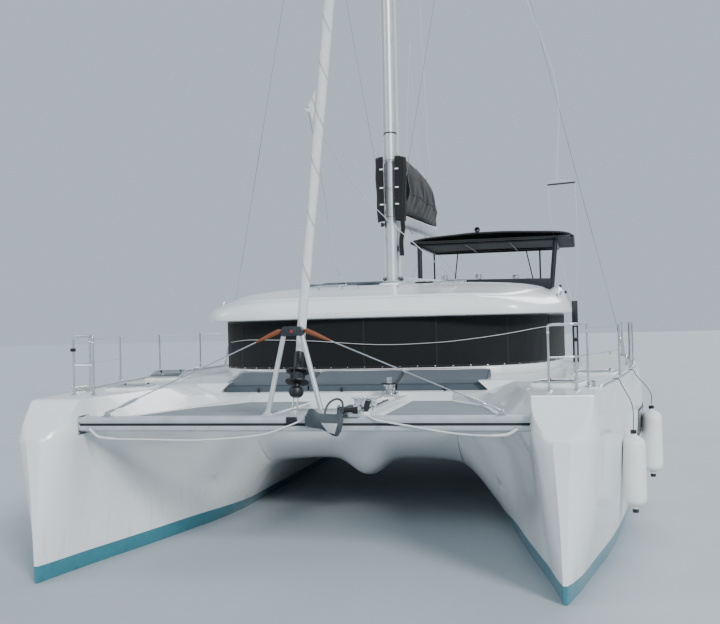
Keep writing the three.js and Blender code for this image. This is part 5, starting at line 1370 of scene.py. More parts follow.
gypsy = turned([(0, 0.2), (0.035, 0.2), (0.04, 0.192), (0.036, 0.165), (0.034, 0.14), (0.05, 0.118), (0.078, 0.114),
                (0.08, 0.1), (0.052, 0.08), (0.052, 0.05), (0.08, 0.03), (0.082, 0.01), (0.07, 0.0), (0, 0)],
               (0.575, -3.7, 1.771), (0, 0, 1), 28)
motor = together(block((0.52, 0.63), (-3.62, -3.565), (1.77, 1.84), 0.01), turned(
    [(0, 0.035), (0.016, 0.035), (0.02, 0.03), (0.02, 0)], (0.51, -3.82, 1.771), (0, 0, 1), 16))
piece("windlass_body", together(windlass_base, gypsy, motor), STAINLESS, stands_for="windlass")
gypsy_cap = turned([(0.05, 0.018), (0.098, 0.014), (0.102, 0.008), (0.098, 0.0), (0.05, -0.002)], (0.575, -3.7, 1.884), (0, 0, 1), 28)
piece("windlass_guard", gypsy_cap, BLACK_PLASTIC)

# Bridle and mooring ropes that lie on the foredeck
bridle = [
    [(-2.3, -5.99, 1.585), (-2.171, -6.0, 1.495), (-1.58, -6.0, 1.472), (-1.01, -6.0, 1.468), (-0.343, -6.0, 1.522),
     (-0.02, -6.0, 1.62), (0.14, -5.995, 1.687), (0.2, -5.96, 1.712)],
    [(2.31, -5.99, 1.585), (2.185, -6.0, 1.526), (1.743, -6.0, 1.535), (1.243, -6.0, 1.614), (0.906, -6.0, 1.675),
     (0.8, -5.965, 1.712)],
]
for label, points in zip(("starboard", "port"), bridle):
    line = curved(points, 10)
    rope = piece(f"{label}_bridle_rope", ropes([line], 0.009, 10), WHITE_ROPE, crease=80)
    thimble = piece(f"{label}_bridle_splice", ropes([line[:14]], 0.0145, 10), WHITE_ROPE, crease=80)
heap = coil((0.6, -5.22, 1.745), 0.13, 5, 0.021, spread=0.03)
heap_rope = piece("bow_rope_coil", ropes([heap], 0.01, 8), BLUE_ROPE, crease=80)


# Nets of crossing twine, laced to the hulls, the beam and the longeron
def net_edge(y):
    """Where a net ends, short of the hull's inner edge."""
    return smooth(INBOARD, 1, y) - 0.075 if y < -3.86 else 1.6 - 0.075 - (y + 3.86) * 0.55


def make_net(side):
    front, back, pitch, inner = -5.70, -3.52, 0.026, (0.83 if side > 0 else 0.48)
    strands, border = [], []
    sag = lambda x, y: 1.655 - 0.012 * math.sin(math.pi * (x - inner) / 1.5) * math.sin(math.pi * (y - front) / 2.18)
    for n in range(int((back - front) / pitch) + 1):
        y = front + n * pitch
        end = min(net_edge(y), 2.1)
        strands.append([(side * mix(inner, end, s), y, sag(mix(inner, end, s), y)) for s in (0, 0.33, 0.67, 1)])
    for n in range(int((2.1 - inner) / pitch) + 1):
        x = inner + n * pitch
        ys = [y / 100 for y in range(-570, -351, 2) if min(net_edge(y / 100), 2.1) >= x]
        if len(ys) > 3:
            low, high = ys[0], ys[-1]
            strands.append([(side * x, mix(low, high, s), sag(x, mix(low, high, s))) for s in (0, 0.33, 0.67, 1)])
    rim = [(side * inner, front, 1.655)] + [(side * min(net_edge(y), 2.1), y, 1.655) for y in
                                            (front, -5.4, -5.0, -4.6, -4.2, -3.86, back)] + [(side * inner, back, 1.655),
                                                                                             (side * inner, front, 1.655)]
    lashing = []
    for (ax, ay, az), (bx, by, bz) in zip(rim, rim[1:]):
        a, b = Vector((ax, ay, az)), Vector((bx, by, bz))
        out = (b - a).normalized().cross(Vector((0, 0, side)))
        count = max(int((b - a).length / 0.07), 1)
        for k in range(count * 2 + 1):
            spot = a.lerp(b, k / (count * 2))
            lashing.append(spot + out * (0.058 if k % 2 else -0.006) + Vector((0, 0, 0.004 if k % 2 else 0)))
    twine = [tube(line, 0.0032, 4) for line in strands]
    rope = [tube(rim, 0.009, 8)]
    return together(*twine), together(tube(lashing, 0.0028, 5), *rope)


for label, side in (("port", 1), ("starboard", -1)):
    twine, rims = make_net(side)
    piece(f"{label}_net_twine", twine, NET_TWINE, stands_for=f"{label}_net", crease=80)
    piece(f"{label}_net_lashing", rims, WHITE_PLASTIC, crease=80)

# Sun pad in front of the saloon
PAD_SIDE = [(-3.38, 1.768), (-3.385, 1.84), (-3.355, 1.87), (-2.74, 2.008), (-2.65, 2.0), (-2.65, 1.89)]
pads = [plate(PAD_SIDE, x, "x", 0.012, 2) for x in ((-1.762, -0.595), (-0.585, 0.585), (0.595, 1.762))]
cushion("sun_pad_cushions", pads, GREY_CUSHION, 0.75, 0.02, 0.012, stands_for="sun_pad")
piping = []
for low, high in ((-1.762, -0.595), (-0.585, 0.585), (0.595, 1.762)):
    edge = [(low + 0.01, -3.372, 1.865), (high - 0.01, -3.372, 1.865), (high - 0.01, -2.7, 2.02), (low + 0.01, -2.7, 2.02),
            (low + 0.01, -3.372, 1.865)]
    piping.append(bent(edge, 0.0045, 0.03, 6, 3))
straps = [block((x - 0.012, x + 0.012), (-3.405, -3.385), (1.75, 1.83), 0.002) for x in (-1.257, -0.118, 1.233)]
piece("sun_pad_piping", together(*piping), GREY_CUSHION, crease=60)
piece("sun_pad_straps", together(*straps), WEBBING)


# Rig, drawn in the mast's own raked frame: its foot at the origin, y aft
MAST_FRAME = Matrix.Translation((0, MAST_Y, MAST_FOOT)) @ Matrix.Rotation(-RAKE, 4, "X")
MAST_LENGTH = (MAST_TOP - MAST_FOOT) / math.cos(RAKE)
SPREADER_UP = 7.6
HOUNDS_UP = (HOUNDS - MAST_FOOT) / math.cos(RAKE)


def on_mast(x, y, up):
    return MAST_FRAME @ Vector((x, y, up))


def mast_ring(up, width=0.095, chord=0.125):
    ring_points = []
    for k in range(40):
        angle = k * math.tau / 40
        x, y = math.cos(angle) * width, math.sin(angle) * chord
        if y > 0.9 * chord:
            y = 0.9 * chord + (y - 0.9 * chord) * 0.4
        if abs(x) < 0.02 and y > 0:
            y = y - 0.016
        ring_points.append(on_mast(x, y, up))
    return ring_points


levels = [0.0, 0.02, 1.0, 4.0, SPREADER_UP, 11.0, HOUNDS_UP, MAST_LENGTH - 0.04, MAST_LENGTH - 0.03]
tube_shape = skin([mast_ring(up, 0.095 - 0.02 * blend_in(up, HOUNDS_UP, MAST_LENGTH),
                             0.125 - 0.03 * blend_in(up, HOUNDS_UP, MAST_LENGTH)) for up in levels], True, True)
foot_collar = turned([(0.13, 0.0), (0.17, 0.002), (0.172, 0.012), (0.13, 0.03), (0.112, 0.036)], (0, 0, 0), (0, 0, 1), 36)
bmesh.ops.scale(foot_collar, vec=(1, 1.15, 1), verts=foot_collar.verts)
cheek = block((-0.05, 0.05), (0.09, 0.139), (BOOM_Z - MAST_FOOT - 0.088, BOOM_Z - MAST_FOOT + 0.088), 0.012)
ears = [plate([(0.11, low), (0.2, low), (0.226, low + 0.004), (0.229, low + 0.013), (0.226, low + 0.022), (0.2, low + 0.026),
               (0.11, low + 0.026)], (-0.03, 0.03), "x", 0.003)
        for low in (BOOM_Z - MAST_FOOT - 0.062, BOOM_Z - MAST_FOOT + 0.036)]
masthead = together(plate([(-0.2, MAST_LENGTH - 0.06), (-0.19, MAST_LENGTH - 0.01), (0.26, MAST_LENGTH - 0.01),
                           (0.27, MAST_LENGTH - 0.035), (0.2, MAST_LENGTH - 0.07)], (-0.04, 0.04), "x", 0.006),
                    bar((-0.05, 0.2, MAST_LENGTH - 0.045), (0.05, 0.2, MAST_LENGTH - 0.045), 0.022, 16))
tangs = plate([(-0.13, HOUNDS_UP + 0.05), (-0.1, HOUNDS_UP + 0.06), (0.1, HOUNDS_UP + 0.06), (0.13, HOUNDS_UP + 0.05),
               (0.13, HOUNDS_UP), (-0.13, HOUNDS_UP)], (-0.02, 0.02), "y", 0.004)
fittings = moved(together(foot_collar, cheek, *ears, masthead, tangs), MAST_FRAME)
piece("mast_tube", together(tube_shape, fittings), MAST_ALLOY, stands_for="mast", crease=50)

gear = []
for up, x in ((0.55, 0.1), (0.95, -0.1)):
    gear.append(turned([(0.052, 0), (0.052, 0.012), (0.03, 0.024), (0.028, 0.058), (0.038, 0.07), (0.038, 0.082),
                        (0, 0.084)], on_mast(x * 0.97, 0.0, up), (x, 0, 0), 20))
for n, (x, y) in enumerate(((0.13, -0.06), (0.14, 0.03), (0.12, 0.11), (-0.13, -0.05), (-0.13, 0.07))):
    gear.append(block((x - 0.012, x + 0.012), (MAST_Y + y - 0.02, MAST_Y + y + 0.02), (3.302, 3.37), 0.006))
    gear.append(turned([(0.02, -0.012), (0.028, -0.008), (0.022, 0), (0.028, 0.008), (0.02, 0.012)],
                       (x, MAST_Y + y, 3.365), (0, 1, 0), 16))
ring_collar = turned([(0.1, 0), (0.106, 0.004), (0.106, 0.02), (0.1, 0.024)], (0, 0, 0), (0, 0, 1), 32)
bmesh.ops.scale(ring_collar, vec=(1, 1.25, 1), verts=ring_collar.verts)
gear.append(moved(ring_collar, MAST_FRAME @ Matrix.Translation((0, 0, 2.42))))
lamp = turned([(0.03, 0), (0.035, 0.03), (0.028, 0.06), (0, 0.062)], on_mast(0, -0.12, 6.7), (0, -1, -0.6), 16)
piece("mast_winches", together(*gear, lamp), GREY_ALLOY, crease=35)
cleats = []
for up, x in ((0.8, 0.094), (1.25, 0.094), (0.7, -0.094), (1.35, -0.094), (1.15, -0.094)):
    out = x + math.copysign(0.022, x)
    base = block(sorted((x, out)), (-0.01, 0.01), (up - 0.02, up + 0.02), 0.003)
    cleats.append(moved(together(base, bar((out, 0, up - 0.07), (out, 0, up + 0.07), 0.007, 8)), MAST_FRAME))
piece("mast_cleats", together(*cleats), STAINLESS)


def make_spreader():
    root, tip = Vector((0.088, 0.04, SPREADER_UP)), Vector((1.25, 0.42, SPREADER_UP + 0.06))
    blade = tube([root.lerp(tip, s) for s in (0, 0.25, 0.5, 0.75, 1)], [0.043, 0.04, 0.035, 0.028, 0.022], 20, flat=0.42)
    cup = turned([(0.0, -0.03), (0.018, -0.03), (0.022, -0.015), (0.022, 0.015), (0.018, 0.03), (0, 0.03)], tip, (0, 0, 1), 16)
    bracket = plate([(0.012, -0.02), (0.075, -0.02), (0.075, 0.05), (0.012, 0.05)], (SPREADER_UP - 0.03, SPREADER_UP + 0.03),
                    "z", 0.006)
    return moved(together(blade, cup, shifted(bracket, 0.07, 0, 0)), MAST_FRAME)


both_sides("spreader_blade", make_spreader(), MAST_ALLOY, stands_for="spreader")


def make_shroud():
    foot, top = Vector((3.68, 1.59, DECK)), on_mast(0.116, 0, HOUNDS_UP)
    way = (top - foot).normalized()
    at = lambda reach: foot + way * reach
    plate_foot = plate([(1.545, DECK - 0.002), (1.545, DECK + 0.03), (1.57, DECK + 0.11), (1.62, DECK + 0.118),
                        (1.635, DECK + 0.03), (1.635, DECK - 0.002)], (3.672, 3.688), "x", 0.003)
    screw = turned([(0.008, -0.06), (0.016, -0.05), (0.016, -0.02), (0.009, -0.012), (0.009, 0.06), (0.018, 0.07),
                    (0.021, 0.09), (0.021, 0.25), (0.018, 0.27), (0.009, 0.28), (0.009, 0.34), (0.014, 0.35),
                    (0.012, 0.44), (0.0065, 0.45)], at(0.14), way, 16)
    fork = bar(at(0.06), at(0.15), 0.014, 12)
    wire = tube([at(0.58), top], 0.0065, 8)
    return together(plate_foot, screw, fork, wire)


both_sides("shroud_wire", make_shroud(), STAINLESS, stands_for="shroud")


def make_diamonds():
    lines = []
    for start, end in (((0.09, 0.02, 0.9), (1.245, 0.42, SPREADER_UP + 0.02)),
                       ((1.245, 0.42, SPREADER_UP + 0.09), (0.09, 0.02, HOUNDS_UP - 0.4))):
        lines.append(tube([on_mast(*start), on_mast(*end)], 0.0055, 6))
    return together(*lines)


both_sides("diamond_wire", make_diamonds(), STAINLESS)

# Furler drum at the foot of the forestay, and the headsail rolled on it
STAY_FOOT = Vector((0, BEAM_Y, BEAM_TOP + 0.06))
STAY_HEAD = on_mast(0, -0.117, HOUNDS_UP)
STAY_WAY = (STAY_HEAD - STAY_FOOT).normalized()
STAY_LENGTH = (STAY_HEAD - STAY_FOOT).length
STAY_FRAME = Matrix.Translation(STAY_FOOT) @ Matrix.Rotation(-math.atan2(STAY_WAY.y, STAY_WAY.z), 4, "X")

toggles = [block((x - 0.004, x + 0.004), (-0.014, 0.014), (-0.028, 0.16), 0.003) for x in (-0.024, 0.024)]
toggles.append(bar((-0.034, 0, 0.006), (0.034, 0, 0.006), 0.009, 12))
toggles.append(bar((-0.034, 0, 0.145), (0.034, 0, 0.145), 0.009, 12))
piece("furler_toggle", moved(together(*toggles), STAY_FRAME), STAINLESS)
drum = turned([(0, 0.14), (0.04, 0.142), (0.066, 0.16), (0.08, 0.19), (0.078, 0.222), (0.058, 0.246), (0.032, 0.256),
               (0.032, 0.285), (0.118, 0.296), (0.127, 0.303), (0.127, 0.316), (0.118, 0.322), (0.07, 0.326),
               (0.066, 0.404), (0.118, 0.41), (0.127, 0.416), (0.127, 0.43), (0.118, 0.437), (0.06, 0.446),
               (0.05, 0.46), (0.05, 0.635), (0.044, 0.641)], (0, 0, 0), (0, 0, 1), 48)
cage = [block((-0.008, 0.008), (-0.135, -0.118), (0.29, 0.44), 0.004)]
piece("furler_drum_body", moved(together(drum, *cage), STAY_FRAME), BLACK_PLASTIC, stands_for="furler_drum", crease=30)
turns = [Vector((0.076 * math.cos(a), 0.076 * math.sin(a), 0.333 + 0.066 * abs(((a / 22) % 2) - 1)))
         for a in [k * math.tau / 20 for k in range(220)]]
drum_rope = ropes([[STAY_FRAME @ p for p in turns]], 0.0048, 6)
piece("furler_rope", drum_rope, DARK_ROPE, crease=80)


def make_furled_sail():
    start, end = 0.642, STAY_LENGTH - 0.12
    length = end - start
    table = [(0, 0.04), (0.02, 0.047), (0.1, 0.052), (0.3, 0.065), (0.5, 0.074), (0.7, 0.066), (0.9, 0.044), (0.965, 0.022),
             (1.0, 0.012)]
    rows = []
    for n in range(221):
        share = n / 220
        size = smooth(table, 1, share)
        row = []
        for k in range(28):
            angle = k * math.tau / 28
            spiral = (angle - share * 95) % math.tau / math.tau
            bump = 0.0045 * (1 - spiral) + 0.0016 * math.sin(3 * angle + share * 60)
            row.append(STAY_FRAME @ Vector(((size + bump) * math.cos(angle), (size + bump) * math.sin(angle),
                                             start + share * length)))
        rows.append(row)
    roll = skin(rows, around=True, caps=True)
    up = (5.22 - STAY_FOOT.z) / STAY_WAY.z
    flap = plate([(-0.04, up + 0.38), (-0.11, up + 0.16), (-0.15, up + 0.05), (-0.172, up - 0.035), (-0.12, up - 0.055),
                  (-0.07, up - 0.19), (-0.03, up - 0.33)], (-0.007, 0.007), "y", 0.003)
    return together(roll, moved(flap, STAY_FRAME))


sail = piece("furled_headsail_roll", make_furled_sail(), SAILCLOTH, stands_for="furled_sail", crease=70)
sheet_up = (5.22 - STAY_FOOT.z) / STAY_WAY.z
clew = STAY_FRAME @ Vector((-0.15, 0, sheet_up))
piece("clew_ring", ring(clew, (0, 1, 0), 0.024, 0.006, 20, 8), STAINLESS)
sheets = [[tuple(clew), (0.1, -3.2, 4.45), (0.75, -1.2, 3.62), (0.95, 0.4, 3.31)],
          [tuple(clew), (-0.35, -3.2, 4.45), (-0.75, -1.2, 3.62), (-0.95, 0.4, 3.31)]]
piece("headsail_sheets", ropes([curved(points, 8) for points in sheets], 0.006, 6), BLUE_ROPE, crease=80)

# Boom and the bag over the mainsail; both turn about the gooseneck
GOOSE_FRAME = MAST_FRAME @ Matrix.Translation((0, 0.195, BOOM_Z - MAST_FOOT))
BOOM_FRAME = GOOSE_FRAME @ Matrix.Rotation(RAKE + BOOM_RISE, 4, "X")
boom_corners = [(-0.085, -0.06), (-0.05, -0.11), (0.05, -0.11), (0.085, -0.06), (0.085, 0.07), (0.055, 0.11), (-0.055, 0.11),
                (-0.085, 0.07), (-0.085, -0.06)]
boom_line = rounded([((x, 0, z), 0.03) for x, z in boom_corners], 4)[1:-1]
boom_tube = skin([[Vector((p.x, y, p.z)) for p in boom_line] for y in (0.112, 0.6, 1.5, 2.5, 3.5, BOOM_LENGTH - 0.005)],
                 around=True, caps=True)
boom_end = together(plate([(-0.08, -0.1), (0.08, -0.1), (0.08, 0.1), (-0.08, 0.1)], (BOOM_LENGTH - 0.02, BOOM_LENGTH), "y", 0.01),
                    bar((-0.05, BOOM_LENGTH - 0.03, 0.06), (0.05, BOOM_LENGTH - 0.03, 0.06), 0.03, 16))
bails = [tube([(-0.075, y, -0.09), (-0.05, y, -0.145), (0.05, y, -0.145), (0.075, y, -0.09)], 0.008, 8) for y in (1.9, 3.55)]
hub = together(turned([(0, -0.0355), (0.03, -0.0355), (0.03, 0.0355), (0, 0.0355)], (0, 0, 0), (0, 0, 1), 24))
neck = block((-0.022, 0.022), (0.0, 0.13), (-0.032, 0.032), 0.006)
boom_shape = together(moved(together(boom_tube, boom_end, *bails), BOOM_FRAME), moved(together(hub, neck), GOOSE_FRAME))
piece("boom_tube", boom_shape, MAST_ALLOY, "boom", "boom", 40)
piece("gooseneck_pin", moved(turned([(0, -0.07), (0.012, -0.07), (0.012, 0.07), (0, 0.07)], (0, 0, 0), (0, 0, 1), 16), GOOSE_FRAME),
      STAINLESS)

BAG = [
    # y, half, top
    (0.19, 0.225, 1.09), (0.5, 0.245, 1.085), (1.3, 0.25, 1.06), (2.3, 0.24, 1.01), (3.1, 0.205, 0.93), (3.7, 0.15, 0.76),
    (4.05, 0.095, 0.56), (4.2, 0.06, 0.33),
]


def bag_spot(y, share):
    """A point on the bag: share runs from its port lower edge over the top to the starboard lower edge."""
    half, top = smooth(BAG, 1, y), smooth(BAG, 2, y)
    side = 1 if share < 0.5 else -1
    s = min(share, 1 - share) * 2
    low = 0.112
    corners = [(0.084, 0.0), (0.6, 0.1), (1.0, 0.32), (0.98, 0.55), (0.86, 0.74), (0.55, 0.92), (0.16, 0.992), (0.02, 1.0)]
    line = evenly(curved([(half * a if n else 0.084, 0, b) for n, (a, b) in enumerate(corners)], 5), 41)
    at = line[round(s * 40)]
    battens = 0.008 * math.sin(y * 12.4) * math.sin(math.pi * s)
    folds = 0.012 * math.sin(y * 5.1 + s * 7) * math.sin(math.pi * s) ** 2 + 0.005 * math.sin(y * 17 + s * 12) * s * (1 - s) * 4
    drop = 0.012 * math.sin(y * 3.7 + 1) * (1 - s)
    return Vector((side * max(at.x + battens + folds, 0.0), y, low + (top - low) * at.z - drop * (s > 0.1)))


bag_rows = []
for n in range(141):
    y = mix(0.19, 4.2, n / 140)
    bag_rows.append([bag_spot(y, k / 80) for k in range(81)])
bag_shape = skin(bag_rows, around=False)
rims = [edge for edge in bag_shape.edges if edge.is_boundary]
bmesh.ops.holes_fill(bag_shape, edges=rims, sides=0)
bag_shape = moved(bag_shape, BOOM_FRAME)
bmesh.ops.recalc_face_normals(bag_shape, faces=bag_shape.faces)
bag = piece("sail_bag_cloth", bag_shape, BLACK_CANVAS, "boom", "sail_bag", 80)


def bag_line(share, start=0.2, end=4.15, lift=0.004):
    line = []
    for n in range(61):
        y = mix(start, end, n / 60)
        spot = bag_spot(y, share)
        out = Vector((spot.x, 0, 0)).normalized() * lift if abs(spot.x) > 0.03 else Vector((0, 0, lift))
        line.append(BOOM_FRAME @ (spot + out))
    return line


seams = []
for share in (0.02, 0.16, 0.46, 0.54, 0.84, 0.98):
    seams.append(tube(bag_line(share), 0.004, 5))
for y in (0.215, 0.9, 1.6, 2.3, 3.0, 3.6):
    hoop = [BOOM_FRAME @ (bag_spot(y, k / 80) + Vector((0.003 if k < 40 else -0.003, 0, 0.002))) for k in range(1, 80)]
    seams.append(strip(hoop, 0.03, 0.003, (BOOM_FRAME.to_3x3() @ Vector((0, 1, 0)))))
zipper = tube(bag_line(0.5, 0.21, 3.6, 0.006), 0.009, 6)
piece("sail_bag_seams", together(*seams, zipper), WEBBING, "boom", crease=70)
hangers = []
for y in (0.45, 1.5, 2.6, 3.5):
    for share in (0.42, 0.58):
        hangers.append(ring(BOOM_FRAME @ (bag_spot(y, share) + Vector((0.01 if share < 0.5 else -0.01, 0, 0.012))),
                            (0, 1, 0), 0.014, 0.004, 14, 6))
piece("sail_bag_rings", together(*hangers), STAINLESS, "boom")


# The front of the bag laced round the mast
def make_collar(side):
    """One flap of the bag beside the mast, from its side round to the open front."""
    rows = []
    for level in range(27):
        share = level / 26
        up = mix(0.982, 2.028, share)
        bulge = 1 + 0.03 * math.sin(share * 11) * math.sin(math.pi * share) - 0.1 * (1 - share) ** 4
        row = []
        for k in range(25):
            angle = math.pi / 2 * (1 - k / 24) + 0.38 * k / 24
            fold = 1 + 0.02 * math.sin(k * 0.9 + share * 6)
            row.append(on_mast(side * 0.248 * math.sin(angle) * bulge * fold, -0.203 * math.cos(angle) * bulge, up))
        rows.append(row)
    return skin(rows)


for label, side in (("port", 1), ("starboard", -1)):
    flap = piece(f"{label}_bag_flap", make_collar(side), BLACK_CANVAS, stands_for="bag_collar" if side > 0 else (), crease=80)
    add_modifier(flap, "SOLIDIFY", thickness=0.004, offset=0)
laces, clips = [], []
for k in range(9):
    up = 1.05 + k * 0.115
    laces.append(tube([on_mast(-0.243, -0.01, up), on_mast(-0.11, 0.09, up + 0.03), on_mast(0.11, 0.09, up + 0.03),
                       on_mast(0.243, -0.01, up)], 0.004, 6))
    if k % 4 == 0:
        laces.append(tube(curved([on_mast(-0.1, -0.187, up), on_mast(0, -0.145, up + 0.01), on_mast(0.1, -0.187, up)], 5), 0.0035, 6))
for up in (1.25, 1.52, 1.82):
    for x in (-0.125, 0.125):
        clips.append(moved(block((x - 0.03, x + 0.03), (-0.197, -0.183), (up - 0.012, up + 0.012), 0.005), MAST_FRAME))
piece("bag_laces", together(*laces), WEBBING, crease=80)
piece("bag_clips", together(*clips), WHITE_PLASTIC)
tail = curved([on_mast(0.19, -0.1, 1.0), on_mast(0.2, -0.11, 0.86), on_mast(0.17, -0.12, 0.66), on_mast(0.18, -0.13, 0.42)], 6)
piece("bag_tail", strip(tail, 0.075, 0.012, Vector((0.9, 0.4, 0))), BLACK_CANVAS, crease=60)

# Running rigging: halyards, lazy jacks, topping lift and mainsheet
halyards = []
for x, y, top_y in ((-0.115, -0.04, -0.16), (-0.12, 0.03, 0.1), (0.118, -0.05, -0.17), (0.122, 0.02, 0.12), (0.115, 0.07, 0.2)):
    halyards.append([on_mast(x, y, 0.05), on_mast(x * 0.95, y, 6.0), on_mast(x * 0.4, top_y, MAST_LENGTH - 0.1)])
piece("halyards", ropes(halyards, 0.005, 6), WHITE_ROPE, crease=80)
jack_knots = [on_mast(side * 0.07, 0.06, 6.9) for side in (1, -1)]
jacks = []
for side, knot in zip((1, -1), jack_knots):
    meet = knot.lerp(BOOM_FRAME @ Vector((side * 0.2, 2.0, 1.0)), 0.55)
    jacks.append([knot, meet])
    for y, share in ((0.45, 0.42), (1.5, 0.42), (2.6, 0.42), (3.5, 0.42)):
        jacks.append([meet, BOOM_FRAME @ (bag_spot(y, share if side > 0 else 1 - share) + Vector((side * 0.01, 0, 0.02)))])
lazy_jacks = piece("lazy_jacks", ropes(jacks, 0.003, 5), BLUE_ROPE, None, crease=80)
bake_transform(lazy_jacks)
lift = [BOOM_FRAME @ Vector((0, BOOM_LENGTH - 0.02, 0.1)), on_mast(0, 0.24, MAST_LENGTH - 0.08)]
lift = [lift[0].lerp(lift[1], n / 12) for n in range(13)]
topping_lift = piece("topping_lift", ropes([lift], 0.004, 6), WHITE_ROPE, None, crease=80)
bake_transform(topping_lift)
sheet_top = BOOM_FRAME @ Vector((0, 3.55, -0.16))
blocks = []
for x in (-0.62, 0.62):
    foot = Vector((x, 4.15, roof_z(x, 4.15)))
    for n in (0, 1):
        blocks.append([foot + Vector((0.016 * n, 0, 0.09)), sheet_top + Vector((0.02 * (1 if x > 0 else -1) + 0.012 * n, 0, -0.05))])
blocks = [[a.lerp(b, n / 8) for n in range(9)] for a, b in blocks]
falls = piece("mainsheet_falls", ropes(blocks, 0.005, 6), BLUE_ROPE, None, crease=80)
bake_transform(falls)
sheaves = [turned([(0.01, -0.018), (0.034, -0.016), (0.028, -0.006), (0.028, 0.006), (0.034, 0.016), (0.01, 0.018)],
                  tuple(sheet_top + Vector((x, 0, -0.03))), (0, 1, 0), 20) for x in (-0.03, 0.03)]
piece("mainsheet_upper_blocks", together(*sheaves), BLACK_PLASTIC, "boom")
lower = []
for x in (-0.62, 0.62):
    z = roof_z(x, 4.15)
    lower.append(turned([(0.01, -0.02), (0.036, -0.018), (0.03, -0.006), (0.03, 0.006), (0.036, 0.018), (0.01, 0.02)],
                        (x, 4.15, z + 0.055), (0, 1, 0), 20))
    lower.append(turned([(0.04, -0.01), (0.04, 0.004), (0.03, 0.012), (0, 0.014)], (x, 4.15, z), (0, 0, 1), 20))
piece("mainsheet_lower_blocks", together(*lower), BLACK_PLASTIC)


# Pulpits, stanchions with their wires, toe rails and deck hatches
def deck_edge(y):
    return smooth(OUTBOARD, 5, y)


def foot_flange(x, y, z=DECK, size=0.038):
    return turned([(size, 0.0), (size, 0.004), (0.03, 0.009), (0.019, 0.014), (0.016, 0.05)], (x, y, z), (0, 0, 1), 20)


def make_pulpit():
    path = [(2.6, -5.34), (2.88, -5.29), (3.0, -4.7)]
    top = rounded([((x, y, 2.59), 0.09) for x, y in path], 8)
    shape = [tube([(2.6, -5.34, 2.51)] + rounded([((2.6, -5.34, 2.54), 0.05), ((2.6, -5.34, 2.59), 0.05),
                                                   ((2.88, -5.29, 2.59), 0.05), ((3.0, -4.7, 2.59), 0.05),
                                                   ((3.0, -4.7, 2.54), 0.05)], 6) + [(3.0, -4.7, 2.51)], 0.014, 12),
             tube(rounded([((x, y, 2.25), 0.04) for x, y in path], 4), 0.009, 8)]
    shape += [bar((x, y, DECK), (x, y, 2.56), 0.013, 12) for x, y in path]
    shape += [foot_flange(x, y) for x, y in path]
    for x, y in path[::2]:
        shape.append(ball((x, y, 2.51), 0.018, 12, 8))
    del top
    return together(*shape)


both_sides("pulpit_rail", make_pulpit(), STAINLESS, stands_for="pulpit")

STANCHIONS = [-3.15, -1.42, 0.55, 2.3, 4.05]


def make_stanchions():
    posts = []
    for y in STANCHIONS:
        x = deck_edge(y) - 0.06
        posts.append(turned([(0.013, 0.0), (0.013, 0.3), (0.0125, 0.62), (0.0115, 0.66), (0.006, 0.667), (0, 0.668)],
                            (x, y, DECK + 0.002), (0, 0, 1), 14))
        posts.append(turned([(0.02, 0.03), (0.02, 0.1), (0.015, 0.104)], (x, y, DECK), (0, 0, 1), 14))
        posts.append(foot_flange(x, y, DECK + 0.034, 0.034))
    return together(*posts)


def make_toe_rail():
    rows = []
    for y in [-4.9 + k * (9.15 / 120) for k in range(121)]:
        x = deck_edge(y) - 0.06
        lift = 0.034 * blend_in(min(y + 4.9, 4.25 - y), 0, 0.1)
        line = rounded([((-0.021, 0, -0.01), 0.004), ((-0.021, 0, lift), 0.008), ((0.021, 0, lift), 0.008),
                        ((0.021, 0, -0.01), 0.004)], 3)
        rows.append([Vector((x + p.x, y, DECK + p.z)) for p in line])
    return skin(rows, around=True, caps=True)


both_sides("toe_rail", make_toe_rail(), ANODISED, stands_for="stanchions")
both_sides("stanchion_posts", make_stanchions(), STAINLESS)


def make_guard_wires():
    wires = []
    for z in (2.545, 2.25):
        line = [Vector((3.0, -4.7, z if z > 2.4 else 2.25))]
        for y in STANCHIONS:
            line.append(Vector((deck_edge(y) - 0.06, y, z)))
        runs = []
        for a, b in zip(line, line[1:]):
            runs += sagging(a, b, 0.006, 6)[:-1]
        wires.append(tube(runs + [line[-1]], 0.0035, 6))
    last = STANCHIONS[-1]
    brace = tube([(deck_edge(last) - 0.06, last, 2.42), (deck_edge(last - 0.45) - 0.06, last - 0.45, 1.935)], 0.008, 10)
    return together(*wires, brace)


both_sides("guard_wires", make_guard_wires(), STAINLESS)
HATCH_FORE, HATCH_AFT, HATCH_SIZE, HATCH_YAW = (2.68, -4.22), (3.12, -2.2), 0.26, math.radians(-10)


def hatch_frame_at(side, spot):
    """The middle of a hatch opening on deck, turned with the hull's side."""
    return Matrix.Translation((side * spot[0], spot[1], DECK)) @ Matrix.Rotation(side * HATCH_YAW, 4, "Z")


def ring_plate(half, wide, low, high, round_by=0.05):
    """A square frame with rounded corners."""
    outer = rounded([((x, y, 0), round_by) for x, y in ((half, 0), (half, half), (-half, half), (-half, -half), (half, -half),
                                                        (half, 0))], 5)[:-1]
    rows = []
    for point in outer:
        inner = point * ((half - wide) / half)
        line = [(inner, low), (inner, high - 0.004), (inner + (point - inner) * 0.25, high), (point - (point - inner) * 0.2, high),
                (point, high - 0.006), (point, low)]
        rows.append([Vector((p.x, p.y, z)) for p, z in line])
    return skin(rows + rows[:1], around=True)


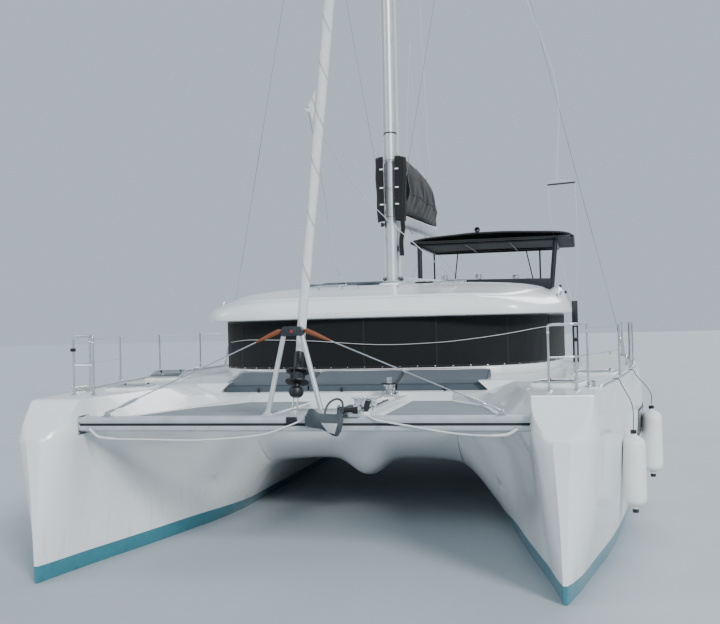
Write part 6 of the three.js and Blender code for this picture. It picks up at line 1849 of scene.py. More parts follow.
coamings = []
for side, label in ((1, "port"), (-1, "starboard")):
    for spot, name in ((HATCH_FORE, "fore"), (HATCH_AFT, "aft")):
        place = hatch_frame_at(side, spot)
        coamings.append(moved(ring_plate(0.285, 0.05, -0.004, 0.0235, 0.06), place))
        opened = math.radians(9) if (label, name) == ("starboard", "aft") else 0
        hinge = place @ Matrix.Translation((0, -HATCH_SIZE, 0.0243)) @ Matrix.Rotation(opened, 4, "X") \
            @ Matrix.Translation((0, HATCH_SIZE, 0))
        rim = ring_plate(0.258, 0.034, 0.0, 0.022, 0.045)
        coamings += [moved(bar((x - 0.03, -HATCH_SIZE, 0.0243), (x + 0.03, -HATCH_SIZE, 0.0243), 0.006, 12), place)
                     for x in (-0.16, 0.16)]
        handles = [turned([(0.012, 0.0), (0.012, 0.004), (0.007, 0.007), (0.007, 0.01), (0, 0.011)], (x, 0.2, 0.018), (0, 0, 1), 16)
                   for x in (-0.15, 0.15)]
        handles += [block((x - 0.005, x + 0.022), (0.196, 0.204), (0.026, 0.031), 0.002) for x in (-0.15, 0.15)]
        body = f"{label}_{name}_hatch_lid"
        piece(f"{label}_{name}_hatch_rim", moved(rim, hinge), ANODISED, body, body)
        pane = block((-0.23, 0.23), (-0.23, 0.23), (0.004, 0.019), 0.003)
        piece(f"{label}_{name}_hatch_pane", moved(pane, hinge), DARK_GLASS, body)
        piece(f"{label}_{name}_hatch_handles", moved(together(*handles), hinge), BLACK_PLASTIC, body)
piece("hatch_coamings", together(*coamings), WHITE_PLASTIC)


# Bow and stern cleats, deck fillers and small fittings
def make_cleat(x, y, z=DECK, turn=0.0):
    horns = tube(curved([(0, -0.15, 0.062), (0, -0.09, 0.052), (0, 0, 0.05), (0, 0.09, 0.052), (0, 0.15, 0.062)], 5),
                 [0.007, 0.009, 0.011, 0.013, 0.014, 0.015] + [0.016] * 9 + [0.015, 0.014, 0.013, 0.011, 0.009, 0.007], 12)
    legs = [turned([(0.024, 0.0), (0.024, 0.006), (0.014, 0.016), (0.013, 0.045)], (0, y_leg, 0), (0, 0, 1), 16)
            for y_leg in (-0.05, 0.05)]
    return moved(together(horns, *legs), Matrix.Translation((x, y, z)) @ Matrix.Rotation(turn, 4, "Z"))


pads = [block((side * 3.055 - 0.045, side * 3.055 + 0.045), (-4.96, -4.78), (DECK - 0.004, DECK + 0.0102), 0.004)
        for side in (1, -1)]
both_sides("deck_cleats", together(make_cleat(3.055, -4.87, 1.9095, 0.12), make_cleat(3.62, 0.1, DECK, 0.02),
                                   make_cleat(3.5, 4.55, DECK, -0.1)), STAINLESS)
piece("cleat_pads", together(*pads), WHITE_PLASTIC)
fillers = [turned([(0.034, 0.0), (0.034, 0.003), (0.03, 0.005), (0, 0.005)], (side * x, y, DECK), (0, 0, 1), 20)
           for side in (1, -1) for x, y in ((2.9, -0.6), (2.95, 0.25), (2.35, -4.95))]
stem_lights = [moved(together(block((-0.03, 0.03), (-0.012, 0.02), (-0.02, 0.02), 0.006)),
                     Matrix.Translation((side * 2.88, -5.3, 2.43))) for side in (1, -1)]
piece("deck_fillers", together(*fillers), STAINLESS)
piece("bow_lights", together(*stem_lights), BLACK_PLASTIC)


# Portlights in the hull sides, with frames
def hull_side(y, z):
    """The place across the boat of the hull's outer side at a height."""
    section = [point for point in hull_ring(y)[:60] if point.x > 2.7]
    crossings = [mix(a.x, b.x, (z - a.z) / (b.z - a.z)) for a, b in zip(section, section[1:]) if a.z < z <= b.z]
    return max(crossings)


def make_portlight(y0, y1, z0, z1):
    rows_glass = []
    center_y, center_z = (y0 + y1) / 2, (z0 + z1) / 2
    corners = [((y, z, 0), 0.07) for y, z in ((y1, center_z), (y1, z1), (y0, z1), (y0, z0), (y1, z0), (y1, center_z))]
    outline = evenly(rounded(corners, 6), 81)[:-1]
    frame_rows = []
    for p in outline:
        ring_line = []
        for grow, out in ((0.0, 0.002), (0.006, 0.0075), (0.026, 0.0075), (0.034, 0.001), (0.03, -0.01), (0.0, -0.01)):
            y = p.x + math.copysign(grow, p.x - center_y) * min(abs(p.x - center_y) / (abs(y1 - y0) / 2), 1)
            z = p.y + math.copysign(grow, p.y - center_z) * min(abs(p.y - center_z) / (abs(z1 - z0) / 2), 1)
            ring_line.append(Vector((hull_side(y, z) + out, y, z)))
        frame_rows.append(ring_line)
        rows_glass.append([Vector((hull_side(mix(center_y, p.x, s), mix(center_z, p.y, s)) + 0.003, mix(center_y, p.x, s),
                                   mix(center_z, p.y, s))) for s in (0.0, 0.34, 0.67, 1.0)])
    glass = skin(rows_glass + rows_glass[:1])
    frame = skin(frame_rows + frame_rows[:1], around=True)
    return glass, frame


glass_parts, frame_parts = [], []
for y0, y1, z0, z1 in ((-2.6, -1.5, 1.12, 1.42), (-0.3, 1.3, 1.12, 1.42), (2.0, 3.1, 1.12, 1.42)):
    glass, frame_shape = make_portlight(y0, y1, z0, z1)
    glass_parts.append(glass)
    frame_parts.append(frame_shape)
both_sides("portlight_glass", together(*glass_parts), DARK_GLASS, crease=60)
both_sides("portlight_frames", together(*frame_parts), DARK_PAINT, crease=50)


# Gangway stowed upright at the port rail, its bridle made up to a spreader bar
def make_gangway():
    x0, x1, y0, y1, top, stile = 2.79, 2.89, 1.25, 1.67, 2.95, 0.04
    stiles = []
    for y in (y0, y1 - stile):
        section = rounded([((x0, y, 0), 0.01), ((x1, y, 0), 0.01), ((x1, y + stile, 0), 0.01), ((x0, y + stile, 0), 0.01),
                           ((x0, y, 0), 0.01)], 3)[1:-1]
        section = [Vector((p.x, p.y, 0)) for p in section]
        stiles.append(skin([[Vector((p.x, p.y, z)) for p in section] for z in (DECK + 0.001, 2.4, top)], True, True))
    steps = []
    for k in range(7):
        z = 1.99 + 0.14 * k
        steps.append(block((x0 + 0.024, x1 - 0.024), (y0 + 0.03, y1 - 0.03), (z, z + 0.028), 0.006))
        steps += [block((x0 + 0.035 + 0.012 * n, x0 + 0.041 + 0.012 * n), (y0 + 0.05, y1 - 0.05), (z + 0.027, z + 0.0305))
                  for n in range(3)]
    return together(*stiles), together(*steps)


stiles, steps = make_gangway()
piece("gangway_stiles", stiles, GREY_ALLOY, stands_for="gangway")
piece("gangway_rungs", steps, ANODISED)
BRIDLE_Y = 1.0
spreader_bar = bar((2.445, BRIDLE_Y, 4.926), (2.911, BRIDLE_Y, 4.946), 0.014, 14)
wheels = [turned([(0.012, -0.02), (0.04, -0.02), (0.046, -0.008), (0.046, 0.008), (0.04, 0.02), (0.012, 0.02)],
                 (2.84, y, 2.0), (0, 1, 0), 20) for y in (1.215, 1.705)]
piece("gangway_spreader_bar", spreader_bar, GREY_ALLOY)
piece("gangway_wheels", together(*wheels), BLACK_RUBBER)
hang = on_mast(0.1, 0.05, 10.2)
bridle_lines = [[hang, (2.597, BRIDLE_Y, 6.871), (2.609, BRIDLE_Y, 5.004)],
                [(2.609, BRIDLE_Y, 5.004), (2.449, BRIDLE_Y, 4.936)], [(2.609, BRIDLE_Y, 5.004), (2.905, BRIDLE_Y, 4.951)],
                [(2.449, BRIDLE_Y, 4.922), (2.51, 1.12, 4.16), (2.8, 1.3, 2.94)],
                [(2.905, BRIDLE_Y, 4.936), (2.92, 1.2, 3.87), (2.85, 1.62, 2.94)]]
piece("gangway_bridle", ropes([curved(points, 4) for points in bridle_lines], 0.0045, 6), WHITE_ROPE, crease=80)


# Fenders with an eye at each end, hung from the toe rail
def make_fender(y, z):
    radius, length = 0.135, 0.95
    side = mix(smooth(OUTBOARD, 3, y), smooth(OUTBOARD, 4, y), (z + length - 0.15 - 0.8) / 0.7)
    x = side + radius - 0.012
    arc = [(0.028, 0.0), (0.034, 0.05), (0.045, 0.062)]
    arc += [(0.045 + 0.09 * math.sin(k * math.pi / 16), 0.075 + 0.09 * (1 - math.cos(k * math.pi / 16))) for k in range(1, 9)]
    ribs = []
    for k in range(1, 12):
        ribs.append((0.135, mix(0.165, length - 0.165, k / 12)))
    profile = arc + ribs + [(r, length - h) for r, h in arc[::-1]]
    body = turned([(0, 0.0)] + profile + [(0, length)], (x, y, z), (0, 0, 1), 40)
    for vertex in body.verts:
        inside = smooth(OUTBOARD, 3, y) + (vertex.co.z - 0.8) / 0.7 * (smooth(OUTBOARD, 4, y) - smooth(OUTBOARD, 3, y)) + 0.003
        vertex.co.x = max(vertex.co.x, inside)
    eyes = together(*[turned([(0.012, -0.002), (0.034, 0.0), (0.036, 0.03), (0.03, 0.055), (0.012, 0.06)], (x, y, at_z), (0, 0, way), 20)
                      for at_z, way in ((z + length + 0.004, -1), (z - 0.004, 1))])
    return x, body, eyes


for name, y, z in (("fore_fender", -3.9, 0.38), ("aft_fender", -2.0, 0.49)):
    x, body, eyes = make_fender(y, z)
    edge_x = deck_edge(y)
    piece(f"{name}_body", body, FENDER_VINYL, stands_for=name, crease=60)
    eye_piece = piece(f"{name}_eyes", eyes, DARK_PAINT)
    line = curved([(edge_x - 0.06, y, 1.935), (edge_x + 0.01, y, 1.925), (edge_x + 0.045, y, 1.86), (x - 0.005, y, 1.62),
                   (x, y, z + 0.945)], 8)
    rope = piece(f"{name}_line", ropes([line], 0.005, 8), DARK_ROPE, crease=80)

# Boarding ladder
LADDER_PLACE = Matrix.Translation((-2.75, 6.422, 0.44))
stile_tubes = [bent([(side * 0.17, 0, -0.0), (side * 0.17, 0, 0.9)], 0.015, 0.02, 12) for side in (1, -1)]
top_bow = tube(rounded([((-0.17, 0, 0.86), 0.05), ((-0.17, 0, 0.905), 0.04), ((0.17, 0, 0.905), 0.04), ((0.17, 0, 0.86), 0.05)], 6),
               0.0145, 12)
pin = bar((-0.185, 0, 0), (0.185, 0, 0), 0.0135, 12)
piece("ladder_tubes", moved(together(*stile_tubes, top_bow, pin), LADDER_PLACE), STAINLESS, "boarding_ladder", "boarding_ladder")
treads = [block((-0.165, 0.165), (-0.036, 0.014), (z - 0.012, z + 0.01), 0.005) for z in (0.13, 0.4, 0.67)]
piece("ladder_treads", moved(together(*treads), LADDER_PLACE), TEAK, "boarding_ladder")


# Aft bulkhead with its doorway, and the glass doors
def frame_plate(outline, hole, depth, edge=0.01):
    """A flat wall with a rounded opening: both are (x, z) rectangles' corners."""
    (x0, x1, z0, z1), (a0, a1, b0, b1) = outline, hole
    outer = rounded([((x, z, 0), 0.012) for x, z in ((x1, 0.5 * (z0 + z1)), (x1, z1), (x0, z1), (x0, z0), (x1, z0),
                                                     (x1, 0.5 * (z0 + z1)))], 3)[:-1]
    inner = rounded([((x, z, 0), 0.05) for x, z in ((a1, 0.5 * (b0 + b1)), (a1, b1), (a0, b1), (a0, b0), (a1, b0),
                                                    (a1, 0.5 * (b0 + b1)))], 3)[:-1]
    rows = []
    for p, q in zip(outer, inner):
        rows.append([Vector((q.x, depth[0], q.y)), Vector((p.x, depth[0], p.y)), Vector((p.x, depth[1], p.y)),
                     Vector((q.x, depth[1] - 0.0, q.y)), Vector((q.x, depth[1] - 0.004, q.y)), Vector((q.x, depth[0] + 0.004, q.y))])
    return skin(rows + rows[:1], around=True)


lower = frame_plate((-2.1897, 2.1897, SOLE + 0.0003, DECK), (-1.0, 0.62, 1.26, DECK - 0.3), (1.5, 1.55))
lower.free()
wall_bits = [block((-2.1897, -1.0), (1.5, 1.55), (SOLE + 0.0003, DECK), 0.004), block((0.62, 2.1897), (1.5, 1.55), (SOLE + 0.0003, DECK), 0.004),
             block((-1.001, 0.621), (1.5, 1.55), (SOLE + 0.0003, 1.26), 0.004),
             block((-2.588, -1.0), (1.5, 1.55), (DECK - 0.002, 2.7345), 0.004), block((0.62, 2.588), (1.5, 1.55), (DECK - 0.002, 2.7345), 0.004),
             block((-1.001, 0.621), (1.5, 1.55), (2.64, 2.7345), 0.004)]
piece("bulkhead_panels", together(*wall_bits), GELCOAT, stands_for="aft_bulkhead")
door_trim = [bent([(-1.03, 1.555, 1.235), (-1.03, 1.555, 2.675), (0.65, 1.555, 2.675)], 0.006, 0.03, 6),
             block((-1.02, 0.84), (1.556, 1.602), (1.214, 1.238), 0.004), block((-1.02, 0.84), (1.556, 1.602), (2.668, 2.7), 0.004)]
piece("door_tracks", together(*door_trim), ANODISED)
slab = block((-0.995, -0.195), (1.574, 1.583), (1.285, 2.63), 0.002)
piece("sliding_door_glass", slab, DARK_GLASS, "sliding_door", "sliding_door")
door_frame = [block((-1.03, -0.99), (1.561, 1.596), (1.246, 2.665), 0.006), block((-0.2, -0.16), (1.561, 1.596), (1.246, 2.665), 0.006),
              block((-1.0, -0.19), (1.561, 1.596), (1.246, 1.29), 0.006), block((-1.0, -0.19), (1.561, 1.596), (2.625, 2.665), 0.006)]
piece("sliding_door_frame", together(*door_frame), ANODISED, "sliding_door")
handle = bent([(-0.975, 1.594, 1.95), (-0.975, 1.606, 1.95), (-0.975, 1.606, 2.2), (-0.975, 1.594, 2.2)], 0.005, 0.006, 8)
piece("sliding_door_handle", handle, STAINLESS, "sliding_door")
fixed = [block((-0.12, 0.60), (1.518, 1.528), (1.29, 2.62), 0.002)]
piece("fixed_pane_glass", together(*fixed), DARK_GLASS, stands_for="fixed_door_pane")
fixed_frame = [block((-0.15, -0.11), (1.51, 1.535), (1.2603, 2.6397), 0.004), block((0.58, 0.62), (1.51, 1.535), (1.2603, 2.6397), 0.004),
               block((-0.12, 0.6), (1.51, 1.535), (1.2603, 1.3), 0.004), block((-0.12, 0.6), (1.51, 1.535), (2.6, 2.6397), 0.004)]
piece("fixed_pane_frame", together(*fixed_frame), ANODISED)

# Cockpit sole, benches and their cushions
sole = block((-2.18, 2.18), (1.56, 4.68), (SOLE, SOLE + 0.009), 0.003)
piece("cockpit_teak", sole, TEAK)
bench_bits = [block((-0.98, 0.98), (4.08, 4.69), (SOLE + 0.009, 1.54), 0.02), block((-0.98, 0.98), (4.64, 4.69), (1.5, 2.06), 0.015)]
piece("aft_bench_base", together(*bench_bits), GELCOAT, stands_for="aft_bench")
side_bits = [block((-2.1897, -1.58), (1.9, 3.8), (SOLE + 0.009, 1.54), 0.02), block((-2.1897, -2.14), (1.9, 3.8), (1.5, 2.06), 0.015)]
piece("side_bench_base", together(*side_bits), GELCOAT, stands_for="side_bench")


def pad(x, y, z, edge=0.03):
    return block(x, y, z, edge, 3)


cushion("aft_bench_cushions", [pad(x, (4.09, 4.59), (1.541, 1.635)) for x in ((-0.97, -0.33), (-0.32, 0.32), (0.33, 0.97))],
        GREY_CUSHION, 0.7, 0.014, 0.012)
cushion("aft_bench_back", [pad(x, (4.56, 4.638), (1.65, 2.07)) for x in ((-0.97, -0.01), (0.01, 0.97))], GREY_CUSHION, 0.7,
        0.014, 0.012)
cushion("side_bench_cushions", [pad((-2.1, -1.59), y, (1.541, 1.635)) for y in ((1.91, 2.53), (2.54, 3.16), (3.17, 3.79))],
        GREY_CUSHION, 0.7, 0.014, 0.012)
cushion("side_bench_back", [pad((-2.138, -2.07), y, (1.65, 2.07)) for y in ((1.91, 2.84), (2.86, 3.79))], GREY_CUSHION, 0.7,
        0.014, 0.012)
bench_piping = []
for x0, x1 in ((-0.97, -0.33), (-0.32, 0.32), (0.33, 0.97)):
    bench_piping.append(bent([(x0 + 0.015, 4.105, 1.638), (x1 - 0.015, 4.105, 1.638), (x1 - 0.015, 4.56, 1.638),
                              (x0 + 0.015, 4.56, 1.638), (x0 + 0.015, 4.105, 1.638)], 0.004, 0.03, 6, 3))
for y0, y1 in ((1.91, 2.53), (2.54, 3.16), (3.17, 3.79)):
    bench_piping.append(bent([(-1.605, y0 + 0.015, 1.638), (-1.605, y1 - 0.015, 1.638), (-2.07, y1 - 0.015, 1.638),
                              (-2.07, y0 + 0.015, 1.638), (-1.605, y0 + 0.015, 1.638)], 0.004, 0.03, 6, 3))
piece("bench_piping", together(*bench_piping), WEBBING, crease=60)

# Helm: station, console with its instruments, wheel and seat
station = [block((1.25, 2.1897), (1.66, 2.5), (SOLE + 0.009, 2.16), 0.02), block((1.0, 2.1897), (1.66, 3.03), (2.15, 2.238), 0.015),
           block((1.0, 1.26), (1.76, 2.4), (SOLE + 0.009, 1.72), 0.02)]
console = plate([(1.66, 2.23), (1.66, 3.2), (1.69, 3.228), (1.74, 3.228), (1.79, 3.16), (1.808, 3.05), (1.808, 2.23)],
                (1.04, 2.15), "x", 0.014, 3)
piece("helm_station_moulding", together(*station, console), GELCOAT, stands_for="helm_station")
boss = turned([(0.075, -0.02), (0.075, 0.004), (0.06, 0.014), (0.03, 0.02), (0.028, 0.0385)], (1.6, 1.806, 3.0), (0, 1, 0), 28)
levers = []
for x in (2.02, 2.06):
    levers += [bar((x, 1.74, 3.22), (x, 1.79, 3.36), 0.007, 10), ball((x, 1.795, 3.37), 0.02, 14, 10)]
piece("helm_levers", together(boss, *levers), STAINLESS)
panels = [block((1.12, 1.36), (1.795, 1.812), (3.02, 3.13), 0.006), block((1.84, 2.1), (1.795, 1.812), (2.98, 3.13), 0.006),
          turned([(0.055, 0), (0.055, 0.012), (0.045, 0.016), (0, 0.018)], (1.24, 1.806, 2.9), (0, 1, 0), 24),
          turned([(0.07, 0.0), (0.066, 0.02), (0.05, 0.05), (0, 0.065)], (1.6, 1.715, 3.228), (0, 0, 1), 24)]
piece("helm_instruments", together(*panels), BLACK_PLASTIC)
screens = [block((1.135, 1.345), (1.8115, 1.8135), (3.033, 3.117), 0.001), block((1.855, 2.085), (1.8115, 1.8135), (2.995, 3.115), 0.001)]
piece("helm_screens", together(*screens), DARK_GLASS)
step_pads = [block((1.02, 1.24), (1.78, 2.38), (1.7195, 1.724)), block((1.06, 2.1), (1.85, 2.58), (2.2375, 2.242))]
piece("helm_grip_pads", together(*step_pads), TEAK)


def make_wheel():
    rim = ring((0, 0, 0), (0, 1, 0), 0.37, 0.0155, 64, 12)
    grips = [ball((0.37 * math.cos(a), 0, 0.37 * math.sin(a)), 0.0165, 10, 8) for a in [k * math.tau / 5 + 1.571 for k in range(5)]]
    hub = turned([(0, -0.04), (0.042, -0.04), (0.05, -0.032), (0.05, 0.014), (0.04, 0.02), (0, 0.02)], (0, 0, 0), (0, -1, 0), 28)
    spokes = []
    for k in range(5):
        a = k * math.tau / 5 + math.pi / 2
        out = Vector((math.cos(a), 0, math.sin(a)))
        spokes.append(tube([out * 0.03, out * 0.2 + Vector((0, -0.004, 0)), out * 0.36], [0.012, 0.009, 0.008], 10))
    return together(hub, *spokes), together(rim, *grips)


wheel_metal, wheel_rim = make_wheel()
place = Matrix.Translation((1.6, 1.88, 3.0))
piece("wheel_spokes", moved(wheel_metal, place), STAINLESS, "steering_wheel", "steering_wheel")
piece("wheel_rim", moved(wheel_rim, place), BLACK_RUBBER, "steering_wheel", crease=60)
seat_base = [block((1.06, 2.15), (2.63, 2.99), (2.2403, 2.6), 0.02), block((1.06, 2.15), (2.962, 3.0), (2.59, 3.14), 0.012)]
piece("helm_seat_base", together(*seat_base), GELCOAT, stands_for="helm_seat")
cushion("helm_seat_cushion", [pad((1.07, 2.14), (2.635, 2.95), (2.601, 2.695))], GREY_CUSHION, 0.75, 0.014, 0.012)
cushion("helm_seat_back", [pad((1.07, 2.14), (2.9, 2.96), (2.76, 3.13))], GREY_CUSHION, 0.75, 0.014, 0.012)

# Bimini over the helm: cloth on a frame, its rounded front edge and the posts
BIMINI_SIDES = (0.088, 2.866)
BIMINI_ENDS = (0.76, 3.16)
BIMINI_TOP = [(0.09, 4.06), (0.327, 4.106), (0.814, 4.143), (1.225, 4.166), (1.631, 4.168), (2.148, 4.149), (2.641, 4.121),
              (2.771, 4.094), (2.862, 4.056)]


def bimini_z(x, y):
    near = min(y - BIMINI_ENDS[0], BIMINI_ENDS[1] - y)
    sink = 0.035 * (1 - blend_in(near, 0, 0.09)) ** 2
    z = smooth(BIMINI_TOP, 1, x) - sink - 0.01 * math.sin(math.pi * blend_in(near, 0, 1.2)) * math.sin(x * 2.2) ** 2
    side = min(x - BIMINI_SIDES[0], BIMINI_SIDES[1] - x)
    return mix(z, 4.035, (1 - blend_in(side, -0.02, 0.07)) * 0.9)


def make_bimini():
    rows = []
    for n in range(61):
        y = mix(BIMINI_ENDS[0], BIMINI_ENDS[1], n / 60)
        near = min(y - BIMINI_ENDS[0], BIMINI_ENDS[1] - y)
        shrink = 0.03 * (1 - blend_in(near, 0, 0.05))
        row = []
        for k in range(81):
            x = mix(BIMINI_SIDES[0], BIMINI_SIDES[1], k / 80)
            side = min(x - BIMINI_SIDES[0], BIMINI_SIDES[1] - x)
            row.append(Vector((x + (shrink if x < 1.4 else -shrink) * (1 - blend_in(side, 0, 0.4)), y, bimini_z(x, y))))
        low = 4.008
        row = [Vector((row[0].x + 0.012, y + 0, low))] + row + [Vector((row[-1].x - 0.012, y, low))]
        rows.append(row)
    return skin(rows)


bimini = piece("bimini_cloth", make_bimini(), BLACK_CANVAS, stands_for="bimini_top", crease=80)
add_modifier(bimini, "SOLIDIFY", thickness=0.004, offset=-1)
lining = skin([[Vector((mix(0.12, 2.84, k / 40), mix(0.79, 3.13, n / 30), 4.012 + 0.02 * math.sin(math.pi * k / 40)))
                for k in range(41)] for n in range(31)])
lining_piece = piece("bimini_lining", lining, BLACK_CANVAS, crease=80)
add_modifier(lining_piece, "SOLIDIFY", thickness=0.003, offset=1)
edge_line = rounded([((x, y, 4.022), 0.1) for x, y in ((1.5, 0.765), (2.855, 0.765), (2.855, 3.155), (0.1, 3.155), (0.1, 0.765),
                                                       (1.5, 0.765))], 6)
trims = [tube(edge_line, 0.017, 10)]
for y in (1.35, 1.95, 2.55):
    trims.append(strip([Vector((x, y, bimini_z(x, y) + 0.0025)) for x in [0.16 + k * 0.045 for k in range(59)]], 0.03, 0.003,
                       Vector((0, 1, 0))))
piece("bimini_trim", together(*trims), WEBBING, crease=50)

SILL = [(0.2, 3.24), (1.6, 3.24), (2.15, 3.165), (2.52, 3.095), (2.515, 3.334), (0.2, 3.378)]
frame_bits = [plate(SILL, (0.847, 0.913), "y", 0.012, 3)]
frame_bits += [tube([(0.242, 0.88, 3.26), (0.242, 0.88, 4.01)], 0.041, 24), tube([(2.475, 0.88, 3.15), (2.562, 0.88, 4.01)], 0.041, 24)]
frame_bits += [bar((0.19, 2.9, 3.308), (0.19, 2.9, 4.01), 0.016, 14), bar((2.205, 3.14, 3.308), (2.205, 3.14, 4.01), 0.016, 14)]
frame_bits.append(tube(rounded([((x, y, 3.984), 0.06) for x, y in ((1.4, 0.88), (2.562, 0.88), (2.562, 3.14), (0.19, 3.14),
                                                                   (0.19, 0.88), (1.4, 0.88))], 5), 0.02, 12))
frame_bits += [bar((x, 0.88, 3.99), (x, 3.14, 3.99), 0.012, 10) for x in (1.0, 1.78)]
frame_bits += [tube([(0.56, 2.95, 3.28), (0.65, 2.95, 3.99)], 0.011, 10), tube([(2.12, 2.9, 3.2), (1.955, 2.9, 3.99)], 0.011, 10)]
piece("bimini_posts", together(*frame_bits), DARK_PAINT, stands_for="bimini_frame")
bracket = [block((2.62, 2.8), (0.752, 0.8), (4.0, 4.045), 0.012), block((2.66, 2.76), (0.748, 0.76), (4.008, 4.036), 0.006)]
horn = turned([(0.012, -0.06), (0.016, 0.0), (0.03, 0.06), (0.048, 0.09), (0.044, 0.09), (0.02, 0.05)], (1.26, 0.86, 4.2), (0, -1, 0), 20)
horn_foot = block((1.235, 1.285), (0.86, 0.91), (4.15, 4.19), 0.006)
piece("bimini_brackets", together(*bracket, horn, horn_foot), GREY_ALLOY)

# Winches, clutches and lines on the roof beside the helm
def make_winch(x, y):
    z = roof_z(x, y) - 0.004
    return turned([(0.085, 0.0), (0.085, 0.016), (0.07, 0.03), (0.05, 0.05), (0.044, 0.09), (0.05, 0.125), (0.064, 0.14),
                   (0.064, 0.15), (0.05, 0.156), (0.05, 0.166), (0.06, 0.172), (0.056, 0.182), (0.02, 0.184), (0.018, 0.176),
                   (0, 0.176)], (x, y, z), (0, 0, 1), 32)


winches = [make_winch(x, 1.38) for x in (0.6, 1.2, 1.85)]
piece("roof_winches", together(*winches), STAINLESS)
clutches = []
for n in range(6):
    x = 0.42 + n * 0.085
    z = roof_z(x, 0.62)
    clutches.append(block((x - 0.017, x + 0.017), (0.5, 0.72), (z - 0.004, z + 0.05), 0.01))
    clutches.append(block((x - 0.014, x + 0.014), (0.5, 0.66), (z + 0.052, z + 0.064), 0.005))
organiser = [block((0.3, 0.9), (-0.02, 0.05), (roof_z(0.6, 0) - 0.004, roof_z(0.6, 0) + 0.03), 0.008)]
piece("rope_clutches", together(*clutches, *organiser), BLACK_PLASTIC)
leads, sets = [], []
for n in range(6):
    x = 0.42 + n * 0.085
    leads.append([(0.13 + 0.012 * n, MAST_Y + 0.02, 3.37), (0.3 + n * 0.1, 0.0, roof_z(0.5, 0) + 0.034),
                  (x, 0.5, roof_z(x, 0.5) + 0.03), (x, 0.74, roof_z(x, 0.74) + 0.03), (0.6 if n < 3 else 1.2, 1.3, roof_z(0.8, 1.3) + 0.09)])
piece("roof_lines", ropes([curved(points, 6) for points in leads], 0.0055, 6), WHITE_ROPE, crease=80)
hung = coil((0.38, 1.0, roof_z(0.38, 1.0) + 0.008), 0.1, 4, 0.011, spread=0.02)
hung_rope = piece("halyard_coil", ropes([hung], 0.005, 6), ORANGE_ROPE, crease=80)
del sets

# Handrails, roof hatches and vents
rails = []
for x0, x1, y in ((0.3, 0.56, -1.52), (0.92, 1.16, -1.5), (-0.56, -0.3, -1.52), (-1.16, -0.92, -1.5)):
    ends = [(x0, y, roof_z(x0, y)), (x1, y, roof_z(x1, y))]
    rails.append(bent([ends[0], (x0 + 0.02, y, ends[0][2] + 0.05), (x1 - 0.02, y, ends[1][2] + 0.05), ends[1]], 0.011, 0.03, 10))
for side in (1, -1):
    for y0, y1 in ((-1.2, 0.2), (0.6, 2.0), (2.4, 3.8)):
        line = []
        for k in range(13):
            y = mix(y0, y1, k / 12)
            x = side * (smooth(ROOF, 1, y) - 0.16)
            line.append(Vector((x, y, roof_z(x, y) + 0.055 * blend_in(min(k, 12 - k), 0, 1))))
        rails.append(tube(line, 0.0125, 10))
        for k in (0, 6, 12):
            y = mix(y0, y1, k / 12)
            x = side * (smooth(ROOF, 1, y) - 0.16)
            rails.append(foot_flange(x, y, roof_z(x, y) - 0.003, 0.03))
piece("roof_handrails", together(*rails), STAINLESS)
roof_hatch, roof_glass = [], []
for x, y in ((0.95, -0.55), (-0.95, -0.75), (-0.9, 3.0)):
    tilt = Matrix.Translation((x, y, roof_z(x, y) - 0.006)) @ Matrix.Rotation(
        math.atan2(roof_z(x + 0.2, y) - roof_z(x - 0.2, y), 0.4) * -1, 4, "Y") @ Matrix.Rotation(
        math.atan2(roof_z(x, y + 0.2) - roof_z(x, y - 0.2), 0.4), 4, "X")
    roof_hatch.append(moved(ring_plate(0.24, 0.035, -0.01, 0.034, 0.05), tilt))
    roof_glass.append(moved(block((-0.21, 0.21), (-0.21, 0.21), (0.01, 0.03), 0.003), tilt))
piece("roof_hatch_frames", together(*roof_hatch), ANODISED)
piece("roof_hatch_panes", together(*roof_glass), DARK_GLASS)
vents = [block((2.69, 2.76), (y, y + 0.16), (2.89, 2.93), 0.006) for y in (1.2, 1.5)]
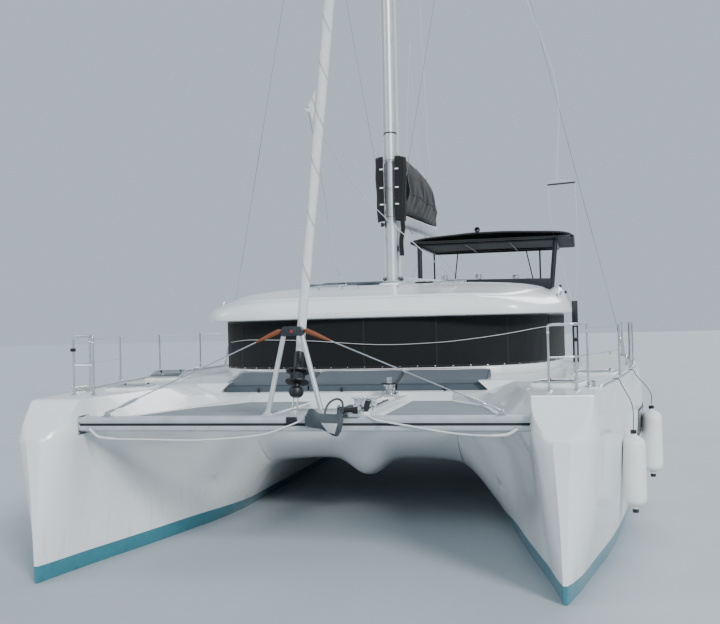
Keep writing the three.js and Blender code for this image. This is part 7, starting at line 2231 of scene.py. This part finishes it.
knobs = [turned([(0.02, 0), (0.024, 0.01), (0.024, 0.035), (0.016, 0.045), (0, 0.046)], (x, y, z), (0.6, 0, 1), 14)
         for x, y, z in ((2.6, 1.25, 3.19), (2.68, 1.55, 3.09))]
piece("coaming_vents", together(*vents, *knobs), BLACK_PLASTIC)

# Two-tier cushion on the roof
roof_pads = []
for x0, x1, y0, y1, z in ((-1.79, -1.015, 0.31, 2.29, 3.345), (-1.005, -0.23, 0.31, 2.29, 3.345), (-1.72, -0.3, 1.5, 2.26, 3.415)):
    low = min(roof_z(x0, y0), roof_z(x1, y1), roof_z(x0, y1)) - 0.004 if z < 3.4 else 3.35
    roof_pads.append(block((x0, x1), (y0, y1), (low, z), 0.025, 3))
cushion("roof_cushions", roof_pads, GREY_CUSHION, 0.7, 0.02, 0.012, stands_for="roof_pad")


# Studio: a pale floor at the waterline, a soft sky and broad lights
def make_studio():
    world = bpy.data.worlds.new("studio")
    bpy.context.scene.world = world
    world.use_nodes = True
    world.node_tree.nodes["Background"].inputs[0].default_value = (0.7, 0.82, 0.95, 1)
    world.node_tree.nodes["Background"].inputs[1].default_value = 0.75
    shape = bmesh.new()
    bmesh.ops.create_grid(shape, x_segments=1, y_segments=1, size=150)
    mesh = bpy.data.meshes.new("floor")
    shape.to_mesh(mesh)
    shape.free()
    floor = bpy.data.objects.new("floor", mesh)
    bpy.context.scene.collection.objects.link(floor)
    floor_finish = Finish("pale_floor", Roughness=0.7)
    floor_finish.place()
    cloudy = floor_finish.noise(0.4, 2)
    floor_finish.set(Base_Color=floor_finish.tint(cloudy, paint("a9b2b8"), paint("b2babf")))
    mesh.materials.append(floor_finish.material)
    for name, place, aim, spread, power in [
            ("key_light", (22, -26, 20), (0, 0, 2), 14, 3.1),
            ("side_light", (-24, -8, 14), (0, 0, 2), 26, 0.7),
            ("back_light", (6, 26, 20), (0, 2, 3), 30, 1.2)]:
        light = bpy.data.objects.new(name, bpy.data.lights.new(name, "SUN"))
        bpy.context.scene.collection.objects.link(light)
        light.data.angle = math.radians(spread)
        light.data.energy = power
        light.location = place
        light.rotation_euler = (Vector(aim) - Vector(place)).to_track_quat("-Z", "Y").to_euler()


make_studio()
